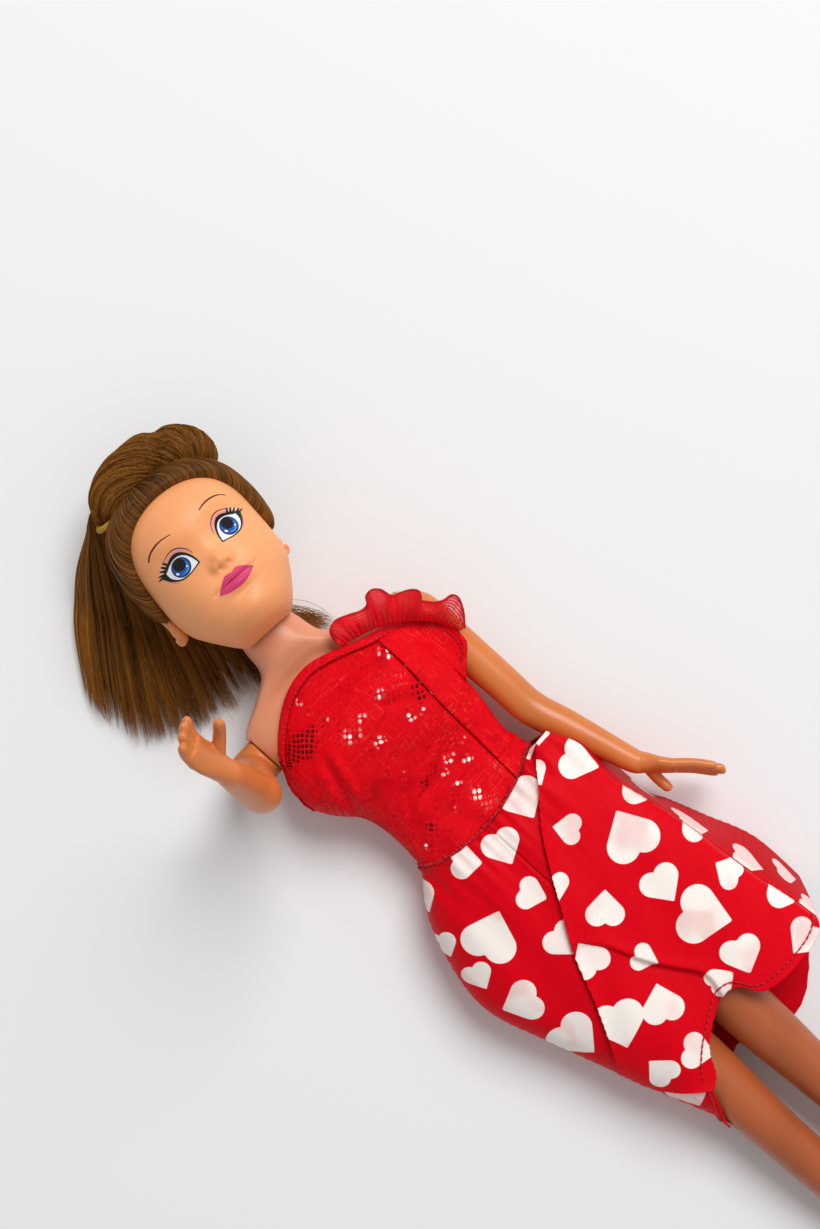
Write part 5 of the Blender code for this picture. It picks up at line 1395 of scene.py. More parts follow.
class Lay_scalp_hair(Operator):
    """Combs the rooted hair back from the hairline to the crown"""

    bl_idname = "doll.lay_scalp_hair"
    bl_label = "Scalp hair"

    def execute(self, context):
        colours = context.scene.doll_colours
        sizes = context.scene.doll_sizes
        scalp = Scalp()
        columns, rows = 1180, 44
        points = []
        gap_shade = []
        uv = []
        for row in range(rows + 1):
            share = (row / rows) ** 1.5
            for column in range(columns):
                points.append(scalp.point(column / columns, share))
                uv.append((column / columns * 95, share * 40))
                # Painted shade for the gaps between bundles of hair, carried by the gap value.
                gap_shade.append(max(0, 1 - scalp.bundle(column / columns) * 1.5))
        faces = [tuple(reversed(f)) for f in grid_faces(rows + 1, columns, closed=True)]
        base = new_piece("scalp_hair_base", mesh_of("scalp_hair_base", points, faces, uv))
        layer = base.data.attributes.new("gap", "FLOAT", "POINT")
        layer.data.foreach_set("value", np.array(gap_shade, np.float32))
        dress(to_head(base), hair_material(colours), "head", "scalp_hair", slot="hair_fibre")
        random = dice(5)
        paths = []
        shades = []
        for _ in range(sizes.scalp_strands):
            around = random.uniform(0, 1)
            bundle = scalp.bundle(around)
            if bundle < 0.42 and random.uniform(0, 1) < 0.8:
                continue
            drift = random.normal(0, 0.0022)
            lift = random.uniform(-0.00006, 0.00006)
            end = random.uniform(0.55, 1.0)
            wave = random.uniform(0, 6.28)
            path = []
            for k in range(20):
                share = (k / 19) ** 1.6 * end
                offset = drift * share + 0.0004 * math.sin(share * 9 + wave)
                path.append(scalp.point(around + offset, share, lift))
            paths.append(path)
            # Painted shade: hairs in the gaps between bundles are darker, those on top of a bundle lighter.
            shades.append(np.clip(random.normal(0.12 + 0.50 * bundle, 0.15), 0, 1))
        piece = new_piece("scalp_hairs", strand_mesh("scalp_hairs", paths, sizes.strand_radius, shades))
        dress(to_head(piece), strand_material(colours), "head")
        return {"FINISHED"}


class Roll_bun(Operator):
    """Rolls the bun over the crown and puts the elastic round its foot"""

    bl_idname = "doll.roll_bun"
    bl_label = "Bun and elastic"

    def execute(self, context):
        colours = context.scene.doll_colours
        sizes = context.scene.doll_sizes
        base = new_piece("bun_base", ring_mesh("bun_base", Bun(260, 12, 0, 0.00020).rows))
        dress(to_head(base), hair_material(colours), "head", "hair_bun", slot="hair_fibre")
        dense = Bun(360, 6, 0.00008, 0.00020).rows
        random = dice(7)
        paths = []
        shades = []
        for _ in range(sizes.bun_strands):
            start = random.uniform(0, 360)
            first = random.uniform(0, 0.35) * random.integers(0, 2)
            last = random.uniform(first + 0.25, 1)
            lift = random.uniform(-0.004, 0.022)
            across = random.normal(70, 14) * (0.4 + 0.6 * last)
            path = []
            for k in range(30):
                share = math.sin(math.pi / 2 * k / 29)
                place = lerp(first, last, share) * (len(dense) - 1.001)
                ring = dense[int(place)]
                after = dense[int(place) + 1]
                turned = (start + across * (k / 29) ** 2) % 360
                column = int(turned)
                here = ring[column].lerp(ring[(column + 1) % 360], turned - column)
                there = after[column].lerp(after[(column + 1) % 360], turned - column)
                spot = here.lerp(there, place - int(place))
                centre = sum(ring[::30], Vector()) / 12
                path.append(spot + (spot - centre) * lift)
            paths.append(path)
            # Painted shade: hairs over the bun's grooves are darker, those over its ridges lighter.
            bundle = 0.5 + 0.5 * math.sin(math.radians(start) * 11 + 3 * math.sin(math.radians(start) * 2))
            shades.append(np.clip(random.normal(0.22 + 0.40 * bundle, 0.16), 0, 1))
        piece = new_piece("bun_hairs", strand_mesh("bun_hairs", paths, sizes.strand_radius, shades))
        dress(to_head(piece), strand_material(colours), "head")
        self.add_elastic(colours)
        return {"FINISHED"}

    def add_elastic(self, colours):
        """Two turns of a round elastic, close together."""
        centre, heading = band_place()
        side = heading.orthogonal().normalized()
        up = heading.cross(side)
        path = []
        for step in range(97):
            angle = 2 * math.pi * 2 * step / 96
            out = side * math.cos(angle) + up * math.sin(angle)
            path.append(centre + out * BAND_RADIUS + heading * BAND_WIRE * (step / 96 - 0.5) * 0.9)
        rings = tube_rings(path, [BAND_WIRE * 0.8] * 97, 12)
        band = new_piece("elastic_band", ring_mesh("elastic_band", rings))
        dress(to_head(band), elastic_material(colours), "head", "hair_band", slot="elastic")


class Spread_tail(Operator):
    """Fans the loose hair out on the floor beside and under the neck"""

    bl_idname = "doll.spread_tail"
    bl_label = "Loose hair"

    def execute(self, context):
        colours = context.scene.doll_colours
        sizes = context.scene.doll_sizes
        columns, rows = 90, 30
        points = []
        uv = []
        for layer in (0.75, 0.10):
            for row in range(rows + 1):
                for column in range(columns + 1):
                    along = lerp(
                        -0.03, 0.83 + 0.035 * math.sin(column * 1.7) + 0.02 * math.sin(column * 4.3), row / rows
                    )
                    across = 0.05 + 0.95 * column / columns
                    spot = tail_point(across, along, layer)
                    spot.z += 0.0005 * math.sin(across * 60) * layer
                    points.append(spot)
                    uv.append((across * 55, along * 47))
        top = grid_faces(rows + 1, columns + 1)
        count = (rows + 1) * (columns + 1)
        under = [tuple(count + i for i in reversed(face)) for face in top]
        border = list(range(columns + 1)) + [r * (columns + 1) + columns for r in range(1, rows + 1)]
        border += [rows * (columns + 1) + c for c in reversed(range(columns))]
        border += [r * (columns + 1) for r in reversed(range(1, rows))]
        rim = [(a, count + a, count + b, b) for a, b in zip(border, border[1:] + border[:1])]
        base = new_piece("loose_hair_base", mesh_of("loose_hair_base", points, top + under + rim, uv))
        dress(base, hair_material(colours), None, "ponytail", slot="hair_fibre")
        random = dice(3)
        paths = []
        shades = []
        locks = [
            (
                random.uniform(0, 1), random.uniform(0.05, 1.0) ** 0.6, random.uniform(0.90, 1.04),
                random.normal(0, 0.05), random.normal(0, 0.20), random.uniform(0, 6.28), random.uniform(0.2, 1.0) * MM,
            )
            for _ in range(150)
        ]
        for i in range(sizes.tail_strands):
            middle, layer, length, drift, tint, wave, curl = locks[i % len(locks)]
            loose = i % 14 == 0
            off = random.normal(0, 0.040 if loose else 0.014)
            length *= random.uniform(0.96, 1.05) + (0.06 * random.uniform(0, 1) if loose else 0)
            layer = min(1.05 if not loose else 1.35, max(0.02, layer + random.normal(0, 0.06)))
            path = []
            for k in range(22):
                along = lerp(-0.03, length, k / 21)
                across = middle + drift * along + off * (1 - 0.45 * along)
                across = min(1.03, max(0.0, across))
                spot = tail_point(across, along, layer)
                sway = math.sin(along * 7 + wave) * curl * along
                spot += Vector((0.7 * sway, 0.7 * sway, max(-spot.z + 0.0001, 0.3 * sway)))
                spot.x = max(spot.x, TAIL_REACH)
                path.append(spot)
            paths.append(path)
            # Painted light and shade: hairs at the outer edge of the fan are lighter, those under the head and neck
            # darker.
            light_away_from_neck = 0.26 * (1 - middle) + 0.10
            shades.append(np.clip(random.normal(0.38 + light_away_from_neck + 1.5 * tint, 0.15), 0, 1))
        for _ in range(150):
            start = Vector((random.uniform(-3, 5), random.uniform(66, 72), random.uniform(1.5, 6))) * MM
            reach = random.uniform(0.0, 1) ** 1.3
            end = Vector((7.0 + 5.5 * reach, random.uniform(56.5, 62) - 1.5 * reach, random.uniform(0.6, 6.0))) * MM
            sag = Vector((random.normal(0.8, 0.8), random.normal(0.6, 0.7), random.uniform(-1, 1))) * MM
            paths.append([start.lerp(end, k / 21) + sag * math.sin(math.pi * k / 21) for k in range(22)])
            for spot in paths[-1]:
                spot.z = max(spot.z, 0.0002)
            shades.append(np.clip(random.normal(0.62, 0.2), 0, 1))
        piece = new_piece("loose_hairs", strand_mesh("loose_hairs", paths, sizes.strand_radius, shades))
        dress(piece, strand_material(colours), None)
        for each in (base, piece):
            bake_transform(each)
        return {"FINISHED"}


# Torso and limbs


def lean_at(y):
    """The upper body leans a little to the doll's right of the hips."""
    share = min(1, max(0, (y - HIP_Y) / (SHOULDER_Y - HIP_Y)))
    return UPPER_LEAN * share


def torso_rows():
    """(y, half width, back height, front height) from the crotch to the neck."""
    rows = [
        (CROTCH_Y, HIP_HALF * 0.80, SEAT_BACK * 2.6, BELLY_FRONT * 0.80),
        (HIP_Y, HIP_HALF, SEAT_BACK, BELLY_FRONT * 0.98),
        (HIP_Y * 0.5, HIP_HALF * 0.97, lerp(SEAT_BACK, WAIST_BACK, 0.4), BELLY_FRONT),
        (0, WAIST_HALF, WAIST_BACK, WAIST_FRONT),
        (BUST_Y * 0.5, WAIST_HALF * 1.1, WAIST_BACK, WAIST_FRONT * 1.05),
        (BUST_Y, BUST_HALF, BLADE_BACK, BUST_FRONT),
        (SHOULDER_Y, SHOULDER_HALF, BLADE_BACK, CHEST_FRONT),
        (lerp(SHOULDER_Y, COLLAR_Y, 0.62), SHOULDER_HALF * 0.97, BLADE_BACK * 1.35, CHEST_FRONT * 0.9),
        (COLLAR_Y, SHOULDER_HALF * 0.62, NECK_Z - NECK_RADIUS * 1.02, NECK_Z + NECK_RADIUS * 0.8),
        (NECK_BASE_Y, NECK_RADIUS * 1.18, NECK_Z - NECK_RADIUS, NECK_Z + NECK_RADIUS),
        (NECK_TOP_Y, NECK_RADIUS, NECK_Z - NECK_RADIUS, NECK_Z + NECK_RADIUS),
    ]
    for angle in (28, 52, 70):
        radius = NECK_RADIUS * math.cos(math.radians(angle))
        rise = NECK_RADIUS * math.sin(math.radians(angle))
        rows.append((NECK_TOP_Y + rise, radius, NECK_Z - radius, NECK_Z + radius))
    return rows


def bust_lift(x, y):
    lift = 0
    for side in (-1, 1):
        lift += BUST_SWELL * bell(x - lean_at(y), y, side * BUST_SPACING, BUST_Y, BUST_SPREAD, BUST_SPREAD)
    return lift


def torso_rings(count, steps):
    rings = []
    for y, half, back, front in smooth_rows(torso_rows(), steps):
        ring = flat_ring(lean_at(y), y, half, back, front, count, 0.9)
        middle = (back + front) / 2
        for point in ring:
            if point.z > middle:
                point.z += bust_lift(point.x, point.y) * (point.z - middle) / (front - middle)
            point.y -= SHOULDER_DROP * slope(point.x - 0.0058, 0.0036) * slope(point.y - 0.0430, 0.0090)
        rings.append(ring)
    return rings


def shoulder_face(sign):
    return abs(sign * SHOULDER_HALF + UPPER_LEAN - sign * SHOULDER_RECESS)


class Mould_torso(Operator):
    """Moulds the two halves of the torso with their sockets"""

    bl_idname = "doll.mould_torso"
    bl_label = "Torso"

    def execute(self, context):
        colours = context.scene.doll_colours
        far = 0.12
        for name, low, high in (("front", JOINT_HEIGHT + GAP / 2, far), ("back", -far, JOINT_HEIGHT - GAP / 2)):
            half = new_piece("torso_" + name + "_skin", ring_mesh("torso_skin", torso_rings(110, 6)))
            cut_with(half, box_mesh("half", (-far, -far, low), (far, far, high)), "INTERSECT")
            for sign in (1, -1):
                recess = SHOULDER_CAP_RADIUS + GAP
                rings = x_rings(sign, SHOULDER_Y, JOINT_HEIGHT, [(shoulder_face(sign), recess), (far, recess)], 48)
                cut_with(half, ring_mesh("cutter", rings))
                recess = HIP_CAP_RADIUS + GAP
                rings = x_rings(sign, HIP_Y, JOINT_HEIGHT, [(CROTCH_HALF, recess), (far, recess)], 48)
                cut_with(half, ring_mesh("cutter", rings))
                ends = sorted((sign * CROTCH_HALF, sign * far))
                cut_with(half, box_mesh("thigh", (ends[0], -far, -far), (ends[1], HIP_Y + THIGH_DEPTH + 2 * GAP, far)))
            dress(half, body_material(colours), "torso", "torso_" + name, slot="body_plastic")
        plug = moulded_material("plug plastic", shaded(colours.body, 0.95), shaded(colours.body, 0.85), 0.5)
        for node in ("shoulder_plug_left", "shoulder_plug_right", "hip_plug_left", "hip_plug_right", "neck_knob"):
            piece = bpy.data.objects[node]
            piece.data.materials.clear()
            piece.data.materials.append(plug)
        return {"FINISHED"}


def arm_meshes(sign, elbow, wrist, palm, tips, across, thumb):
    """The arm's parts as overlapping closed forms: tube, shoulder cap, palm, fingers and thumb."""
    start = Vector((sign * ARM_CENTRE + UPPER_LEAN, SHOULDER_Y, JOINT_HEIGHT))
    joint = Vector(elbow)
    end = Vector(wrist)
    rows = [(*start, UPPER_ARM_RADIUS * 0.98)]
    if sign > 0:
        shares = ((-0.015, 0.42), (0.045, 0.80), (0.125, 0.97))
        rows = [(*start.lerp(joint, along), UPPER_ARM_RADIUS * size) for along, size in shares]
    rows += [
        (*start.lerp(joint, 0.3), UPPER_ARM_RADIUS),
        (*start.lerp(joint, 0.75), lerp(UPPER_ARM_RADIUS, ELBOW_RADIUS, 0.7)),
        (*joint, ELBOW_RADIUS),
        (*joint.lerp(end, 0.35), FOREARM_RADIUS),
        (*joint.lerp(end, 0.75), lerp(FOREARM_RADIUS, WRIST_RADIUS, 0.6)),
        (*end, WRIST_RADIUS),
        (*end.lerp(Vector(palm), 0.32), WRIST_RADIUS * 0.78),
    ]
    dense = smooth_rows(rows, 8)
    meshes = [ring_mesh("tube", tube_rings([Vector(row[:3]) for row in dense], [row[3] for row in dense], 40))]
    face = shoulder_face(sign) + GAP
    out = ARM_CAP_OUT + sign * UPPER_LEAN
    radius = SHOULDER_CAP_RADIUS * 0.92
    if sign > 0:
        out = lerp(face, out, 0.60)
        radius = SHOULDER_CAP_RADIUS * 0.66
    profile = [(face, radius * 0.95), (face + radius * 0.1, radius), (lerp(face, out, 0.55), radius)]
    profile += [
        (lerp(face, out, share), radius * size) for share, size in ((0.7, 0.94), (0.8, 0.87), (0.94, 0.6), (1, 0.3))
    ]
    cap = ring_mesh("cap", x_rings(sign, SHOULDER_Y, JOINT_HEIGHT, profile, 48))
    return meshes + [cap] + hand_meshes(end, Vector(palm), Vector(tips), Vector(across), Vector(thumb))


def hand_meshes(start, middle, end, sideways, thumb):
    """Palm, four fingers and thumb. Sideways points from the little finger to the first."""
    along = (end - middle).normalized()
    sideways = (sideways - along * sideways.dot(along)).normalized()
    shares = ((0, 0.85, 0.95), (0.35, 0.88, 1.05), (0.75, 1.0, 1.0), (1.0, 1.0, 0.95), (1.15, 0.9, 0.8))
    path = [start.lerp(middle, s[0]) + along * PALM_HALF_DEPTH * max(0, s[0] - 1) * 6 for s in shares]
    rings = []
    for here, share in zip(path, shares):
        flat = lerp(WRIST_RADIUS, PALM_HALF_DEPTH, min(1, share[0] * 1.4)) * share[2]
        wide = lerp(WRIST_RADIUS, PALM_HALF_WIDTH, min(1, share[0] * 1.3)) * share[1] * 1.1
        facing = (middle - start).normalized() if share[0] < 0.5 else along
        side = (sideways - facing * sideways.dot(facing)).normalized()
        up = facing.cross(side)
        rings.append(
            [here + side * math.cos(a) * wide + up * math.sin(a) * flat for a in np.linspace(0, 2 * math.pi, 25)[:-1]]
        )
    meshes = [ring_mesh("palm", rings)]
    knuckles = path[-1] - along * PALM_HALF_DEPTH
    reach = (end - knuckles).length
    up = along.cross(sideways)
    for number, share in enumerate((0.78, 0.95, 1.0, 0.9)):
        place = (number - 1.5) / 1.5
        root = knuckles + sideways * place * (PALM_HALF_WIDTH - FINGER_RADIUS)
        heading = (along + sideways * place * 0.10).normalized()
        curl = up * FINGER_RADIUS * 0.8
        points = [root - heading * FINGER_RADIUS, root, root + heading * reach * share * 0.5 + curl * 0.4]
        points.append(root + heading * reach * share * 0.92)
        points.append(points[-1] + heading * FINGER_RADIUS * 0.9)
        meshes.append(finger_mesh(points, [FINGER_RADIUS * k for k in (1.1, 1.1, 1.0, 0.88, 0.35)]))
    root = start.lerp(middle, 0.35) + sideways * PALM_HALF_WIDTH * 0.3
    knuckle = root.lerp(thumb, 0.55) + sideways * THUMB_RADIUS * 0.7
    points = [root, knuckle, root.lerp(thumb, 0.93), thumb]
    meshes.append(finger_mesh(points, [THUMB_RADIUS * k for k in (1.15, 1.1, 0.95, 0.4)]))
    return meshes


def finger_mesh(points, radii):
    dense = smooth_rows([(*point, radius) for point, radius in zip(points, radii)], 5)
    return ring_mesh("finger", tube_rings([Vector(row[:3]) for row in dense], [row[3] for row in dense], 16))


class Mould_arms(Operator):
    """Moulds both bent arms with their hands"""

    bl_idname = "doll.mould_arms"
    bl_label = "Arms"

    def execute(self, context):
        colours = context.scene.doll_colours
        poses = (("left", 1, LEFT_ARM, LEFT_ACROSS, LEFT_THUMB), ("right", -1, RIGHT_ARM, RIGHT_ACROSS, RIGHT_THUMB))
        for side, sign, spots, across, thumb in poses:
            arm = join_meshes("arm_" + side + "_skin", arm_meshes(sign, *spots, across, thumb))
            melt_together(arm, 0.00024, 5)
            dress(arm, limb_material(colours), "arm_" + side, "arm_" + side, slot="limb_plastic")
        return {"FINISHED"}


def leg_rows():
    """(y, half width, back height, front height) from the hip to the toes."""
    middle = JOINT_HEIGHT
    heel = HEEL_BACK
    return [
        (HIP_Y, THIGH_HALF * 1.06, middle - THIGH_DEPTH, middle + THIGH_DEPTH),
        (lerp(HIP_Y, KNEE_Y, 0.3), THIGH_HALF * 1.04, middle - THIGH_DEPTH, middle + THIGH_DEPTH),
        (lerp(HIP_Y, KNEE_Y, 0.72), THIGH_HALF * 0.97, middle - THIGH_DEPTH * 0.86, middle + THIGH_DEPTH * 0.9),
        (KNEE_Y, KNEE_HALF, middle - KNEE_DEPTH, middle + KNEE_DEPTH),
        (CALF_Y, CALF_HALF, middle - CALF_DEPTH * 1.25, middle + CALF_DEPTH * 0.72),
        (lerp(CALF_Y, ANKLE_Y, 0.6), CALF_HALF * 0.78, heel * 4.2, heel * 4.2 + CALF_DEPTH * 1.5),
        (ANKLE_Y, ANKLE_HALF, heel * 3.4, heel * 3.4 + ANKLE_DEPTH * 2),
        (HEEL_Y, ANKLE_HALF * 1.02, heel, heel + ANKLE_DEPTH * 2.7),
        (lerp(HEEL_Y, BALL_Y, 0.45), ANKLE_HALF * 1.12, heel * 4.6, heel * 4 + ANKLE_DEPTH * 2.35),
        (BALL_Y, FOOT_HALF, BALL_Z - ANKLE_DEPTH * 0.55, BALL_Z + ANKLE_DEPTH * 0.62),
        (TOES_Y, FOOT_HALF * 0.9, BALL_Z - ANKLE_DEPTH * 0.30, BALL_Z + ANKLE_DEPTH * 0.42),
    ]


class Mould_legs(Operator):
    """Moulds both legs with their arched feet"""

    bl_idname = "doll.mould_legs"
    bl_label = "Legs"

    def execute(self, context):
        colours = context.scene.doll_colours
        for side, sign in (("left", 1), ("right", -1)):
            rings = []
            for y, half, back, front in smooth_rows(leg_rows(), 8):
                rings.append(flat_ring(sign * LEG_X, y, half, back, front, 56))
            meshes = [ring_mesh("leg", rings)]
            inner = CROTCH_HALF + 2 * GAP
            radius = HIP_CAP_RADIUS
            profile = [(inner, radius * 0.97), (inner + GAP, radius)]
            for share, size in ((0.5, 1.0), (0.8, 0.9), (0.95, 0.66), (1, 0.4)):
                profile.append((lerp(inner, HIP_HALF, share), radius * size))
            cap = ring_mesh("cap", x_rings(sign, HIP_Y, JOINT_HEIGHT, profile, 56))
            meshes.append(cap)
            for number in range(5):
                share = (number - 2) / 2
                size = TOE_RADIUS * (1.15 - 0.12 * number)
                centre = (sign * (LEG_X - share * FOOT_HALF * 0.78), TOES_Y - size * (1.2 - 0.25 * number), BALL_Z)
                meshes.append(ball_mesh("toe", centre, (size, size * 1.9, size * 1.05), 16))
            leg = join_meshes("leg_" + side + "_skin", meshes)
            melt_together(leg, 0.00034, 4)
            dress(leg, leg_material(colours), "leg_" + side, "leg_" + side, slot="limb_plastic")
        return {"FINISHED"}


# Dress


def bodice_rows():
    """(y, half width, back height, front height) of the bodice's outer face."""
    return [
        (WAIST_SEAM_Y * 4, BODICE_WAIST_HALF, CLOTH, BODICE_WAIST_FRONT),
        (BUST_Y * 0.2, BODICE_WAIST_HALF * 0.975, CLOTH, BODICE_WAIST_FRONT * 0.99),
        (BUST_Y * 0.45, BODICE_WAIST_HALF * 0.985, CLOTH, BODICE_WAIST_FRONT * 1.08),
        (BUST_Y * 0.72, BODICE_HALF * 0.95, CLOTH, BODICE_BUST_FRONT * 0.92),
        (BUST_Y, BODICE_HALF, CLOTH, BODICE_BUST_FRONT),
        (lerp(BUST_Y, SHOULDER_Y, 0.5), BODICE_HALF, CLOTH, BODICE_BUST_FRONT * 0.94),
        (SHOULDER_Y, SHOULDER_HALF + GAP + CLOTH, CLOTH, CHEST_FRONT + CLOTH * 2.6),
        (COLLAR_Y, SHOULDER_HALF * 0.9, CLOTH, CHEST_FRONT),
    ]


# Millimetres: y, then how far the bodice reaches at the doll's right and at the left.
BODICE_SIDES = (
    (-3, 19.2, 21.6), (2, 18.9, 21.4), (7, 18.5, 20.4), (13, 18.6, 21.5), (18.5, 19.8, 22.6), (22, 22.4, 22.9),
    (26, 25.0, 23.1), (31, 26.7, 23.2), (36, 26.7, 23.2), (40, 25.2, 23.4), (43.6, 23.7, 24.0), (48, 23.0, 23.6),
    (57.5, 21.0, 21.9),
)
BODICE_TABLE = np.array(smooth_rows(bodice_rows(), 8))
SIDES_TABLE = np.array(smooth_rows([tuple(v * MM for v in row) for row in BODICE_SIDES], 6))
# Where the loose cloth begins, at the doll's right and over the left arm, and the heights between which it runs.
PUFF_START = 0.0202
FLAP_START = 0.0172
PUFF_FOOT = 0.0197
ARMHOLE_FOOT = 0.0040
ARMHOLE_HEAD = 0.0452
# How far the side seams turn under, in radians, and both ends of the neckline's hem.
SIDE_TURN = 0.33
HEM_ENDS = (-0.0225, 0.0262)


def bodice_row(y):
    return [float(np.interp(y, BODICE_TABLE[:, 0], BODICE_TABLE[:, k])) for k in (2, 3)]


def bodice_half(y, sign):
    """How far the bodice reaches to one side: sign is 1 at the doll's left."""
    return float(np.interp(y, SIDES_TABLE[:, 0], SIDES_TABLE[:, 2 if sign > 0 else 1]))


def bodice_point(y, angle, grow=0.0):
    back, front = bodice_row(y)
    turn = math.cos(angle)
    x = signed_power(turn, 0.82) * (bodice_half(y, turn) + grow)
    z = (back + front) / 2 + signed_power(math.sin(angle), 0.82) * ((front - back) / 2 + grow)
    return Vector((x, y, max(z, back - grow)))


def angle_at(x, y):
    across = min(0.9999, max(-0.9999, x / bodice_half(y, x)))
    return math.acos(signed_power(across, 1 / 0.82))


def waist_y(x, facing):
    """The waist seam, which sags across the front."""
    sag = max(0, 1 - (x / BODICE_WAIST_HALF) ** 2)
    return WAIST_SEAM_Y + 0.0009 - 0.0048 * sag * facing


def tucked(spot):
    """The loose cloth at the doll's right, held in as it lies when the arm is down."""
    if spot.x < -PUFF_START:
        spot.x = -PUFF_START + (spot.x + PUFF_START) * 0.5
    return spot


def in_metres(rows, steps=6):
    return smooth_rows([tuple(v * MM for v in row) for row in rows], steps)


def neckline():
    """The slanting neckline from the doll's right armhole to the left shoulder."""
    shares = (
        (-1.12, 0.60), (-1.10, 0.72), (-0.99, 0.90), (-0.76, 1.02), (-0.40, 1.125), (-0.05, 1.15),
        (0.28, 1.10), (0.58, 1.03), (0.86, 0.985), (1.12, 0.93),
    )
    return smooth_rows([(BODICE_HALF * x, SHOULDER_Y * y) for x, y in shares], 6)


NECKLINE = np.array(neckline())
ARM_TOP = JOINT_HEIGHT + UPPER_ARM_RADIUS
ARMHOLE = np.array(smooth_rows([tuple(v * MM for v in row) for row in (
    (3, 20.9), (6, 19.9), (13, 21.0), (18.5, 22.2), (21.5, 22.7), (23.5, 23.8), (26, 26.2), (28.6, 29.4), (31.5, 30.3),
    (34.2, 30.2), (37.5, 29.2), (41.0, 27.4),
    (44.0, 24.2), (46, 22.0),
)], 6))
SEAM = np.array(
    [(BODICE_HALF * x, SHOULDER_Y * y) for x, y in ((0.56, -0.2), (0.58, 0.1), (0.62, 0.5), (0.67, 0.8), (0.66, 1.3))]
)


def neck_y(x):
    return float(np.interp(x, NECKLINE[:, 0], NECKLINE[:, 1]))


def seam_x(y):
    return float(np.interp(y, SEAM[:, 1], SEAM[:, 0]))


def bodice_top(angle_of):
    """Where a column of the bodice ends: at the neckline, and clear of the shoulder caps."""
    y = 0.04
    for _ in range(12):
        spot = bodice_point(y, angle_of(y))
        y = lerp(y, neck_y(spot.x), 0.6)
    spot = bodice_point(y, angle_of(y))
    room = SHOULDER_CAP_RADIUS + 4 * GAP
    if abs(spot.x - UPPER_LEAN) > SHOULDER_HALF - 2.5 * SHOULDER_RECESS and abs(spot.z - JOINT_HEIGHT) < room:
        y = min(y, SHOULDER_Y - math.sqrt(room * room - (spot.z - JOINT_HEIGHT) ** 2))
    return y


# Millimetres: both ends of each drag fold, its width and height.
BODICE_FOLDS = (
    (-12.0, 35.0, -16.8, 20.5, 1.4, 1.15), (-10.6, 21.0, -3.0, 25.5, 1.2, 0.95), (-18.0, 33.0, -21.5, 24.0, 1.3, 0.80),
    (-6.0, 12.0, 8.0, 18.0, 1.2, 0.70), (-12.0, 10.0, -3.0, 14.5, 1.0, 0.65), (5.0, 38.0, 14.5, 31.0, 1.8, 0.60),
    (-15.0, 8.0, -8.5, 16.0, 1.0, 0.55), (-4.0, 5.0, 6.0, 8.5, 0.9, 0.45),
)


def bodice_wrinkle(x, y):
    """Soft wrinkles above the waist, under the bust and by the princess seam."""
    x, y = x / MM, y / MM
    lift = 0.35 * math.sin(x * 0.62 + 0.9 * math.sin(y * 0.21)) * math.exp(-max(0, y) / 6)
    lift += 0.30 * bell(x, y, -10, 9, 9, 1.3) - 0.28 * bell(x, y, -8, 12, 10, 1.2) + 0.22 * bell(x, y, 3, 16, 7, 1.2)
    lift += 0.25 * math.sin(x * 0.35 + y * 0.5) * bell(x, y, 0, 18, 16, 9)
    lift += 0.32 * math.sin(y * 0.9 + x * 0.4) * bell(x, y, 17, 22, 4, 14)
    for start_x, start_y, end_x, end_y, wide, deep in BODICE_FOLDS:
        run_x, run_y = end_x - start_x, end_y - start_y
        share = ((x - start_x) * run_x + (y - start_y) * run_y) / (run_x * run_x + run_y * run_y)
        if -0.2 < share < 1.2:
            aside = ((x - start_x) * run_y - (y - start_y) * run_x) / math.hypot(run_x, run_y)
            fade = slope(share, 0.18) * slope(1 - share, 0.18)
            lift += deep * fade * (
                math.exp(-((aside / wide) ** 2)) - 0.8 * math.exp(-(((aside - 1.7 * wide) / wide) ** 2))
            )
    seam = x - seam_x(y * MM) / MM
    lift -= 0.35 * bell(seam, 0, 0, 0, 0.5, 1)
    return lift * MM


# Millimetres: x, y and radius of the places with painted glints in the foil dots, then of painted dark reflections.
GLINTS = (
    (15.1, 41.8, 1.8), (-5.1, 34.4, 1.9), (-1.8, 28.6, 1.3), (16.8, 36.0, 1.1), (16.0, 30.5, 0.8), (15.7, 27.0, 1.0),
    (7.6, 27.0, 1.2), (10.5, 26.0, 0.8), (6.1, 13.0, 1.3), (8.8, 9.5, 1.2), (2.5, 11.4, 1.0), (2.7, 7.3, 1.1),
    (-2.1, 2.8, 0.7), (4.2, 2.0, 1.5), (3.5, -1.6, 1.0), (-7.0, 42.0, 0.9), (-8.2, 45.8, 0.8), (-8.4, 49.3, 0.8),
    (6.6, 35.9, 1.2), (-0.8, 35.5, 1.1), (-4.5, 18.8, 0.8), (-13.6, 2.2, 0.8), (11.5, 13.6, 0.8),
)
DARK_REFLECTION_SPOTS = (
    (-15.5, 41.6, 3.4),
    (-19.8, 43.0, 3.4),
    (-11.5, 42.6, 1.6),
    (12.9, 28.5, 1.3),
    (13.8, 31.2, 1.0),
    (-9.4, 5.0, 1.4),
    (-2.3, 13.4, 1.2),
)


def patches(places, x, y):
    """1 within any of the round patches, falling to 0 at their rims."""
    best = 0.0
    for px, py, radius in places:
        far = math.hypot(x / MM - px, (y / MM - py)) / radius
        best = max(best, min(1.0, max(0.0, (1.25 - far) / 0.35)))
    return best


def foil_values(grid):
    spots = [spot for line in grid for spot in line]
    front = [1.0 if spot.z > JOINT_HEIGHT else 0.0 for spot in spots]
    # Where the foil dots get painted glints and painted dark reflections.
    return {
        "glint": [patches(GLINTS, spot.x, spot.y) * side for spot, side in zip(spots, front)],
        "dark_foil": [patches(DARK_REFLECTION_SPOTS, spot.x, spot.y) * side for spot, side in zip(spots, front)],
    }


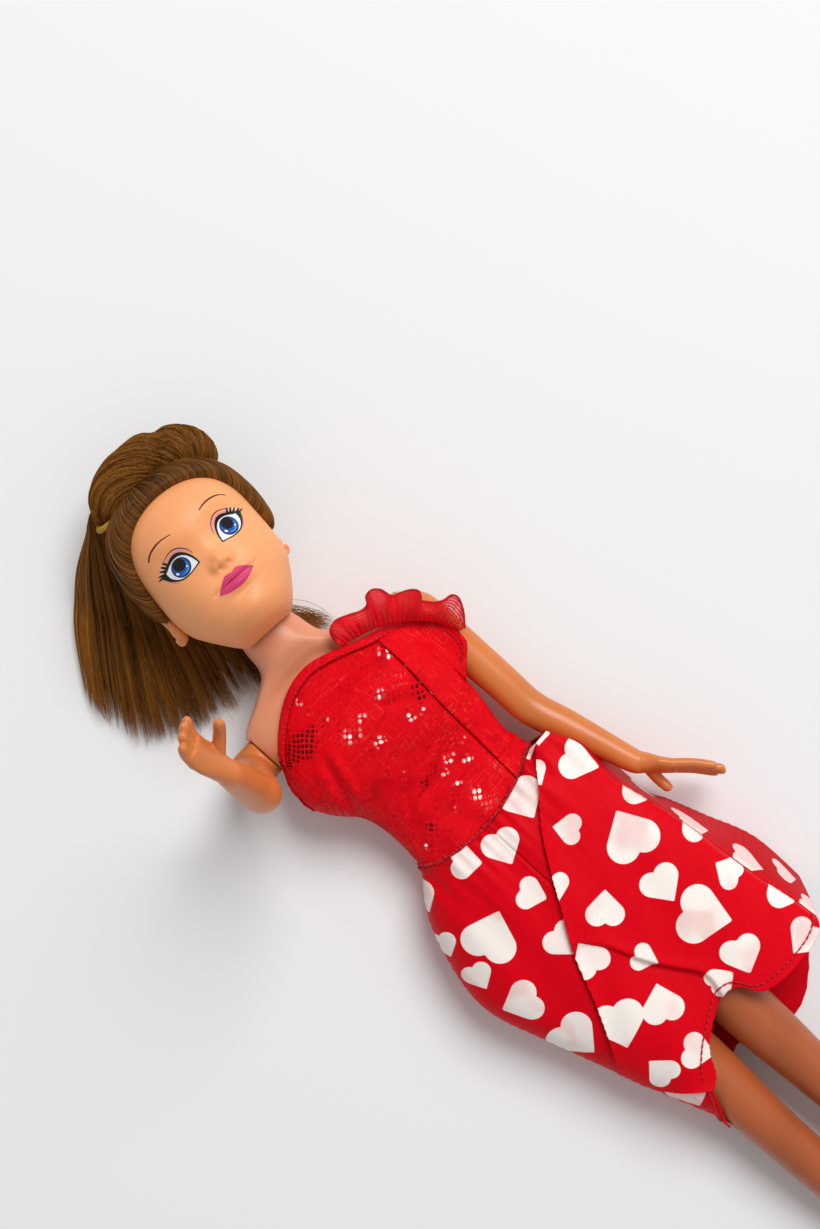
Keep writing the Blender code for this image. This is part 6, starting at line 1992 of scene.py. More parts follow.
def grid_piece(name, grid, thickness, offset=-1.0, values=None):
    """A sheet of cloth from rows of points, with UVs in millimetres along its own threads and a thickness."""
    rows, columns = len(grid), len(grid[0])
    points = np.array([[tuple(p) for p in row] for row in grid])
    across = np.linalg.norm(np.diff(points, axis=1), axis=2)
    along = np.linalg.norm(np.diff(points, axis=0), axis=2)
    u = np.concatenate([np.zeros((rows, 1)), np.cumsum(across, axis=1)], axis=1)
    v = np.concatenate([np.zeros((1, columns)), np.cumsum(along, axis=0)], axis=0)
    middle = columns // 2
    u = u - u[:, middle : middle + 1]
    uv = np.stack([u, v], axis=2).reshape(-1, 2) / MM
    piece = new_piece(name, mesh_of(name, points.reshape(-1, 3), grid_faces(rows, columns), uv))
    for key, numbers in (values or {}).items():
        layer = piece.data.attributes.new(key, "FLOAT", "POINT")
        layer.data.foreach_set("value", np.array(numbers, np.float32).ravel())
    shell = piece.modifiers.new("thickness", "SOLIDIFY")
    shell.thickness = thickness
    shell.offset = offset
    bpy.context.view_layer.update()
    settle(piece)
    width = float(across.sum(axis=1).max())
    length = float(along.sum(axis=0).max())
    first = np.cross(points[1:, :-1] - points[:-1, :-1], points[:-1, 1:] - points[:-1, :-1])
    second = np.cross(points[1:, :-1] - points[1:, 1:], points[:-1, 1:] - points[1:, 1:])
    area = float((np.linalg.norm(first, axis=2) + np.linalg.norm(second, axis=2)).sum() / 2)
    return piece, width, length, area


def stitch_row(name, path, outward, stitch, radius=0.00016):
    """Short stitches laid along a path of points, each a small closed capsule."""
    meshes = []
    total = [0.0]
    for a, b in zip(path, path[1:]):
        total.append(total[-1] + (b - a).length)
    lengths = np.array(total)
    place = np.array([tuple(p) for p in path])

    def at(distance):
        return Vector([float(np.interp(distance, lengths, place[:, k])) for k in range(3)])

    for number in range(int(total[-1] / stitch)):
        start = at((number + 0.12) * stitch)
        end = at((number + 0.88) * stitch)
        middle = start.lerp(end, 0.5) + outward * radius * 0.7
        points = [start - outward * radius, start, middle, end, end - outward * radius]
        meshes.append(ring_mesh("stitch", tube_rings(points, [radius * k for k in (0.5, 0.9, 1.1, 0.9, 0.5)], 6)))
    return join_meshes(name, meshes)


class Sew_bodice(Operator):
    """Sews the glitter bodice: front, side, two backs, closure tapes, hem and waist seam"""

    bl_idname = "doll.sew_bodice"
    bl_label = "Bodice"

    def panel(self, name, first, last, columns, rows, node):
        """A panel between two edges, each an angle as a function of y."""
        tops = []
        for column in range(columns + 1):
            share = column / columns
            tops.append(bodice_top(lambda y: lerp(first(y), last(y), share)))
        grid = []
        for row in range(rows + 1):
            line = []
            for column in range(columns + 1):
                share = column / columns
                y = lerp(WAIST_SEAM_Y, tops[column], row / rows)
                angle = lerp(first(y), last(y), share)
                facing = max(0, math.sin(angle))
                start = waist_y(bodice_point(y, angle).x, min(1, facing * 1.6))
                y = lerp(start, tops[column], row / rows)
                spot = bodice_point(y, lerp(first(y), last(y), share))
                spot.z += bodice_wrinkle(spot.x, spot.y) * facing
                line.append(tucked(spot))
            grid.append(line)
        values = foil_values(grid)
        values["plain"] = [1.0 if node == "bodice_side" else 0.0] * len(values["glint"])
        piece, width, length, area = grid_piece(name, grid, CLOTH * 0.7, values=values)
        scene = bpy.context.scene
        dress(piece, bodice_material(scene.doll_colours, scene.doll_sizes), "torso", node, slot="bodice_knit")
        return grid

    def execute(self, context):
        colours = context.scene.doll_colours
        sizes = context.scene.doll_sizes
        right_side = math.pi + SIDE_TURN
        left_side = -SIDE_TURN
        self.panel(
            "bodice_front_panel",
            lambda y: right_side,
            lambda y: angle_at(seam_x(y) - 0.0001, y),
            110,
            110,
            "bodice_front",
        )
        self.panel(
            "bodice_side_panel", lambda y: angle_at(seam_x(y) + 0.0001, y), lambda y: left_side, 60, 110, "bodice_side"
        )
        knit = bodice_material(colours, sizes)
        self.sew_puff(knit)
        self.sew_armhole(knit, colours)
        top = SHOULDER_Y * 0.62
        for side, sign, edge in (("left", 1, PLACKET_HALF + GAP), ("right", -1, -PLACKET_HALF)):
            grid = []
            for row in range(41):
                y = lerp(WAIST_SEAM_Y, top, row / 40)
                line = []
                for column in range(41):
                    share = column / 40
                    side_angle = left_side if sign > 0 else -math.pi + SIDE_TURN
                    meet = -angle_at(edge, y)
                    line.append(tucked(bodice_point(y, lerp(side_angle, meet, share), -CLOTH * 0.1)))
                grid.append(line)
            piece, width, length, area = grid_piece(
                "bodice_back_panel_" + side, grid, CLOTH * 0.7, 1.0 if sign > 0 else -1.0
            )
            dress(piece, knit, "torso", "bodice_back_" + side, slot="bodice_knit")
        self.sew_closure(knit, top)
        self.sew_hem(colours, sizes)
        self.sew_waist(colours)
        return {"FINISHED"}

    def sew_puff(self, knit):
        """The cloth that stands out under the doll's raised right arm."""
        grid = []
        for row in range(61):
            y = lerp(PUFF_FOOT, ARMHOLE_HEAD, row / 60)
            first = angle_at(-PUFF_START, y)
            last = 2 * math.pi - first
            line = []
            for column in range(49):
                angle = lerp(first, last, column / 48)
                height = min(y, bodice_top(lambda _: angle)) if row > 30 else y
                spot = bodice_point(height, angle)
                spot.x = min(spot.x, -PUFF_START)
                facing = max(0, math.sin(angle))
                spot.z += bodice_wrinkle(spot.x, spot.y) * facing
                line.append(spot)
            grid.append(line)
        piece, width, length, area = grid_piece("bodice_puff_right", grid, CLOTH * 0.7, 1.0, foil_values(grid))
        dress(piece, knit, "torso")
        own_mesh(piece)

    def cloth_height(self, x, y):
        if x >= bodice_half(y, 1) * 0.999:
            return 0.0
        angle = angle_at(x, y)
        return bodice_point(y, angle).z + bodice_wrinkle(x, y) * math.sin(angle)

    def sew_armhole(self, knit, colours):
        """The armhole edge that lies over the doll's left arm, with its turned edge."""
        grid = []
        edge = []
        for row in range(81):
            y = lerp(ARMHOLE_FOOT, ARMHOLE_HEAD, row / 80)
            begin = seam_x(y) + 0.0003
            out = float(np.interp(y, ARMHOLE[:, 0], ARMHOLE[:, 1]))
            rest = ARM_TOP + 0.0008
            line = []
            top = self.cloth_height(FLAP_START, y)
            for column in range(61):
                x = lerp(begin, out, column / 60)
                drop = max(0, min(1, (x - FLAP_START) / 0.0090))
                loose = lerp(top - 0.0005, rest, drop * drop * (3 - 2 * drop))
                under = self.cloth_height(x, y) + 0.00012
                gap = max(0, 0.0008 - abs(loose - under)) / 0.0008
                z = max(loose, under) + gap * gap * 0.0002
                low = slope(0.0235 - y, 0.006)
                side = self.cloth_height(x, y) + 0.00012
                line.append(Vector((x, min(y, neck_y(x)), lerp(z, side if side > 0.001 else z, low))))
            grid.append(line)
            if y > 0.0245:
                edge.append(line[-1] + Vector((-0.0003, 0, 0.0001)))
        values = {"plain": [1.0] * (len(grid) * len(grid[0]))}
        piece, width, length, area = grid_piece("armhole_cloth_left", grid, CLOTH * 0.7, 1.0, values)
        dress(piece, knit, "torso")
        radii = [0.00075 + 0.00010 * math.sin(i * 0.9) + 0.00006 * math.sin(i * 2.3) for i in range(len(edge))]
        roll = new_piece("armhole_turned_edge", ring_mesh("armhole_turned_edge", tube_rings(edge, radii, 12)))
        dress(roll, knit, "torso")
        stitches = stitch_row(
            "armhole_stitches", [p + Vector((-0.0012, 0, 0.0006)) for p in edge], Vector((0, 0, 1)), 0.0012
        )
        dress(stitches, thread_material(colours), "torso")
        for each in (piece, roll, stitches):
            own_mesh(each)

    def sew_closure(self, knit, top):
        """The two tapes inside the lap and the placket that covers them."""
        tape = moulded_material("closure tape", (0.55, 0.02, 0.03), (0.45, 0.01, 0.02), 0.8)
        for name, node, height, material in (
            ("hook_strip", "hook_tape", CLOTH * 2 + GAP, tape),
            ("loop_strip", "loop_tape", CLOTH * 2 + GAP * 4, tape),
            ("back_placket", None, CLOTH, knit),
        ):
            wide = PLACKET_HALF - GAP
            grid = []
            for row in range(25):
                y = lerp(WAIST_SEAM_Y + 2 * CLOTH, top - 2 * CLOTH, row / 24)
                grid.append([Vector((lerp(-wide, wide, k / 8), y, height)) for k in range(9)])
            piece, width, length, area = grid_piece(name, grid, CLOTH * 0.6)
            dress(piece, material, "torso", *([node] if node else []))

    def sew_hem(self, colours, sizes):
        """The turned hem along the neckline, with its stitches."""
        line = [p for p in NECKLINE if HEM_ENDS[0] < p[0] < HEM_ENDS[1]]
        edge = []
        inner = []
        for x, y in line:
            height = bodice_point(y, angle_at(x, y)).z
            if x > 0:
                height = max(height, ARM_TOP + 0.0010)
            low = y - 0.0023
            edge.append(Vector((x, y + 0.0003, height + 0.0001)))
            inner.append(Vector((x, low, bodice_point(low, angle_at(x, low)).z + 0.0006 + bodice_wrinkle(x, low))))
        grid = []
        for k in range(13):
            share = k / 12
            row = []
            for a, b in zip(edge, inner):
                spot = a.lerp(b, share)
                spot.z += 0.0010 * math.sqrt(max(0, 1 - (2 * share - 1) ** 2)) + 0.00012 * math.sin(a.x * 2600)
                row.append(spot)
            grid.append(row)
        piece, width, length, area = grid_piece("neckline_fold", grid, CLOTH * 0.6, 1.0)
        dress(piece, bodice_material(colours, sizes), "torso", "neckline_hem", slot="bodice_knit")
        path = [a.lerp(b, 0.80) + Vector((0, 0, 0.0008)) for a, b in zip(edge, inner)]
        stitches = stitch_row("neckline_stitches", path, Vector((0, 0, 1)), sizes.stitch * 0.8)
        dress(stitches, thread_material(colours), "torso")

    def sew_waist(self, colours):
        """The gathered seam allowance between bodice and skirt."""
        path = []
        for step in range(720):
            angle = -math.pi / 2 + 2 * math.pi * (step + 0.5) / 720
            facing = max(0, math.sin(angle))
            x = bodice_point(WAIST_SEAM_Y, angle).x
            y = waist_y(x, min(1, facing * 1.6)) - 0.0004
            spot = bodice_point(y, angle)
            spot.z = max(spot.z + 0.0001, CLOTH + SEAM_RADIUS)
            if abs(spot.x) > PLACKET_HALF + 2 * SEAM_RADIUS or spot.z > JOINT_HEIGHT:
                path.append(spot)
        random = dice(9)
        radii = []
        along = 0
        for i, spot in enumerate(path):
            if i:
                along += (path[i] - path[i - 1]).length
            pulse = math.sin(along * 3900) * 0.5 + math.sin(along * 6700 + 2) * 0.35
            radii.append(SEAM_RADIUS * (0.55 + 0.26 * pulse))
            spot.y += 0.00020 * math.sin(along * 2300) + 0.00015 * math.sin(along * 5100 + 1)
        seam = new_piece("waist_gathers", ring_mesh("waist_gathers", tube_rings(path, radii, 12)))
        dress(seam, thread_material(colours), "torso", "waist_seam", slot="bodice_knit")
        paths = []
        for _ in range(260):
            i = int(random.uniform(5, len(path) - 5))
            start = path[i]
            out = Vector((random.normal(0, 0.5), random.uniform(-1.0, 0.8), random.uniform(0.1, 0.7))).normalized()
            curl = Vector((random.normal(0, 1), random.normal(0, 1), random.normal(0, 0.5))) * 0.0003
            size = random.uniform(0.0006, 0.0015)
            paths.append([start + out * size * k / 7 + curl * (k / 7) ** 2 for k in range(8)])
        threads = new_piece("frayed_threads", strand_mesh("frayed_threads", paths, 0.00007, [0.5] * len(paths)))
        dress(threads, thread_material(colours), "torso")


# Millimetres: the seam of the ruffle along the neckline, and its rim, which folds back over itself twice.
RUFFLE_SEAM = (
    (9.0, 50.6, 23.4), (10.9, 50.1, 23.6), (13.4, 49.2, 23.8), (16.1, 48.2, 23.9), (19.1, 46.7, 23.6),
    (21.6, 44.9, 23.2), (24.0, 43.0, 22.5), (26.1, 40.9, 21.6), (28.6, 37.7, 20.3), (29.9, 34.9, 19.4),
    (30.6, 32.0, 18.7),
)
RUFFLE_RIM = (
    (8.7, 52.9, 24.2), (9.7, 55.2, 24.8), (12.4, 56.0, 25.3), (15.6, 54.6, 25.6), (18.4, 53.0, 25.7),
    (20.6, 52.9, 26.3), (21.9, 54.4, 27.1), (23.9, 54.4, 27.4), (25.4, 52.8, 26.9), (25.8, 50.6, 25.6),
    (26.4, 49.6, 24.6), (28.3, 48.7, 25.1), (30.4, 47.3, 26.0), (31.3, 45.8, 26.0), (30.7, 44.6, 24.8),
    (30.0, 43.9, 23.2), (30.6, 42.9, 21.9), (32.0, 41.0, 21.5), (33.8, 39.8, 21.9), (36.0, 39.2, 22.2),
    (36.6, 37.4, 22.0), (35.0, 34.4, 21.0), (32.2, 31.4, 19.8),
)


def evenly(rows, count):
    """Points at equal shares of the way along a smooth line through the rows."""
    line = np.array(in_metres(rows, 12))
    ways = np.concatenate([[0], np.cumsum(np.linalg.norm(np.diff(line, axis=0), axis=1))])
    at = np.linspace(0, ways[-1], count)
    return [Vector(tuple(float(np.interp(a, ways, line[:, k])) for k in range(3))) for a in at]


class Gather_ruffle(Operator):
    """Gathers the net ruffle over the doll's left shoulder"""

    bl_idname = "doll.gather_ruffle"
    bl_label = "Shoulder ruffle"

    def execute(self, context):
        colours = context.scene.doll_colours
        count = 300
        seam = evenly(RUFFLE_SEAM, count)
        rim = evenly(RUFFLE_RIM, count)
        columns = 30
        grid = []
        edge = []
        for i, (low, high) in enumerate(zip(seam, rim)):
            share = i / (count - 1)
            side = (seam[min(i + 1, count - 1)] - seam[max(i - 1, 0)]).normalized()
            line = []
            for column in range(columns + 1):
                reach = column / columns
                belly = 0.0016 * math.sin(math.pi * reach) * (1 - 0.5 * share)
                pucker = 0.00034 * math.sin(share * 170) * (1 - reach) ** 1.5
                pucker += 0.00016 * math.sin(share * 90 + 2) * reach
                sideways = side * 0.0005 * math.sin(share * 70) * reach * (1 - reach)
                spot = low.lerp(high, reach) + Vector((0, 0, belly + pucker)) + sideways
                spot.z = max(spot.z, ARM_TOP + 0.0008 if spot.x > 0.024 else 0)
                line.append(spot)
                gathered = slope(0.80 - share, 0.10)
                dense = 0.72 * gathered + 0.25 * math.sin(share * 40 + reach * 3) * gathered
                edge.append(min(1, max(dense, 1 - reach * 9, (reach - 0.955) * 18)))
            grid.append(line)
        piece, width, length, area = grid_piece("ruffle_frill", grid, 0.00010, 0.0, {"close_weave": edge})
        dress(piece, net_material(colours), "torso", "shoulder_ruffle", slot="ruffle_net")
        rim = [line[-1] for line in grid]
        rings = tube_rings(rim, [0.00028 + 0.00005 * math.sin(i * 1.9) for i in range(len(rim))], 8)
        roll = new_piece("ruffle_rolled_edge", ring_mesh("ruffle_rolled_edge", rings))
        dress(roll, thread_material(colours), "torso")
        for each in (piece, roll):
            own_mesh(each)
        return {"FINISHED"}


# Skirt


def edge_rows(downs, outs):
    """(y, x) rows from shares of the skirt's length and of the cloth's reach beyond the thigh."""
    thigh = LEG_X + THIGH_HALF
    return [(-SKIRT_LENGTH * down, lerp(thigh, SKIRT_HALF, out)) for down, out in zip(downs, outs)]


def skirt_edges(side):
    """(y, x) rows of the skirt's silhouette on one side, and of the foot of the cloth below it."""
    downs = (0.02, 0.12, 0.28, 0.40, 0.55, 0.70, 0.80, 1)
    outs = (0.214, 0.617, 0.908, 0.954, 0.745, 0.516, 0.362, 0.014)
    if side == "right":
        top = [(y, -x) for y, x in edge_rows(downs, outs)]
        return top, [(y, x * 0.97) for y, x in top]
    downs = (0.02, 0.06, 0.12, 0.32, 0.38, 0.49, 0.63, 0.82)
    outs = (0.324, 0.635, 0.817, 0.836, 0.945, 1.128, 1.347, 1.347)
    foot_outs = (0.251, 0.379, 0.525, 0.763, 0.927, 1.128, 1.329, 1.311)
    return edge_rows(downs, outs), edge_rows(downs, foot_outs)


# Millimetres, from the waist down: y and x of the fold where the left side turns under, then of the wrapped edge,
# of the crease and, as x and y, of the hems.
RIDGE = in_metres((
    (2.5, 25.4), (-2, 27.6), (-8.3, 30.0), (-14, 29.4), (-21.1, 29.3), (-37.4, 32.5), (-52.8, 33.9), (-62, 34.9),
    (-73.7, 36.7), (-80.7, 37.4), (-92, 38.5),
))
OVERLAP = in_metres((
    (3.5, 26.6), (-5, 18.0), (-14.3, 8.9), (-22.5, 2.8), (-30.2, -2.1), (-40.3, -8.5), (-54.2, -14.9), (-64, -20.2),
    (-71.5, -24.8), (-75, -24.2), (-80, -20.9), (-84, -17.2), (-89.4, -10.6), (-96, -4.0),
))
CREASE = in_metres(((-36, -11), (-44, -3.2), (-54.5, 1.0), (-62, 5.0), (-69.1, 8.6), (-78.7, 6.0)))
EDGES = {
    "left": (RIDGE, smooth_rows(skirt_edges("left")[0], 6)),
    "right": tuple(smooth_rows(rows, 6) for rows in skirt_edges("right")),
}
FRONT_HEM = in_metres((
    (43, -75), (33.6, -83.3), (16.8, -82.4), (11.8, -76.3), (6.8, -75.4), (-3.6, -80.9), (-9.3, -85.6), (-11.6, -90.0),
    (-15.4, -98.5), (-16.5, -100.8), (-26, -101),
))
WRAP_HEM = in_metres((
    (43, -75), (33.6, -83.3), (16.8, -82.4), (11.8, -76.3), (6.8, -75.4), (-3.6, -80.9), (-10.4, -88.6), (-30, -89.6),
))
BACK_HEM = in_metres(((43, -75), (28.6, -91.2), (15.8, -97.9), (0, -92.2), (-16.5, -100.8)))


def skirt_lift(x, y):
    """The folds of the front, apart from the wrapped edge itself."""
    fold = SKIRT_FOLD
    down = min(1, max(0, -y / SKIRT_LENGTH))
    lift = 0
    if down > 0.37:
        below = slope(table_at(CREASE, y) - x, 0.35 * fold) * slope(x - table_at(OVERLAP, y), fold)
        deep = fold * 1.3 * min(1, (down - 0.37) * 5)
        near = math.exp(-max(0, table_at(CREASE, y) - x) / 0.009)
        lift -= deep * below * near
        lift += deep * 0.35 * math.exp(-(((x - table_at(CREASE, y)) / 0.0030) ** 2)) * (1 - below)
    gather = math.exp(-down * 7)
    lift += fold * 0.9 * gather * math.sin(x / SKIRT_HALF * 16)
    lift += fold * 0.60 * math.exp(-down * 13) * math.sin(x / SKIRT_HALF * 61 + 1.4 + 4 * math.sin(x / SKIRT_HALF * 5))
    lift += 0.0024 * bell(x, y, 0.0245, 0.0005, 0.0030, 0.0050) - 0.0012 * bell(x, y, 0.0190, -0.0030, 0.0022, 0.0060)
    lift += fold * 0.7 * math.sin(x / SKIRT_HALF * 7 + down * 5) * down
    lift += fold * 0.16 * math.sin(x / SKIRT_HALF * 19 + down * 23 + 2 * math.sin(down * 9))
    return lift


def skirt_top(y):
    down = -y / SKIRT_LENGTH
    return lerp(SKIRT_WAIST_FRONT, SKIRT_FRONT, slope(down - 0.06, 0.05)) - SKIRT_DROOP * max(0, down - 0.35)


def skirt_start(x):
    return waist_y(min(x, BODICE_WAIST_HALF), 1.0) - 0.0006


def skirt_low(side, down):
    """The height at which the side of the cloth begins to fall."""
    if side == "left":
        return lerp(0.0196, 0.0172, min(1, down * 1.1))
    return SKIRT_SIDE_LOW


def skirt_point(side, around, down):
    """A point of the cloth. Around runs from the front's middle (0) over the side to the back's middle (3)."""
    top, foot = EDGES[side]
    turn = math.pi / 2 * (1 - min(around, 1))
    guess = 0.0
    y = 0
    for step in range(14):
        if around <= 1:
            aim = lerp(skirt_start(guess), table_at(FRONT_HEM, guess), down)
            y = lerp(y, aim, 0.55 if step else 1)
            guess = table_at(top, y) * math.cos(turn) ** 0.85
        else:
            edge = table_at(top, y)
            back_x = lerp(table_at(foot, y), 0.0, max(0, around - 2))
            hem = lerp(table_at(FRONT_HEM, edge), table_at(BACK_HEM, back_x), min(1, around - 1))
            start = lerp(skirt_start(edge), WAIST_SEAM_Y - 0.0006, min(1, around - 1))
            y = lerp(y, lerp(start, hem, down), 0.55 if step else 1)
    edge = table_at(top, y)
    low = skirt_low(side, down)
    if around <= 1:
        z = low + (skirt_top(y) - low) * math.sin(turn) ** 0.62
        return Vector((guess, y, z + skirt_lift(guess, y) * math.sin(turn) ** 0.5))
    if around <= 2:
        share = around - 1
        if side == "left":
            return Vector((lerp(edge, table_at(foot, y), share**0.8), y, lerp(low, CLOTH, share)))
        return Vector((lerp(edge, table_at(foot, y), min(1, share * 3.5)), y, lerp(low, CLOTH, share)))
    return Vector((lerp(table_at(foot, y), 0.0, around - 2), y, CLOTH))


def heart_distances(places, layers):
    """The signed distance in millimetres from each place to the nearest printed heart of its layer."""
    nearest = np.full(len(places), 9.0)
    for layer, x, y, width, direction in HEARTS:
        aim = math.radians(direction)
        up = np.array((-math.cos(aim), -math.sin(aim)))
        side = np.array((-up[1], up[0]))
        scale = width / 1.207
        offset = (places - np.array((x, y))) / scale
        px = np.abs(offset @ side)
        py = offset @ up + 0.56
        lobes = np.hypot(px - 0.25, py - 0.75) - math.sqrt(2) / 4
        half = np.maximum(px + py, 0) / 2
        edge = np.sqrt(np.minimum(px**2 + (py - 1) ** 2, (px - half) ** 2 + (py - half) ** 2)) * np.sign(px - py)
        distance = np.where(px + py > 1, lobes, edge) * scale
        here = (layers < 0) | (layers == layer)
        nearest = np.where(here, np.minimum(nearest, distance), nearest)
    return nearest


class Drape_skirt(Operator):
    """Drapes the satin skirt over both legs, with its wrapped edge, hems and printed hearts"""

    bl_idname = "doll.drape_skirt"
    bl_label = "Skirt"

    def execute(self, context):
        colours = context.scene.doll_colours
        sizes = context.scene.doll_sizes
        for side, sign in (("left", 1), ("right", -1)):
            self.drape_panel(side, sign, colours)
            self.wrap_panel(side, colours)
        self.sew_hems(colours, sizes)
        return {"FINISHED"}

    def bend(self, piece, side):
        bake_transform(piece)

    def drape_panel(self, side, sign, colours):
        """The whole panel from the middle of the front round to the middle of the back."""
        stations = [k / 90 for k in range(90)] + [1 + k / 60 for k in range(60)] + [2 + k / 30 for k in range(31)]
        rows = 170
        grid = []
        places = []
        layers = []
        shades = []
        for row in range(rows + 1):
            down = row / rows
            line = []
            for around in stations:
                spot = skirt_point(side, around, down)
                flat = [spot.x, spot.y]
                if around <= 1:
                    covered = spot.x - table_at(OVERLAP, spot.y)
                    spot.z -= 0.0004 * slope(covered - 0.0012, 0.0004)
                    layers.append(0)
                    shades.append(0.45 * math.exp(min(0, covered) / 0.0030) + 0.25 * math.exp(-down * 9))
                elif around <= 2:
                    edge = table_at(EDGES[side][0], spot.y)
                    run = math.hypot(table_at(EDGES[side][1], spot.y) - edge, skirt_low(side, down))
                    flat[0] = edge + sign * (around - 1) * (run if side == "left" else 0.016)
                    layers.append(2 if side == "left" else 0)
                    shades.append(0.8 * min(1, (around - 1) * 9) if side == "left" else 0.2)
                else:
                    flat[0] = -sign * 0.004 - spot.x
                    layers.append(-1)
                    shades.append(0.5)
                places.append((flat[0] / MM, flat[1] / MM))
                line.append(spot)
            grid.append(line)
        distance = heart_distances(np.array(places), np.array(layers))
        offset = -1 if side == "right" else 1
        piece, width, length, area = grid_piece(
            "skirt_panel_" + side, grid, 0.00035, offset, {"heart_distance": distance, "fold_shade": shades}
        )
        dress(piece, satin_material(colours), None, "skirt_" + side, slot="skirt_satin")
        self.bend(piece, side)

    def wrap_panel(self, side, colours):
        """The layer that wraps over the front, from its own edge to the side."""
        rows = 180
        columns = 90
        grid = []
        places = []
        shades = []
        top = next(y for y in np.arange(0, -0.05, -0.0002) if table_at(OVERLAP, y) < -0.00005)
        begin = 0 if side == "left" else (top - skirt_start(0)) / (table_at(WRAP_HEM, 0) - skirt_start(0))
        for row in range(rows + 1):
            down = lerp(begin, 1, row / rows)
            line = []
            for column in range(columns + 1):
                share = column / columns
                share = share * share * (1.6 - 0.6 * share) if side == "left" else share
                y = lerp(skirt_start(0), -0.085, down)
                for _ in range(12):
                    start = table_at(OVERLAP, y)
                    edge = table_at(EDGES[side][0], y)
                    if side == "left":
                        first = max(start, 0.0)
                        x = lerp(first, max(edge, first), share)
                    else:
                        first = min(start, -0.00002)
                        x = lerp(max(first, edge + 0.0004), 0.0, share)
                    y = lerp(y, lerp(skirt_start(x), table_at(WRAP_HEM, x), down), 0.6)
                spread = min(0.9999, max(0, abs(x) / max(1e-6, abs(edge))))
                turn = math.acos(min(1, spread ** (1 / 0.85)))
                low = skirt_low(side, down)
                rise = math.sin(turn)
                z = low + (skirt_top(y) - low) * rise**0.62 + skirt_lift(x, y) * rise**0.5
                near = max(0, x - start)
                z += 0.00045 + 0.0011 * math.exp(-near / 0.0030) * min(1, rise * 3)
                line.append(Vector((x, y, z)))
                places.append((x / MM, y / MM))
                below = slope(table_at(CREASE, y) - x, 0.0008) * slope(-0.036 - y, 0.004)
                shades.append(
                    0.35 * below * math.exp(-max(0, table_at(CREASE, y) - x) / 0.0035) + 0.15 * math.exp(-down * 9)
                )
            grid.append(line)
        distance = heart_distances(np.array(places), np.ones(len(places)))
        piece, width, length, area = grid_piece(
            "skirt_wrap_" + side, grid, 0.00030, 1, {"heart_distance": distance, "fold_shade": shades}
        )
        dress(piece, satin_material(colours), None)
        self.bend(piece, side)

    def sew_hems(self, colours, sizes):
        """The stitches along the turned hem of the front of each panel."""
        for side in ("left", "right"):
            path = []
            for k in range(120):
                around = 0.995 * k / 119
                spot = skirt_point(side, around, 0.972)
                path.append(spot + Vector((0, 0, 0.0007)))
            piece = stitch_row("hem_stitches_" + side, path, Vector((0, 0, 1)), sizes.stitch, 0.00021)
            dress(piece, thread_material(colours), None)
            self.bend(piece, side)


# Stage


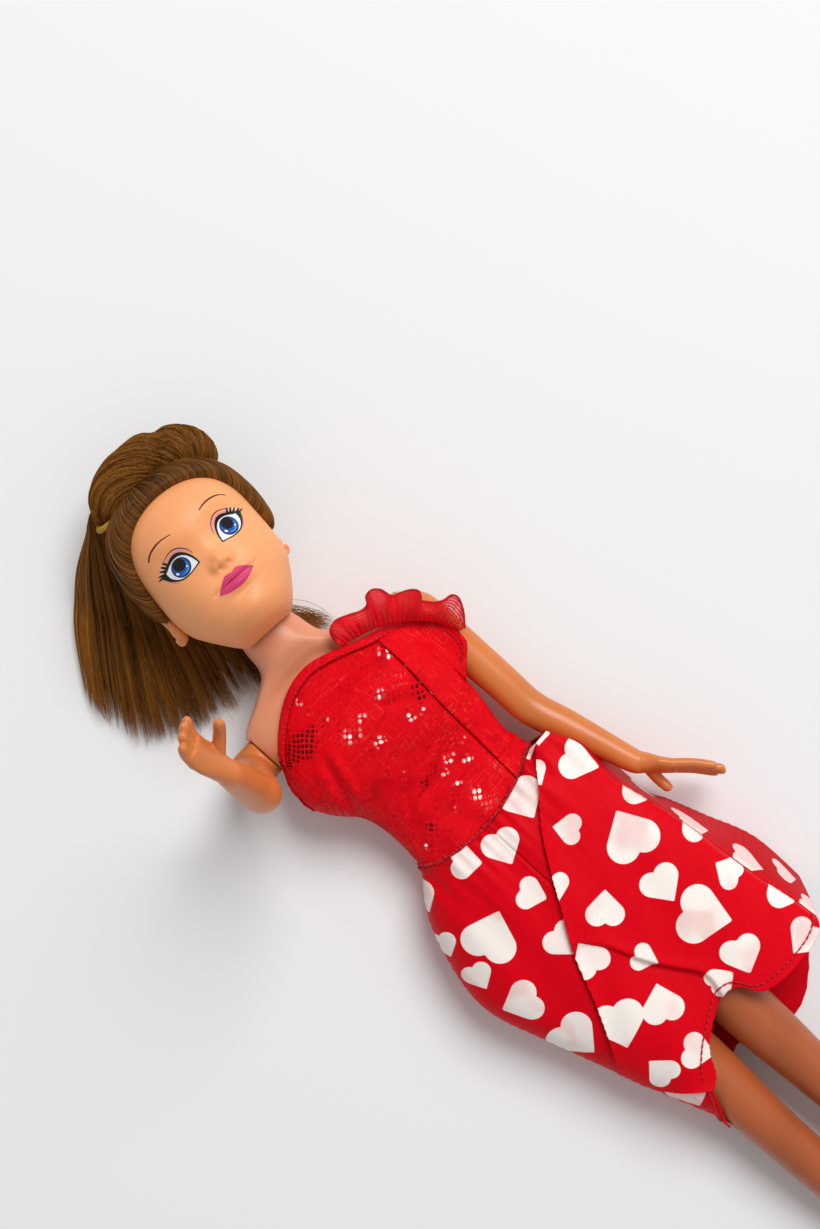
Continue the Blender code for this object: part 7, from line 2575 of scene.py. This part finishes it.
class Set_stage(Operator):
    """Lays the pale floor and sets the lights and the camera"""

    bl_idname = "doll.set_stage"
    bl_label = "Stage"

    def execute(self, context):
        colours = context.scene.doll_colours
        sizes = context.scene.doll_sizes
        half = FLOOR_SIZE / 2
        floor = new_piece(
            "floor",
            mesh_of("floor", [(-half, -half, 0), (half, -half, 0), (half, half, 0), (-half, half, 0)], [(0, 1, 2, 3)]),
        )
        floor.data.materials.append(self.floor_material(colours))
        key_data = bpy.data.lights.new("key_light", "AREA")
        key_data.shape = "DISK"
        key_data.size = KEY_SIZE
        key_data.energy = sizes.key_power * 10
        key = bpy.data.objects.new("key_light", key_data)
        context.scene.collection.objects.link(key)
        place = Vector(KEY_FROM).normalized() * KEY_DISTANCE + Vector((0, 0, 0.01))
        key.matrix_world = Matrix.Translation(place) @ place.to_track_quat("Z", "Y").to_matrix().to_4x4()
        camera_data = bpy.data.cameras.new("camera")
        camera_data.lens = CAMERA_LENS
        camera = bpy.data.objects.new("camera", camera_data)
        context.scene.collection.objects.link(camera)
        right = Vector(CAMERA_RIGHT).normalized()
        up = Vector(CAMERA_UP).normalized()
        turn = Matrix((right, up, right.cross(up))).transposed().to_4x4()
        camera.matrix_world = Matrix.Translation(CAMERA_PLACE) @ turn
        context.scene.camera = camera
        world = bpy.data.worlds.new("studio")
        world.use_nodes = True
        background = world.node_tree.nodes["Background"]
        background.inputs["Color"].default_value = (1, 1, 1, 1)
        background.inputs["Strength"].default_value = sizes.fill_strength
        context.scene.world = world
        context.scene.view_settings.view_transform = "Standard"
        return {"FINISHED"}

    def floor_material(self, colours):
        material, graph, shader = start_material("pale floor", Roughness=0.9)
        where = graph.doll_place()
        uneven = graph.noise(where, 14.0, 3.0)
        graph.feed(shader.inputs["Base Color"], graph.mix(uneven, solid(colours.floor), tone(colours.floor, 0.99)))
        return material


class Doll_panel(Panel):
    """Lists what the doll is made of"""

    bl_idname = "VIEW3D_PT_doll"
    bl_label = "Fashion doll"
    bl_space_type = "VIEW_3D"
    bl_region_type = "UI"
    bl_category = "Doll"

    def draw(self, context):
        layout = self.layout
        for made in MAKERS:
            layout.operator(made.bl_idname)
        for settings in (context.scene.doll_sizes, context.scene.doll_colours):
            for name in settings.__annotations__:
                layout.prop(settings, name)


MAKERS = (
    Make_head, Paint_face, Lay_scalp_hair, Roll_bun, Spread_tail, Mould_torso, Mould_arms, Mould_legs,
    Sew_bodice, Gather_ruffle, Drape_skirt, Set_stage,
)
SETTINGS = (DollColours, DollSizes)


def register():
    for kind in (*SETTINGS, *MAKERS, Doll_panel):
        bpy.utils.register_class(kind)
    bpy.types.Scene.doll_colours = PointerProperty(type=DollColours)
    bpy.types.Scene.doll_sizes = PointerProperty(type=DollSizes)


def unregister():
    del bpy.types.Scene.doll_sizes
    del bpy.types.Scene.doll_colours
    for kind in reversed((*SETTINGS, *MAKERS, Doll_panel)):
        bpy.utils.unregister_class(kind)


def main():
    register()
    for made in MAKERS:
        group, name = made.bl_idname.split(".")
        getattr(getattr(bpy.ops, group), name)()


if __name__ == "__main__":
    main()
